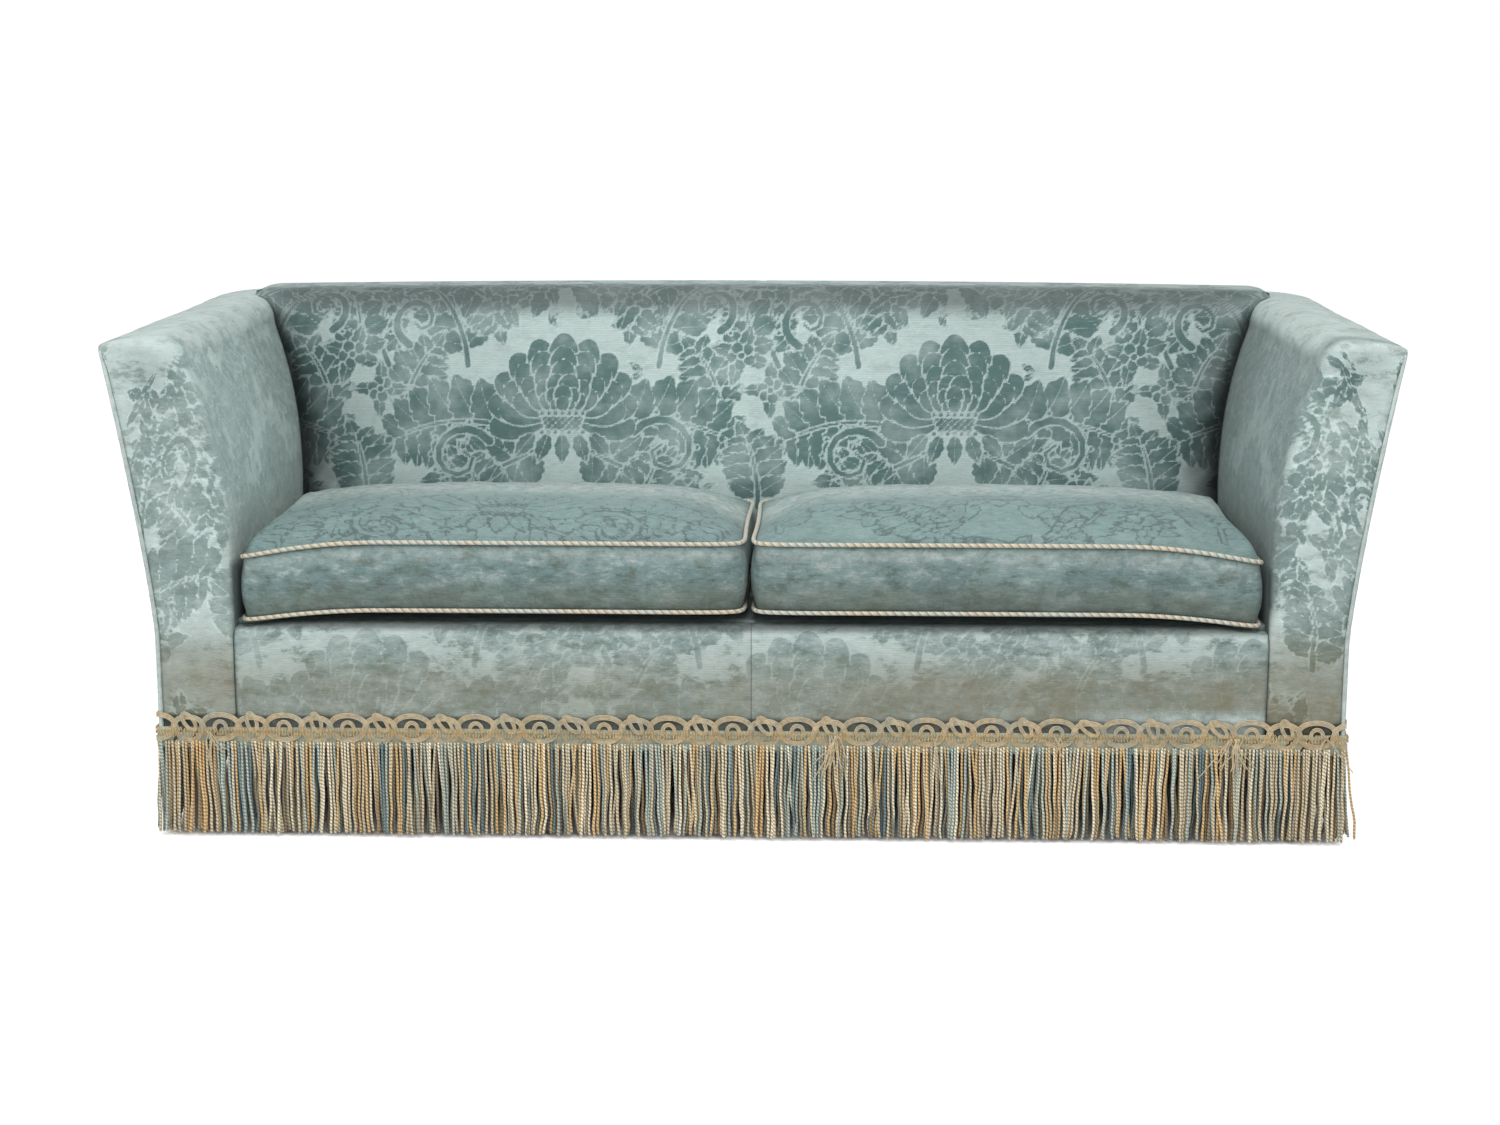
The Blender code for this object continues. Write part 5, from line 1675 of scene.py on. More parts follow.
    def dress_border(self, obj: bpy.types.Object) -> None:
        """Dress the border, soiled on its lower half and rubbed pale over the gimp, with painted
        shadow behind the gimp and under the cushions.

        Args:
            obj: The border.
        """
        x, _, z = mesh_places(obj).T
        low = smoothstep((0.345 - z) / 0.09)
        across = 0.62 + 0.38 * smoothstep((x + 0.5) / 1.0)
        pale = smoothstep((0.236 - z) / 0.02) * smoothstep((x - 0.45) / 0.3)
        # painted shadow behind the gimp's arches and a painted shadow line along the top under the
        # cushions
        gimp = smoothstep((0.214 - z) / 0.006)
        under = smoothstep((z - 0.352) / 0.012)
        shade = 0.98 * (1 - 0.74 * gimp) * (1 - 0.70 * under)
        self.cover(obj, self.border, (0.10, 0.13),
                   (0.8, low * across * (1 - pale), 0.10 + 0.4 * pale), (shade, 0.12, 0.95))

    def dress_cushion(self, obj: bpy.types.Object, cushion: "SeatCushion") -> None:
        """Dress a cushion: embossed and bluish on top, mottled round its boxing, with painted shade
        over the boxing, by the upper seam and towards the lower seam, and a painted pale sheen
        towards the back of the top and along the boxing's top edge.

        Args:
            obj: The cushion's cover.
            cushion: The cushion's sizes.
        """
        x, y, z = mesh_places(obj).T
        side = cushion.side.value
        depth = cushion.seam_z(np.abs(x), y, True) - z
        below = smoothstep(depth / 0.02)
        low = smoothstep((depth - 0.045) / 0.05)
        # painted pale sheen towards the back of the top and along the boxing's top edge
        rear = np.exp(-((y + 0.08) / 0.11) ** 2) * (1 - below)
        top_edge = below * smoothstep((0.045 - depth) / 0.035)
        rim = smoothstep((np.abs(depth) - 0.002) / 0.012)
        foot = smoothstep((cushion.boxing + 0.002 - depth) / 0.03)
        # painted shade: the boxing darker, more so on the right cushion, and darker by the upper
        # seam and towards the lower seam
        dim = 0.96 - (0.14 + 0.06 * side) * below
        shade = dim * (0.86 + 0.14 * rim) * (0.72 + 0.28 * np.maximum(foot, 1 - below))
        self.cover(obj, self.cushion, (0.42, -0.17 + 0.05 * side),
                   (0.15 + 0.90 * below, 0.85 * low * below,
                    0.75 * rear + 0.05 * below + 0.35 * top_edge),
                   (shade, 0.18 * below - 0.22 * (1 - below), 0.18 + 0.90 * below))

    def dress_plain(self, obj: bpy.types.Object, wear_and_sheen: float = 0.05, shade: float = 1.0) -> None:
        """Dress a panel or a welt that shows the velvet at its ordinary contrast, made lighter or
        darker by its painted shade factor.
        """
        self.cover(obj, self.arm, (0.3675, 0.30), (0.6, 0.0, wear_and_sheen), (shade, 0.0, 0.0))


class Weaver:
    """A Geometry Nodes tree that is run once on a piece and then taken off it.

    Args:
        name: The tree's name.
        inputs: Its inputs' values by name, the geometry not counted.
    """

    def __init__(self, name: str, inputs: dict) -> None:
        """Make the tree with its named inputs.

        Args:
            name: The tree's name.
            inputs: Its inputs' values by name.
        """
        self.tree = bpy.data.node_groups.new(name, "GeometryNodeTree")
        for way in ("INPUT", "OUTPUT"):
            self.tree.interface.new_socket("Geometry", in_out=way,
                                           socket_type="NodeSocketGeometry")
        self.values = {new_socket(self.tree, label, "INPUT", value).identifier: value
                       for label, value in inputs.items()}
        self.graph = Graph(self.tree)
        self.entry = self.graph.add("NodeGroupInput")

    def swept(self, curve: Wire, sides: str, radius: str, caps: bool) -> Wire:
        """Sweep a circle along curves.

        Args:
            curve: The curves.
            sides: The input that says how many sides the circle has.
            radius: The input that says its radius.
            caps: Whether the ends are closed.

        Returns:
            The swept geometry.
        """
        circle = self.graph.add("GeometryNodeCurvePrimitiveCircle",
                                {"Resolution": self.entry[sides], "Radius": self.entry[radius]})
        return self.graph.add("GeometryNodeCurveToMesh", {"Curve": curve, "Profile Curve": circle,
                                                          "Fill Caps": caps})

    def instances(self, source: str, rotation: Wire, scale: object = (1, 1, 1)) -> Wire:
        """Set one object on each point of the piece.

        Args:
            source: The input that holds the object.
            rotation: How each is turned, as three angles.
            scale: How large each is.

        Returns:
            The instances.
        """
        graph = self.graph
        shape = graph.add("GeometryNodeObjectInfo", {"Object": self.entry[source]}, "Geometry")
        points = graph.add("GeometryNodeMeshToPoints", {0: self.entry["Geometry"]})
        turned = graph.add("FunctionNodeEulerToRotation", {0: rotation})
        return graph.add("GeometryNodeInstanceOnPoints", {"Points": points, "Instance": shape,
                                                          "Rotation": turned, "Scale": scale})

    def weave(self, obj: bpy.types.Object, name: str, geometry: Wire,
              finish: "Finish") -> bpy.types.Object:
        """End the tree in real geometry, run it, and keep the result as a plain mesh.

        Args:
            obj: The path or points that it works on, removed afterwards.
            name: The finished piece's name.
            geometry: What the tree has made.
            finish: The piece's finish.

        Returns:
            The finished piece.
        """
        real = self.graph.add("GeometryNodeRealizeInstances", {0: geometry})
        done = self.graph.add("GeometryNodeSetMaterial",
                              {"Geometry": real, "Material": finish.material()})
        self.graph.node("NodeGroupOutput", {0: done})
        modifier = obj.modifiers.new("weave", "NODES")
        modifier.node_group = self.tree
        for identifier, value in self.values.items():
            modifier[identifier] = value
        mesh = finished_mesh(obj, modifier)
        bpy.data.objects.remove(obj)
        mesh.name = name
        return link_object(name, mesh)


def finished_mesh(obj: bpy.types.Object, modifier: bpy.types.Modifier) -> bpy.types.Mesh:
    """Give an object's mesh with its modifier's work in it, and take the modifier off.

    Args:
        obj: The object.
        modifier: Its modifier.

    Returns:
        The plain mesh, shaded smooth.
    """
    graph = bpy.context.evaluated_depsgraph_get()
    mesh = bpy.data.meshes.new_from_object(obj.evaluated_get(graph),
                                           preserve_all_data_layers=True, depsgraph=graph)
    obj.modifiers.remove(modifier)
    mesh.shade_smooth()
    return mesh


def paths_object(name: str, paths: list, closed: bool = False) -> bpy.types.Object:
    """Make a curve object of several paths for a weaver to work on.

    Args:
        name: Its name.
        paths: The paths' points.
        closed: Whether each path's end joins its start.

    Returns:
        The curve object.
    """
    curve = bpy.data.curves.new(name, "CURVE")
    curve.dimensions = "3D"
    for path in paths:
        spline = curve.splines.new("POLY")
        spline.points.add(len(path) - 1)
        wide = np.concatenate([path, np.ones((len(path), 1))], 1)
        spline.points.foreach_set("co", wide.astype(np.float32).ravel())
        spline.use_cyclic_u = closed
    return link_object(name, curve)


@dataclass
class RopeCord:
    """A three-ply rope cord laid round a cushion's seam.

    Args:
        finish: The cord's finish.
        ply_radius: Radius of one ply.
        lay_radius: How far a ply's middle is from the cord's.
        pitch: Length of one full turn.
        step: Length between two rings of a ply.
        sides: How many faces go round a ply.
    """

    finish: Finish
    ply_radius: float = 0.00205
    lay_radius: float = 0.00190
    pitch: float = 0.0135
    step: float = 0.0024
    sides: int = 6

    def build(self, name: str, path: np.ndarray) -> bpy.types.Object:
        """Make the cord round a closed path.

        Args:
            name: The piece's name.
            path: The path's points, one a row.

        Returns:
            The cord as one mesh.
        """
        length = run_length(np.concatenate([path, path[:1]]))[-1]
        weaver = Weaver("rope_cord", {
            "Turns": float(round(length / self.pitch)), "Ply Radius": self.ply_radius,
            "Lay Radius": self.lay_radius, "Step": self.step, "Sides": self.sides})
        graph, entry = weaver.graph, weaver.entry
        even = graph.add("GeometryNodeResampleCurve",
                         {"Curve": entry["Geometry"], "Length": entry["Step"]}, mode="LENGTH")
        spline = graph.add("GeometryNodeSplineParameter")
        normal = graph.add("GeometryNodeInputNormal")
        cross = graph.vector("CROSS_PRODUCT", graph.add("GeometryNodeInputTangent"), normal)
        turn = spline["Factor"] * entry["Turns"] * (2 * math.pi)
        joined = graph.node("GeometryNodeJoinGeometry")
        for ply in range(3):
            angle = turn + ply * 2 * math.pi / 3
            aside, lift = (graph.vector("SCALE", way, graph.math(how, angle) * entry["Lay Radius"])
                           for way, how in ((normal, "COSINE"), (cross, "SINE")))
            label = graph.add("ShaderNodeCombineXYZ", {0: float(ply), 1: spline["Length"]})
            marked = graph.add("GeometryNodeStoreNamedAttribute",
                               {"Geometry": even, "Name": "ply", "Value": label},
                               data_type="FLOAT_VECTOR", domain="POINT")
            moved = graph.add("GeometryNodeSetPosition",
                              {"Geometry": marked, "Offset": graph.vector("ADD", aside, lift)})
            graph.feed(joined.inputs[0], weaver.swept(moved, "Sides", "Ply Radius", False))
        return weaver.weave(paths_object(name, [path], closed=True), name,
                            Wire(graph, joined.outputs[0]), self.finish)


@dataclass(frozen=True)
class StrandFinish(Finish):
    """Twisted bullion strands in cream, sage, ochre and teal."""

    cream: tuple = srgb(244, 232, 202)
    beige: tuple = srgb(220, 205, 172)
    sage: tuple = srgb(188, 200, 188)
    ochre: tuple = srgb(230, 194, 138)
    teal: tuple = srgb(118, 144, 148)
    twist: float = 0.0062

    def shade(self, graph: Graph, surface: bpy.types.Node) -> None:
        """Colour each strand by its own tone and twist its two yarns, with painted light on each
        twist's ridge and painted shade on the back row.

        Args:
            graph: The material's graph.
            surface: Its surface shader.
        """
        tone, dust, row = graph.named("tone")
        cosine, sine, along = graph.named("strand")
        colour = self.cream
        for level, other in ((0.30, self.beige), (0.48, self.ochre), (0.62, self.sage),
                             (0.80, self.teal)):
            colour = graph.mix(graph.math("GREATER_THAN", tone, level), colour, other)
        turn = along * (2 * math.pi / self.twist)
        twist = sine * graph.math("COSINE", turn) + cosine * graph.math("SINE", turn)
        # painted light and shade: each twist's ridge lighter and its groove darker
        ridge = graph.ramp(twist, -0.9, 0.7)
        yarn = graph.noise(graph.place(), (700, 700, 260))
        # painted shade: the back row darker to shade the gaps; dust is each strand's random tone
        dust_and_row_shade = (dust * 0.26 + 0.90) * row
        light = graph.ramp(ridge, 0.0, 1.0, 0.50, 1.14) * dust_and_row_shade
        light = light * graph.ramp(yarn, 0.2, 0.8, 0.88, 1.08)
        graph.paint(surface, graph.tinted(colour, light), graph.ramp(yarn, 0, 1, 0.5, 0.7), ridge,
                    (0.0006, 0.8), 0.15)


@dataclass(frozen=True)
class BraidFinish(Finish):
    """The gimp's fine cords, its gold stitches and its pale tape."""

    tint: tuple = srgb(216, 197, 160)
    other: tuple = srgb(196, 191, 168)
    twist: float = 1500.0

    def shade(self, graph: Graph, surface: bpy.types.Node) -> None:
        """Colour the cord with faded stretches and fine twist.

        Args:
            graph: The material's graph.
            surface: Its surface shader.
        """
        place = graph.place()
        faded = graph.ramp(graph.noise(place, 26.0, 3.0, 0.6), 0.46, 0.66)
        fine = graph.noise(place, (self.twist, self.twist, self.twist))
        light = graph.ramp(fine, 0.25, 0.75, 0.74, 1.10)
        light = light * graph.ramp(graph.noise(place, 140.0, 3.0, 0.6), 0.25, 0.7, 0.74, 1.10)
        colour = graph.tinted(graph.mix(faded, self.tint, self.other), light)
        graph.paint(surface, colour, graph.ramp(fine, 0, 1, 0.5, 0.75), fine, (0.0004, 0.6), 0.2)


@dataclass(frozen=True)
class TrimRun:
    """One side's length of trim: where it starts, which way it runs and faces."""

    name: str
    node: str
    start: tuple
    along: tuple
    outward: tuple
    length: float

    def place(self, distance: np.ndarray, depth: np.ndarray | float,
              height: np.ndarray | float) -> np.ndarray:
        """Give places at distances along the run, off its plane and above the floor.

        Args:
            distance: Distances from its start.
            depth: How far each place stands outwards.
            height: The height of each.

        Returns:
            The places, one a row.
        """
        spot = np.array(self.start) + distance[:, None] * np.array(self.along)
        spot = spot + np.broadcast_to(depth, distance.shape)[:, None] * np.array(self.outward)
        return np.concatenate([spot, np.broadcast_to(height, distance.shape)[:, None]], 1)


@dataclass
class Fringe:
    """The twisted bullion fringe and the looped gimp that heads it.

    Args:
        run: The side that it hangs on.
        strands: Finish of the strands.
        cords: Finish of the gimp's cords.
        stitches: Finish of its gold stitches.
        tape: Finish of its tape.
        seed: Start of its random draws.
        pitch: Distance between strands.
        strand_radius: Radius of a strand at its foot.
        head: Height at which the strands hang.
        foot: Height at which they end.
        period: Length of one large arch of the gimp.
        middle: Height of the gimp's middle.
        reach: How far its arches rise and fall from there.
        cord_radius: Radius of its cords.
        cord_gap: Distance between two cords of a ribbon.
        round_off: How far its arches are rounded.
    """

    run: TrimRun
    strands: Finish
    cords: Finish
    stitches: Finish
    tape: Finish
    seed: int = 3
    pitch: float = 0.0058
    strand_radius: float = 0.0023
    head: float = 0.166
    foot: float = 0.006
    period: float = 0.1075
    middle: float = 0.1890
    reach: float = 0.0225
    cord_radius: float = 0.00104
    cord_gap: float = 0.0023
    round_off: float = 0.0062

    def strand(self) -> bpy.types.Object:
        """Make one strand, its head at the origin, with a blunt rounded end.

        Returns:
            The strand, with its place round and along it stored at each point.
        """
        sides, rings = 5, 12
        length = self.head - self.foot
        level = np.linspace(0, length - 0.002, rings)
        size = self.strand_radius * (0.86 + 0.14 * smoothstep(level / length))[:, None]
        turn = np.arange(sides) * 2 * math.pi / sides
        lean = turn + 0.4 * level[:, None] / length
        points = np.stack([size * np.cos(lean), size * np.sin(lean),
                           np.repeat(-level[:, None], sides, 1)], 2).reshape(-1, 3)
        tip, cap, last = len(points), len(points) + 1, len(points) - sides
        points = np.concatenate([points, [[0, 0, -length]], [[0, 0, 0.001]]])
        faces = ring_faces([np.arange(sides) + row * sides for row in range(rings)])
        faces += [[last + k, last + (k + 1) % sides, tip] for k in range(sides)]
        faces += [[(k + 1) % sides, k, cap] for k in range(sides)]
        obj = add_mesh("strand_pattern", points, faces)
        store_marks(obj, "strand", np.append(np.tile(np.cos(turn), rings), [1.0, 1.0]),
                    np.append(np.tile(np.sin(turn), rings), [0.0, 0.0]), points[:, 2])
        return obj

    def roots(self) -> tuple:
        """Give where the strands hang from, and each one's lean, length and tone.

        Returns:
            The places, the turns, the sizes and the tones, one a row.
        """
        rng = np.random.default_rng(self.seed)
        rows = []
        length = self.run.length
        tilt, face = self.run.along, self.run.outward
        for row in range(2):
            count = int(length / self.pitch)
            distance = (np.arange(count) + 0.5 + 0.5 * row) * length / count
            distance = np.clip(distance + rng.normal(0, 0.0009, count), 0.002, length - 0.002)
            depth = 0.0030 - 0.0068 * row + rng.normal(0, 0.0005, count)
            spot = self.run.place(distance, depth, self.head)
            clump = np.sin(distance * 61 + row) + 0.7 * np.sin(distance * 143 + 2 * row)
            lean = 0.030 * clump * rng.random(count) + rng.normal(0, 0.040, count)
            end = np.minimum(distance, length - distance)
            way = np.where(distance < length / 2, -1, 1)
            lean += way * 0.11 * np.clip(1 - end / 0.06, 0, 1)
            sway = rng.normal(0.012, 0.016, count)
            spin = rng.random(count) * 2 * math.pi
            turn = np.stack([lean * tilt[1] + sway * face[1], -lean * tilt[0] - sway * face[0],
                             spin], 1)
            size = np.repeat(1 - 0.028 * rng.random((count, 1)) ** 2, 3, 1)
            mood = 0.5 + 0.22 * np.sin(distance * 47 + 1.3) + 0.12 * np.sin(distance * 171)
            tone = np.clip(0.45 * mood + 0.62 * rng.random(count) - 0.05, 0, 1)
            # the third value is painted shade: the back row is darker, so the gaps between the
            # front strands look shaded
            tone = np.stack([tone, rng.random(count), np.full(count, 1 - 0.58 * row)], 1)
            rows.append((spot, turn, size, tone))
        return tuple(np.concatenate(part) for part in zip(*rows))

    def build_strands(self) -> bpy.types.Object:
        """Hang the strands along the run, each a little swayed.

        Returns:
            The strands as one mesh.
        """
        places, *marks = self.roots()
        roots = add_mesh("strand_roots", places, [])
        for name, values in zip(("turn", "size", "tone"), marks):
            store_vectors(roots, name, values)
        strand = self.strand()
        weaver = Weaver("bullion_fringe", {"Strand": strand, "Sway": 0.0042, "Sway Scale": 16.0})
        graph, entry = weaver.graph, weaver.entry
        turn, size = (graph.add("GeometryNodeInputNamedAttribute", {"Name": name},
                                data_type="FLOAT_VECTOR") for name in ("turn", "size"))
        hung = weaver.instances("Strand", turn, size)
        real = graph.add("GeometryNodeRealizeInstances", {0: hung})
        position = graph.add("GeometryNodeInputPosition")
        drift = graph.add("ShaderNodeTexNoise", {"Vector": position, "Scale": entry["Sway Scale"],
                                                 "Detail": 1.0}, "Color")
        below = self.head - graph.split(position)[2]
        free = graph.math("MULTIPLY", below, 1 / (self.head - self.foot), clamp=True)
        moved = graph.vector("SCALE", graph.vector("SUBTRACT", drift, (0.5, 0.5, 0.5)),
                             free * (entry["Sway"] * 4.0))
        level = graph.vector("MULTIPLY", moved, (1.0, 1.0, 0.0))
        swayed = graph.add("GeometryNodeSetPosition", {"Geometry": real, "Offset": level})
        piece = weaver.weave(roots, f"{self.run.name}_strands", swayed, self.strands)
        bpy.data.objects.remove(strand)
        return piece

    def ribbon(self, shift: float, bulge: float, reach: float, depth: float) -> list:
        """Give the four parallel cords of one looping ribbon.

        Args:
            shift: Where its arches stand, as a share of the period.
            bulge: How far its arches are wider than its valleys.
            reach: Half its height.
            depth: How far it stands off the tape.

        Returns:
            The cords' paths.
        """
        length = self.run.length
        turn = np.linspace(0, 2 * math.pi * length / self.period, max(int(length / 0.0030), 40))
        phase = turn - 2 * math.pi * shift
        distance = length * turn / turn[-1] + bulge * np.sin(phase)
        distance = distance + self.round_off * np.sin(2 * phase)
        height = self.middle + reach * np.cos(phase)
        lean = np.stack([np.gradient(distance), np.gradient(height)], 1)
        lean /= np.maximum(np.linalg.norm(lean, axis=1, keepdims=True), 1e-9)
        weave = depth + 0.0009 * np.sin(2 * phase + shift)
        return [self.run.place(distance - lean[:, 1] * off, weave, height + lean[:, 0] * off)
                for off in np.array([-1.5, -0.5, 0.5, 1.5]) * self.cord_gap]

    def arches(self) -> list:
        """Give the paths of the small nested arches that stand inside the large ones.

        Returns:
            The cords' paths.
        """
        turn = np.linspace(-0.75, math.pi + 0.75, 24)
        middles = np.arange(int(self.run.length / self.period) + 1) * self.period
        return [self.run.place(middle + radius * np.cos(turn), 0.0030,
                               self.middle + 0.0005 + radius * 1.10 * np.sin(turn))
                for middle in middles if 0.02 < middle < self.run.length - 0.02
                for radius in 0.0122 - np.arange(3) * self.cord_gap]

    def loops(self) -> list:
        """Give the paths of the tilted loops that stand between the large arches.

        Returns:
            The cords' paths.
        """
        rng = np.random.default_rng(self.seed + 20)
        paths = []
        turn = np.linspace(0, 2 * math.pi, 26)
        for index in range(int(self.run.length / self.period) + 1):
            middle = (index + 0.5) * self.period + rng.normal(0, 0.002)
            if not 0.03 < middle < self.run.length - 0.03:
                continue
            tilt = math.radians(118 + rng.normal(0, 7))
            for inset in np.arange(3) * self.cord_gap:
                a, b = (0.0210 - inset) * np.cos(turn), (0.0098 - inset) * np.sin(turn)
                distance = middle + a * math.cos(tilt) - b * math.sin(tilt)
                height = 0.2000 + a * math.sin(tilt) * 0.86 + b * math.cos(tilt)
                paths.append(self.run.place(distance, 0.0042 + 0.0008 * np.sin(turn), height))
        return paths

    def sweep(self, tree: str, piece: str, paths: list, radius: float) -> bpy.types.Object:
        """Sweep a fine round cord along paths.

        Args:
            tree: The weaver's name.
            piece: The piece's name, its side not counted.
            paths: The cords' paths.
            radius: The cords' radius.

        Returns:
            The cords as one mesh.
        """
        weaver = Weaver(tree, {"Radius": radius, "Sides": 5})
        name = f"{self.run.name}_{piece}"
        return weaver.weave(paths_object(name, paths), name,
                            weaver.swept(weaver.entry, "Sides", "Radius", True), self.cords)

    def build_gimp(self) -> bpy.types.Object:
        """Make the gimp's cords.

        Returns:
            The piece.
        """
        paths = self.ribbon(0.0, 0.00575, self.reach, 0.0010)
        paths += self.ribbon(0.5, -0.0010, self.reach - 0.0035, 0.0030)
        return self.sweep("gimp_cords", "gimp", paths + self.arches() + self.loops(),
                          self.cord_radius)

    def build_threads(self, places: tuple) -> bpy.types.Object:
        """Let a few worn threads hang loose from the gimp.

        Args:
            places: Distance along the run, how many threads hang there, and their length.

        Returns:
            The threads as one mesh.
        """
        rng = np.random.default_rng(self.seed + 60)
        paths = []
        level = np.linspace(0, 1, 26)
        for middle, count, length in places:
            for _ in range(count):
                curl = rng.normal(0, 0.35, 3)
                aside = rng.normal(0, 0.006) + level * rng.normal(0, 0.020)
                aside = aside + 0.007 * curl[0] * np.sin(5 * level) + 0.006 * curl[1] * level ** 2
                drop = length * rng.uniform(0.55, 1.0) * (level - 0.35 * curl[2] ** 2 * level ** 3)
                depth = 0.0075 + 0.0035 * np.sin(math.pi * level) + 0.002 * rng.random()
                paths.append(self.run.place(middle + aside, depth, self.middle - 0.004 - drop))
        return self.sweep("loose_threads", "loose_threads", paths, 0.00085)

    def build_stitches(self) -> bpy.types.Object:
        """Bind the gimp to its tape with rows of short gold stitches.

        Returns:
            The stitches as one mesh.
        """
        rng = np.random.default_rng(self.seed + 40)
        places = []
        count = int(self.run.length / 0.0050)
        for height in (0.1790, 0.1862):
            distance = (np.arange(count) + 0.5) * self.run.length / count
            distance = distance + rng.normal(0, 0.0004, count)
            places.append(self.run.place(distance, 0.0056 + rng.normal(0, 0.0003, count),
                                         height + rng.normal(0, 0.0007, count)))
        bead = add_mesh("stitch_pattern", *self.bead())
        weaver = Weaver("gimp_stitches", {"Stitch": bead, "Lean": 0.35, "Seed": self.seed})
        graph, entry = weaver.graph, weaver.entry
        lean = graph.add("FunctionNodeRandomValue", {2: entry["Lean"] * -1.0, 3: entry["Lean"],
                                                     "Seed": entry["Seed"]}, 1, data_type="FLOAT")
        turn = graph.add("ShaderNodeCombineXYZ", {axis: lean * float(self.run.outward[axis])
                                                  for axis in (0, 1)})
        piece = weaver.weave(add_mesh("stitch_roots", np.concatenate(places), []),
                             f"{self.run.name}_stitches", weaver.instances("Stitch", turn),
                             self.stitches)
        bpy.data.objects.remove(bead)
        return piece

    @staticmethod
    def bead() -> tuple:
        """Give the points and faces of one short fat stitch.

        Returns:
            The points, one a row, and the faces.
        """
        radius, half = 0.0012, 0.0036
        turn = np.arange(4) * math.pi / 2 + math.pi / 4
        ring = np.stack([0.85 * radius * np.cos(turn), 0.85 * radius * np.sin(turn)], 1)
        rings = [np.column_stack([ring, np.full(4, half * level)]) for level in (-0.6, 0.6)]
        points = np.concatenate([[[0, 0, -half]], *rings, [[0, 0, half]]])
        faces = [[0, 1 + (k + 1) % 4, 1 + k] for k in range(4)]
        faces += ring_faces([np.arange(1, 5), np.arange(5, 9)])
        faces += [[5 + k, 5 + (k + 1) % 4, 9] for k in range(4)]
        return points, faces

    def build_tape(self) -> bpy.types.Object:
        """Make the woven tape behind the gimp's lower half.

        Returns:
            The tape.
        """
        distance = np.linspace(0, self.run.length, max(int(self.run.length / 0.006), 12))
        heights = np.linspace(0.1545, 0.1900, 7)
        points = [self.run.place(distance, 0.0004 * np.sin(distance * 210 + height * 900), height)
                  for height in heights]
        grid = ClothGrid(np.array(points), np.stack(np.meshgrid(distance, heights), 2))
        lean = grid.normals()[3, 5] @ np.append(np.array(self.run.outward), 0.0)
        grid.outward = 1.0 if lean > 0 else -1.0
        return self.tape.dress(grid.shell(f"{self.run.name}_tape", 0.0012))


@dataclass(frozen=True)
class TimberFinish(Finish):
    """Sawn beech or turned leg timber, with grain, rays and handled edges."""

    pale: tuple = srgb(196, 162, 118)
    dark: tuple = srgb(160, 122, 80)
    grime: tuple = srgb(104, 78, 52)
    along: tuple = (4.0, 60.0, 60.0)

    def shade(self, graph: Graph, surface: bpy.types.Node) -> None:
        """Lay the grain along the timber with fine pores and darker rings.

        Args:
            graph: The material's graph.
            surface: Its surface shader.
        """
        place = graph.place()
        rings = graph.noise(place, self.along, 4.0, 0.6) * 5.0 + graph.noise(place, 3.0)
        pores = graph.noise(place, tuple(8 * part for part in self.along), 3.0)
        share = graph.ramp(pores, 0.35, 0.7) * 0.4 + graph.math("FRACT", rings) * 0.6
        grimy = graph.ramp(graph.noise(place, 12.0, 4.0, 0.7), 0.5, 0.75, 0.0, 0.4)
        colour = graph.mix(grimy, graph.mix(share, self.pale, self.dark), self.grime)
        graph.paint(surface, colour, graph.ramp(pores, 0, 1, 0.5, 0.75), share, (0.0004, 0.5))


@dataclass(frozen=True)
class WovenFinish(Finish):
    """A plain woven cloth: jute webbing, hessian, black dust cloth or zip tape.

    Args:
        warp: Colour of the long threads.
        weft: Colour of the cross threads.
        pitch: Distance between threads.
        stripe: Distance between coloured stripes, or 0 for none.
        stripe_colour: The stripes' colour.
    """

    warp: tuple = srgb(176, 144, 96)
    weft: tuple = srgb(154, 122, 78)
    pitch: float = 0.0022
    stripe: float = 0.0
    stripe_colour: tuple = srgb(60, 60, 66)

    def shade(self, graph: Graph, surface: bpy.types.Node) -> None:
        """Weave the threads over and under one another.

        Args:
            graph: The material's graph.
            surface: Its surface shader.
        """
        place = graph.place()
        across, along, _ = graph.split(place)
        waves = [graph.math("SINE", part * (2 * math.pi / self.pitch)) for part in (across, along)]
        share = graph.ramp(waves[0] * waves[1], -0.4, 0.4)
        slub = graph.noise(place, (40, 320, 320), 3.0, 0.6)
        colour = graph.mix(share, self.warp, self.weft)
        if self.stripe:
            band = graph.math("LESS_THAN", graph.math("FRACT", across / self.stripe), 0.18)
            colour = graph.mix(band, colour, self.stripe_colour)
        colour = graph.tinted(colour, graph.ramp(slub, 0.2, 0.8, 0.72, 1.12))
        graph.paint(surface, colour, graph.ramp(slub, 0, 1, 0.8, 0.95), share + slub,
                    (0.0004, 0.8))


@dataclass(frozen=True)
class SteelFinish(Finish):
    """Coppered spring wire or zip brass, dulled and spotted with rust."""

    bright: tuple = srgb(186, 146, 112)
    rust: tuple = srgb(112, 70, 44)

    def shade(self, graph: Graph, surface: bpy.types.Node) -> None:
        """Spot the metal with rust and dull it.

        Args:
            graph: The material's graph.
            surface: Its surface shader.
        """
        place = graph.place()
        spots = graph.ramp(graph.noise(place, 90.0, 4.0, 0.7), 0.52, 0.64)
        dull = graph.ramp(graph.noise(place, 30.0, 3.0), 0.2, 0.8, 0.35, 0.7)
        graph.feed(surface.inputs["Metallic"], 1.0 - spots)
        graph.paint(surface, graph.mix(spots, self.bright, self.rust), dull, spots, (0.0002, 0.4))


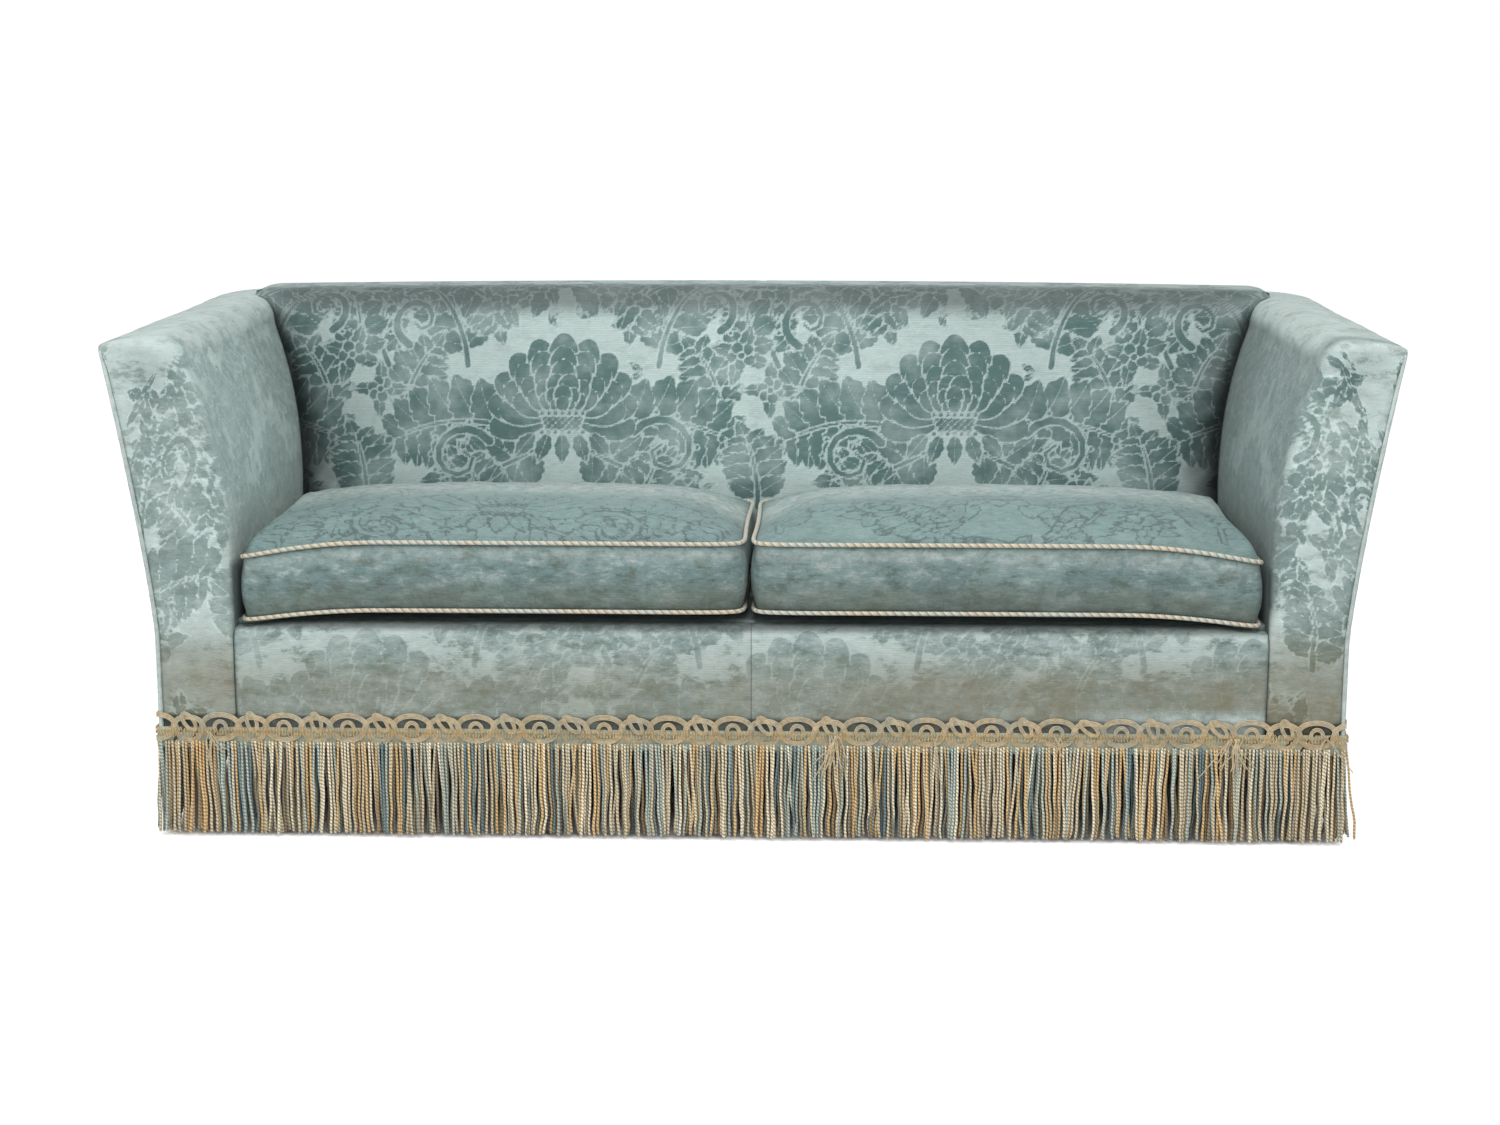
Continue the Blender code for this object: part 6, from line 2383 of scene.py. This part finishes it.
@dataclass
class InnerWork:
    """The frame's timbers, the seat's cloth, webbing and springs, and the zips."""

    timber: Finish = TimberFinish("frame_timber", "timber")
    upright: Finish = TimberFinish("post_timber", "timber", along=(60.0, 60.0, 4.0))
    leg: Finish = TimberFinish("leg_timber", "leg_timber", pale=srgb(98, 66, 44),
                               dark=srgb(62, 40, 28), along=(60.0, 60.0, 4.0))
    jute: Finish = WovenFinish("jute_webbing", "webbing", stripe=0.012,
                               stripe_colour=srgb(120, 70, 60))
    hessian: Finish = WovenFinish("seat_hessian_cloth", "hessian", pitch=0.0028)
    cambric: Finish = WovenFinish("dust_cloth", "dust_cover", warp=srgb(44, 44, 46),
                                  weft=srgb(30, 30, 33), pitch=0.0016)
    tape: Finish = WovenFinish("zip_tape", "zip", warp=srgb(120, 150, 150),
                               weft=srgb(104, 136, 138), pitch=0.0014)
    steel: Finish = SteelFinish("spring_wire", "spring_steel")
    brass: Finish = SteelFinish("zip_brass", "zip", bright=srgb(196, 168, 110))

    def cloth_copy(self, node: str, name: str, finish: Finish) -> bpy.types.Object:
        """Make a finer, slightly uneven copy of a node's cloth.

        Args:
            node: The frame's node.
            name: The piece's name.
            finish: Its finish.

        Returns:
            The piece, smooth and closed.
        """
        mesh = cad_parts[node].data.copy()
        mesh.name = name
        shape = bmesh.new()
        shape.from_mesh(mesh)
        bmesh.ops.remove_doubles(shape, verts=shape.verts, dist=1e-5)
        bmesh.ops.dissolve_limit(shape, angle_limit=math.radians(1), verts=shape.verts,
                                 edges=shape.edges)
        bmesh.ops.triangulate(shape, faces=[f for f in shape.faces if len(f.verts) > 4])
        for _ in range(3):
            long_edges = [e for e in shape.edges if e.calc_length() > 0.045]
            if long_edges:
                bmesh.ops.subdivide_edges(shape, edges=long_edges, cuts=1, use_grid_fill=True)
        bmesh.ops.triangulate(shape, faces=[f for f in shape.faces if len(f.verts) > 4])
        bmesh.ops.recalc_face_normals(shape, faces=shape.faces)
        shape.to_mesh(mesh)
        shape.free()
        obj = link_object(name, mesh)
        places = mesh_places(obj)
        low, high = places.min(0), places.max(0)
        share = 2 * (places - low) / np.maximum(high - low, 1e-6) - 1
        thin = int(np.argmin(high - low))
        middle = np.prod(np.delete(1 - share ** 2, thin, 1), axis=1)
        places[:, thin] += 0.0004 * soft_noise(places, 0.09, 2.0) * np.minimum(1, 4 * middle)
        mesh.vertices.foreach_set("co", places.astype(np.float32).ravel())
        return finish.dress(obj)

    def dress_frame(self) -> None:
        """Give every bare node of the frame its own finish."""
        words = {"_leg": self.leg, "post": self.upright, "stile": self.upright,
                 "corner_block": self.upright, "rail": self.timber, "brace": self.timber,
                 "seat_springs": self.steel}
        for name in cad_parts:
            finish = next((found for word, found in words.items() if word in name), None)
            if finish:
                finish.dress_node(name)

    def build(self) -> None:
        """Make the inner cloths and the zips."""
        rails = ["front_seat_rail", "back_seat_rail", "left_seat_rail", "right_seat_rail"]
        uprights = ["back_tuck_rail", "back_top_rail", "left_rear_post", "right_rear_post"]
        for node, name, finish, held_by in (
                ("dust_cover", "under_cloth", self.cambric, rails),
                ("seat_hessian", "spring_hessian", self.hessian, rails),
                ("seat_webbing", "woven_seat_webbing", self.jute, rails),
                ("back_webbing", "woven_back_webbing", self.jute, uprights)):
            obj = self.cloth_copy(node, name, finish)
            low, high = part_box(node)
            spans = sorted((high[axis] - low[axis] for axis in range(3)), reverse=True)[:2]
            if node == "back_webbing":
                spans[1] *= 1.05
            settle(obj, "root", node)
            LOG.info("%s spans %.3f by %.3f", name, *spans)
            declare_stretched(obj, tuple(float(span) for span in spans))
        for side in Side:
            self.zip(side)

    def zip(self, side: Side) -> None:
        """Make a cushion's zip: its tape and its teeth.

        Args:
            side: The cushion's side.
        """
        node = f"{side.word}_cushion_zip"
        low, high = (np.array(corner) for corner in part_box(node))
        z = np.linspace(low[2] + 0.0006, high[2] - 0.0006, 9)
        across, height = np.meshgrid(np.linspace(low[0] + 0.001, high[0] - 0.001, 120), z)
        places = np.stack([across, np.full_like(across, high[1] - 0.0002), height], 2)
        grid = ClothGrid(places, np.stack([across, height], 2), outward=-1.0)
        tape = grid.shell(f"{side.word}_zip_tape", float(high[1] - low[1]) * 0.6)
        self.tape.dress(tape)
        settle(tape, f"{side.word}_cushion", node)
        pitch, margin, shift = 0.0030, 0.01, 0.0007
        corners = np.array([(a * 0.0009, 0.0001 + (b + 1) * 0.0006, c * 0.0017)
                            for a in (-1, 1) for b in (-1, 1) for c in (-1, 1)])
        sides = np.array([(0, 1, 3, 2), (4, 6, 7, 5), (0, 4, 5, 1), (2, 3, 7, 6), (0, 2, 6, 4),
                          (1, 5, 7, 3)])
        index = np.arange(int((float(high[0] - low[0]) - 2 * margin) / pitch))
        middles = np.stack([low[0] + margin + index * pitch, np.full(len(index), high[1]),
                            z.mean() + np.where(index % 2, shift, -shift)], 1)
        points = (middles[:, None] + corners).reshape(-1, 3)
        faces = (8 * index[:, None, None] + sides).reshape(-1, 4)
        teeth = add_mesh(f"{side.word}_zip_teeth", points, faces.tolist(), smooth=False)
        self.brass.dress(teeth)
        settle(teeth, f"{side.word}_cushion", node)


@dataclass
class SeatCushion:
    """One loose box cushion: its padded cover and the paths of the cords on its seams.

    Args:
        side: Which end of the sofa it lies at.
        cells_x: Cells across a panel.
        cells_y: Cells along it.
        boxing_cells: Cells up the boxing.
        inner_x: Its side at the middle of the sofa.
        outer_x: Its side at the arm.
        front: Its front.
        back: Its back.
        under: How deep its lower panel bulges.
        boxing: Height of the boxing.
        crown: How high its top panel rises over the seam.
        pull: How far its sides draw in between the corners.
        corner: How far its corners are rounded.
        bulge: How far the boxing stands out.
        droop: How far its front corner by the arm hangs.
        droop_length: How far across that droop reaches.
        squeeze: How much lower the boxing is where it droops.
        arm_drop: How much lower its upper seam is beside the arm.
        puff: How far its top swells beside the arm.
        wrinkle: Depth of its wrinkles.
        gap: Room between it and the deck.
        slack: Share of the crown it has before it is filled.
        pressure: Pressure of the filling.
        shrink: How much the cloth gives while it is filled.
        cap: The most that a point may move.
        frames: How many frames the filling runs.
    """

    side: Side
    cells_x: int = 84
    cells_y: int = 58
    boxing_cells: int = 12
    inner_x: float = 0.0086
    outer_x: float = 0.8480
    front: float = -0.4249
    back: float = 0.1394
    under: float = 0.022
    boxing: float = 0.115
    crown: float = 0.050
    pull: float = 0.005
    corner: float = 0.014
    bulge: float = 0.005
    droop: float = 0.021
    droop_length: float = 0.240
    squeeze: float = 0.008
    arm_drop: float = 0.008
    puff: float = 0.013
    wrinkle: float = 0.0030
    gap: float = 0.0003
    slack: float = 0.70
    pressure: float = 4.0
    shrink: float = -0.012
    cap: float = 0.018
    frames: int = 20

    def plan(self, u: np.ndarray, v: np.ndarray, swell: np.ndarray | float = 0.0) -> tuple:
        """Give the places across and along of shares u and v of the cushion's half sizes.

        Args:
            u: Share across, -1 at the middle of the sofa.
            v: Share along, -1 at the front.
            swell: How far the sides stand out.

        Returns:
            Places x and y on the right-hand cushion.
        """
        half_x, half_y = (self.outer_x - self.inner_x) / 2, (self.back - self.front) / 2
        corner = self.corner * np.abs(u * v) ** 12
        draw_x = self.pull * (1 - v ** 2) + corner - swell
        draw_y = self.pull * (1 - u ** 2) + corner - swell
        x = (self.inner_x + self.outer_x) / 2 + u * (half_x - np.abs(u) * draw_x)
        y = (self.front + self.back) / 2 + v * (half_y - np.abs(v) * draw_y)
        return x, y

    def seam_z(self, x: np.ndarray, y: np.ndarray, upper: bool) -> np.ndarray:
        """Give the height of the lower or upper seam.

        Args:
            x: Places across the right-hand cushion.
            y: Places along it.
            upper: Whether it is the upper seam.

        Returns:
            The seam's heights.
        """
        near_arm = np.clip((x - self.outer_x + self.droop_length) / self.droop_length, 0, 1)
        forward = 1 - np.clip((y - self.front) / (self.back - self.front), 0, 1)
        fall = self.droop * near_arm ** 2 * forward
        lower = FORM.deck_z(y) + self.gap + self.under - fall
        if not upper:
            return lower
        beside = smoothstep((x - self.outer_x + 0.030) / 0.026)
        behind = smoothstep((y - self.front - 0.012) / 0.05)
        height = self.boxing - self.squeeze * fall / self.droop
        return lower - self.arm_drop * beside * behind + height

    def panel(self, upper: bool, share: float = 1.0) -> np.ndarray:
        """Give the points of the top or bottom panel.

        Args:
            upper: Whether it is the top panel.
            share: How much of the full crown it has.

        Returns:
            Points, cells_y + 1 by cells_x + 1 by 3, on the right-hand cushion.
        """
        u, v = np.meshgrid(np.linspace(-1, 1, self.cells_x + 1),
                           np.linspace(-1, 1, self.cells_y + 1))
        x, y = self.plan(u, v)
        dome = np.sqrt(np.clip((1 - np.abs(u) ** 2.6) * (1 - np.abs(v) ** 2.6), 0, None))
        z = self.seam_z(x, y, upper) + (self.crown * share if upper else -self.under * 0.96) * dome
        if upper:
            roll = np.exp(-((u - 0.950) / 0.035) ** 2) * smoothstep((v + 0.97) / 0.12)
            roll = roll * smoothstep((1.0 - v) / 0.10)
            x, z = x + 0.55 * self.puff * roll, z + self.puff * roll
        return np.stack([x, y, z], 2)

    def round_edge(self, panel: np.ndarray) -> np.ndarray:
        """Give a panel's edge points in order, from the front edge's inner end."""
        return np.concatenate([panel[0, :-1], panel[:-1, -1], panel[-1, :0:-1], panel[:0:-1, 0]])

    def ring_shares(self) -> np.ndarray:
        """Give the shares u and v of the points round the cushion's edge, one a row."""
        u, v = np.linspace(-1, 1, self.cells_x + 1), np.linspace(-1, 1, self.cells_y + 1)
        return self.round_edge(np.stack(np.meshgrid(u, v), 2)).T

    def ring_numbers(self) -> np.ndarray:
        """Give the numbers of a panel's edge points in the ring's order."""
        size = (self.cells_y + 1, self.cells_x + 1)
        return self.round_edge(np.arange(size[0] * size[1]).reshape(size))

    def cord_path(self, upper: bool) -> np.ndarray:
        """Give the path of the cord that lies against a seam.

        Args:
            upper: Whether it is the top seam.

        Returns:
            The closed path's points.
        """
        x, y = self.plan(*self.ring_shares(), 0.0041)
        path = np.stack([x * self.side.value, y, self.seam_z(x, y, upper)], 1)
        for _ in range(3):
            path = (np.roll(path, 1, 0) + 2 * path + np.roll(path, -1, 0)) / 4
        return path

    def mesh(self, share: float) -> bpy.types.Object:
        """Make the cushion's closed cover with its cloth coordinates.

        Args:
            share: How much of the full crown it starts with.

        Returns:
            The cover as one closed mesh.
        """
        shares = self.ring_shares()
        rings = []
        for step in np.linspace(0, 1, self.boxing_cells + 1)[1:-1]:
            x, y = self.plan(*shares, self.bulge * math.sin(math.pi * step))
            low, high = self.seam_z(x, y, False), self.seam_z(x, y, True)
            rings.append(np.stack([x, y, low + (high - low) * step], 1))
        top, bottom = self.panel(True, share), self.panel(False)
        points = np.concatenate([top.reshape(-1, 3), bottom.reshape(-1, 3), *rings])
        points[:, 0] *= self.side.value
        size = top.shape[0] * top.shape[1]
        quads = grid_faces(np.arange(size).reshape(top.shape[:2])).reshape(-1, 4)
        edge = self.ring_numbers()
        count = len(edge)
        levels = [edge + size, *(2 * size + row * count + np.arange(count)
                                 for row in range(len(rings))), edge]
        faces = np.concatenate([quads, quads + size, ring_faces(levels)])
        obj = add_mesh(f"{self.side.word}_cushion", points, faces.tolist())
        self.store_cloth(obj, points, faces, edge)
        return obj

    def store_cloth(self, obj: bpy.types.Object, points: np.ndarray, faces: np.ndarray,
                    edge: np.ndarray) -> None:
        """Store where each corner of each face lies on its own panel's cloth.

        Args:
            obj: The cushion's cover.
            points: Its points.
            faces: Its faces, panels first, then the boxing from its lowest row up.
            edge: The numbers of the top panel's edge points.
        """
        count = len(edge)
        flat = points[faces][..., :2].copy()
        flat[..., 0] *= self.side.value
        ring = points[edge]
        run = run_length(np.concatenate([ring, ring[:1]]))
        step = self.boxing / self.boxing_cells
        for row in range(self.boxing_cells):
            start = 2 * self.cells_x * self.cells_y + row * count
            low, high = 2 + row * step, 2 + (row + 1) * step
            flat[start:start + count, :, 0] = np.stack([run[:-1], run[1:], run[1:], run[:-1]], 1)
            flat[start:start + count, :, 1] = np.array([low, low, high, high])
        corners = all_values(obj.data.loops, "vertex_index", np.int32, 1).reshape(-1, 4)
        order = np.argmax(corners[:, :, None] == faces[:, None, :], axis=2)
        matched = np.take_along_axis(flat, order[:, :, None], 1).astype(np.float32)
        layer = obj.data.uv_layers.new(name="cloth")
        layer.data.foreach_set("uv", matched.ravel())

    def swell(self, obj: bpy.types.Object) -> None:
        """Fill the cover by cloth simulation between its pinned seams.

        Args:
            obj: The cushion's cover, a little slacker than it will be.
        """
        size = (self.cells_x + 1) * (self.cells_y + 1)
        pinned = [*self.ring_numbers().tolist(), *range(size, 2 * size)]
        obj.vertex_groups.new(name="seams").add(pinned, 1.0, "REPLACE")
        cloth = obj.modifiers.new("swell", "CLOTH")
        for name, value in {
                "quality": 5, "mass": 0.3, "tension_stiffness": 12, "compression_stiffness": 12,
                "shear_stiffness": 6, "bending_stiffness": 0.25, "vertex_group_mass": "seams",
                "use_pressure": True, "uniform_pressure_force": self.pressure,
                "shrink_min": self.shrink}.items():
            setattr(cloth.settings, name, value)
        cloth.settings.effector_weights.gravity = 0
        cloth.collision_settings.use_collision = False
        cloth.point_cache.frame_start, cloth.point_cache.frame_end = 1, self.frames
        scene = bpy.context.scene
        for number in range(1, self.frames + 1):
            scene.frame_set(number)
        filled = obj.evaluated_get(bpy.context.evaluated_depsgraph_get())
        places = all_values(filled.to_mesh().vertices, "co", np.float32, 3)
        filled.to_mesh_clear()
        obj.modifiers.remove(cloth)
        obj.vertex_groups.clear()
        scene.frame_set(1)
        start = mesh_places(obj)
        move = places - start
        far = np.linalg.norm(move, axis=1, keepdims=True)
        move *= np.minimum(1, self.cap / np.maximum(far, 1e-9))
        obj.data.vertices.foreach_set("co", (start + move).astype(np.float32).ravel())
        LOG.info("%s: filled, moved %.1f mm at most", obj.name, 1000 * float(far.max()))

    def crumple(self, obj: bpy.types.Object) -> None:
        """Press soft slanting wrinkles into the boxing and dimples into the top.

        Args:
            obj: The filled cover.
        """
        places = mesh_places(obj)
        depth = self.seam_z(np.abs(places[:, 0]), places[:, 1], True) - places[:, 2]
        wall = np.clip(np.sin(math.pi * np.clip(depth / self.boxing, 0, 1)), 0, 1)
        slant = places.copy()
        slant[:, 0] += 0.55 * places[:, 2]
        slant[:, 2] *= 0.30
        folds = soft_noise(slant, 0.052, 31 + self.side.value)
        folds = np.minimum(folds, 0.25) * self.wrinkle * wall
        places[:, 1] -= folds * smoothstep((self.front + 0.03 - places[:, 1]) / 0.03)
        crown = np.clip(-depth / self.crown, 0, 1)
        places[:, 2] += 0.8 * self.wrinkle * crown * soft_noise(places, 0.085, 37)
        obj.data.vertices.foreach_set("co", places.astype(np.float32).ravel())

    def build(self) -> bpy.types.Object:
        """Make the padded cushion, filled by simulation and subdivided once.

        Returns:
            The cushion's cover.
        """
        obj = self.mesh(self.slack)
        self.swell(obj)
        self.crumple(obj)
        finer = obj.modifiers.new("finer", "SUBSURF")
        finer.levels = finer.render_levels = 1
        obj.data = finished_mesh(obj, finer)
        return obj


@dataclass
class Studio:
    """The pale floor, the soft lamps and the camera.

    Args:
        lens: The camera's focal length in millimetres.
        place: Where the camera stands.
        pitch: How far it looks down, in degrees.
        yaw: How far it turns to the left, in degrees.
    """

    lens: float = 60.8
    place: tuple = (0.126, -4.5185, 1.299)
    pitch: float = 11.38
    yaw: float = 1.72

    def camera(self) -> None:
        """Set the camera at the photograph's viewing angle."""
        data = bpy.data.cameras.new("camera")
        data.lens, data.sensor_width = self.lens, 36
        obj = link_object("camera", data)
        obj.location = self.place
        obj.rotation_euler = (math.radians(90 - self.pitch), 0, math.radians(self.yaw))
        bpy.context.scene.camera = obj

    def world(self) -> None:
        """Light the scene evenly, with a white background for the camera."""
        world = bpy.data.worlds.new("studio")
        bpy.context.scene.world = world
        world.use_nodes = True
        world.node_tree.nodes.clear()
        graph = Graph(world.node_tree)
        soft, white = (graph.add("ShaderNodeBackground", {"Color": WHITE, "Strength": strength})
                       for strength in (0.52, 1.0))
        blend = graph.add("ShaderNodeMixShader", {0: graph.seen(), 1: soft, 2: white})
        graph.node("ShaderNodeOutputWorld", {"Surface": blend})

    @staticmethod
    def lamp(name: str, place: tuple, size: float, power: float) -> None:
        """Hang one soft square lamp that shines at the sofa's middle.

        Args:
            name: The lamp's name.
            place: Where it hangs.
            size: The length of its side.
            power: Its power in watts.
        """
        data = bpy.data.lights.new(name, "AREA")
        data.shape, data.size, data.energy = "SQUARE", size, power
        obj = link_object(name, data)
        obj.location = place
        lean = mathutils.Vector((0, 0, 0.4)) - mathutils.Vector(place)
        obj.rotation_euler = lean.to_track_quat("-Z", "Y").to_euler()

    def build(self) -> None:
        """Set the camera, the light and the wide pale floor."""
        self.camera()
        self.world()
        self.lamp("key_lamp", (0.6, -2.6, 3.6), 2.6, 92)
        self.lamp("fill_lamp", (-3.2, -1.6, 2.2), 2.0, 30)
        far = 16.0
        points = np.array([[-far, -far, 0], [far, -far, 0], [far, far, 0], [-far, far, 0]])
        floor = add_mesh("floor", points, [[0, 1, 2, 3]])
        FloorFinish("pale_floor", "").paint(floor)


def build_upholstery() -> None:
    """Build every upholstered piece, dress it and hide the frame's nodes that it stands for."""
    work = VelvetWork(Damask())
    back = InsideBack().build()
    work.dress_back(back)
    settle(back, "root", "inside_back_cover", "inside_back_pad", fill=0.7)
    for side in Side:
        word = side.word
        arm = Arm(side)
        cover = arm.build()
        work.dress_arm(cover, side)
        settle(cover, "root", f"{word}_inside_arm_cover", f"{word}_arm_pad", fill=0.7)
        panel = arm.outside()
        work.dress_plain(panel)
        settle(panel, "root", f"{word}_outside_arm_cover")
        declare_stretched(panel, (0.87, 0.66))
        welt = arm.welt()
        # the welt is painted lighter as a painted highlight, and paled partly by wear and partly by
        # a painted sheen
        work.dress_plain(welt, wear_and_sheen=0.7, shade=1.08)
        settle(welt, "root", f"{word}_arm_welt")
        cushion = SeatCushion(side)
        cover = cushion.build()
        work.dress_cushion(cover, cushion)
        settle(cover, f"{word}_cushion", f"{word}_cushion_cover", f"{word}_cushion_core",
               fill=0.8)
    border = FrontBorder().build()
    work.dress_border(border)
    settle(border, "root", "front_border_cover", "front_border_pad", fill=0.7)
    enclosure = Enclosure()
    deck = enclosure.deck()
    work.dress_plain(deck)
    settle(deck, "root", "deck_cover", "deck_pad", fill=0.7)
    panel = enclosure.rear_panel()
    work.dress_plain(panel)
    settle(panel, "root", "outside_back_cover")
    declare_stretched(panel, (2.13, 0.68))


def build_ropes() -> None:
    """Lay the rope cords round both cushions' seams."""
    cord = RopeCord(RopeFinish("rope_silk", "rope_cord"))
    for side in Side:
        for upper, word, node in ((True, "upper", "top"), (False, "lower", "bottom")):
            path = SeatCushion(side).cord_path(upper)
            rope = cord.build(f"{side.word}_cushion_{word}_rope", path)
            settle(rope, f"{side.word}_cushion", f"{side.word}_cushion_{node}_cord")


def build_trims() -> None:
    """Hang the fringe and its gimp on all four sides."""
    finishes = (
        StrandFinish("fringe_silk", "fringe"),
        BraidFinish("gimp_cord", "fringe"),
        BraidFinish("gold_stitch", "fringe", tint=srgb(224, 190, 126), other=srgb(206, 170, 106)),
        BraidFinish("fringe_tape", "fringe", tint=srgb(178, 180, 158), other=srgb(158, 166, 150)),
    )
    wide, deep = 0.9925, 0.4348
    side_x, side_y = 0.9903, 0.4320
    runs = (
        TrimRun("front", "front_fringe", (-wide, -deep), (1, 0), (0, -1), 2 * wide),
        TrimRun("right", "right_fringe", (side_x, -side_y), (0, 1), (1, 0), 2 * side_y),
        TrimRun("back", "back_fringe", (wide, deep), (-1, 0), (0, 1), 2 * wide),
        TrimRun("left", "left_fringe", (-side_x, side_y), (0, -1), (-1, 0), 2 * side_y),
    )
    for index, run in enumerate(runs):
        fringe = Fringe(run, *finishes, seed=3 + index)
        for piece in (fringe.build_tape(), fringe.build_strands(), fringe.build_gimp(),
                      fringe.build_stitches()):
            settle(piece, "root", run.node)
        if run.name == "front":
            places = ((0.085, 5, 0.065), (1.135, 16, 0.085), (1.300, 2, 0.105), (1.510, 3, 0.040),
                      (1.800, 14, 0.070), (1.945, 4, 0.060))
            settle(fringe.build_threads(places), "root", run.node)


def settle(obj: bpy.types.Object, body: str, *nodes: str, fill: float = 0.0) -> None:
    """Set a finished piece on its body, hide the frame's nodes that it stands for, and report it.

    Args:
        obj: The piece.
        body: The body that it moves with.
        nodes: The frame's nodes that it stands for.
        fill: How full a padded piece is, or 0 for a piece that isn't padded; not used.
    """
    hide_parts(*nodes)
    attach(obj, body)
    LOG.info("%s: %d faces on %s", obj.name, len(obj.data.polygons), body)


def main() -> None:
    """Build the sofa's looks in order."""
    logging.basicConfig(level=logging.INFO, format="%(name)s: %(message)s")
    bpy.context.scene.view_settings.view_transform = "Standard"
    Studio().build()
    build_upholstery()
    build_ropes()
    build_trims()
    inner = InnerWork()
    inner.dress_frame()
    inner.build()


if __name__ == "__main__":
    main()
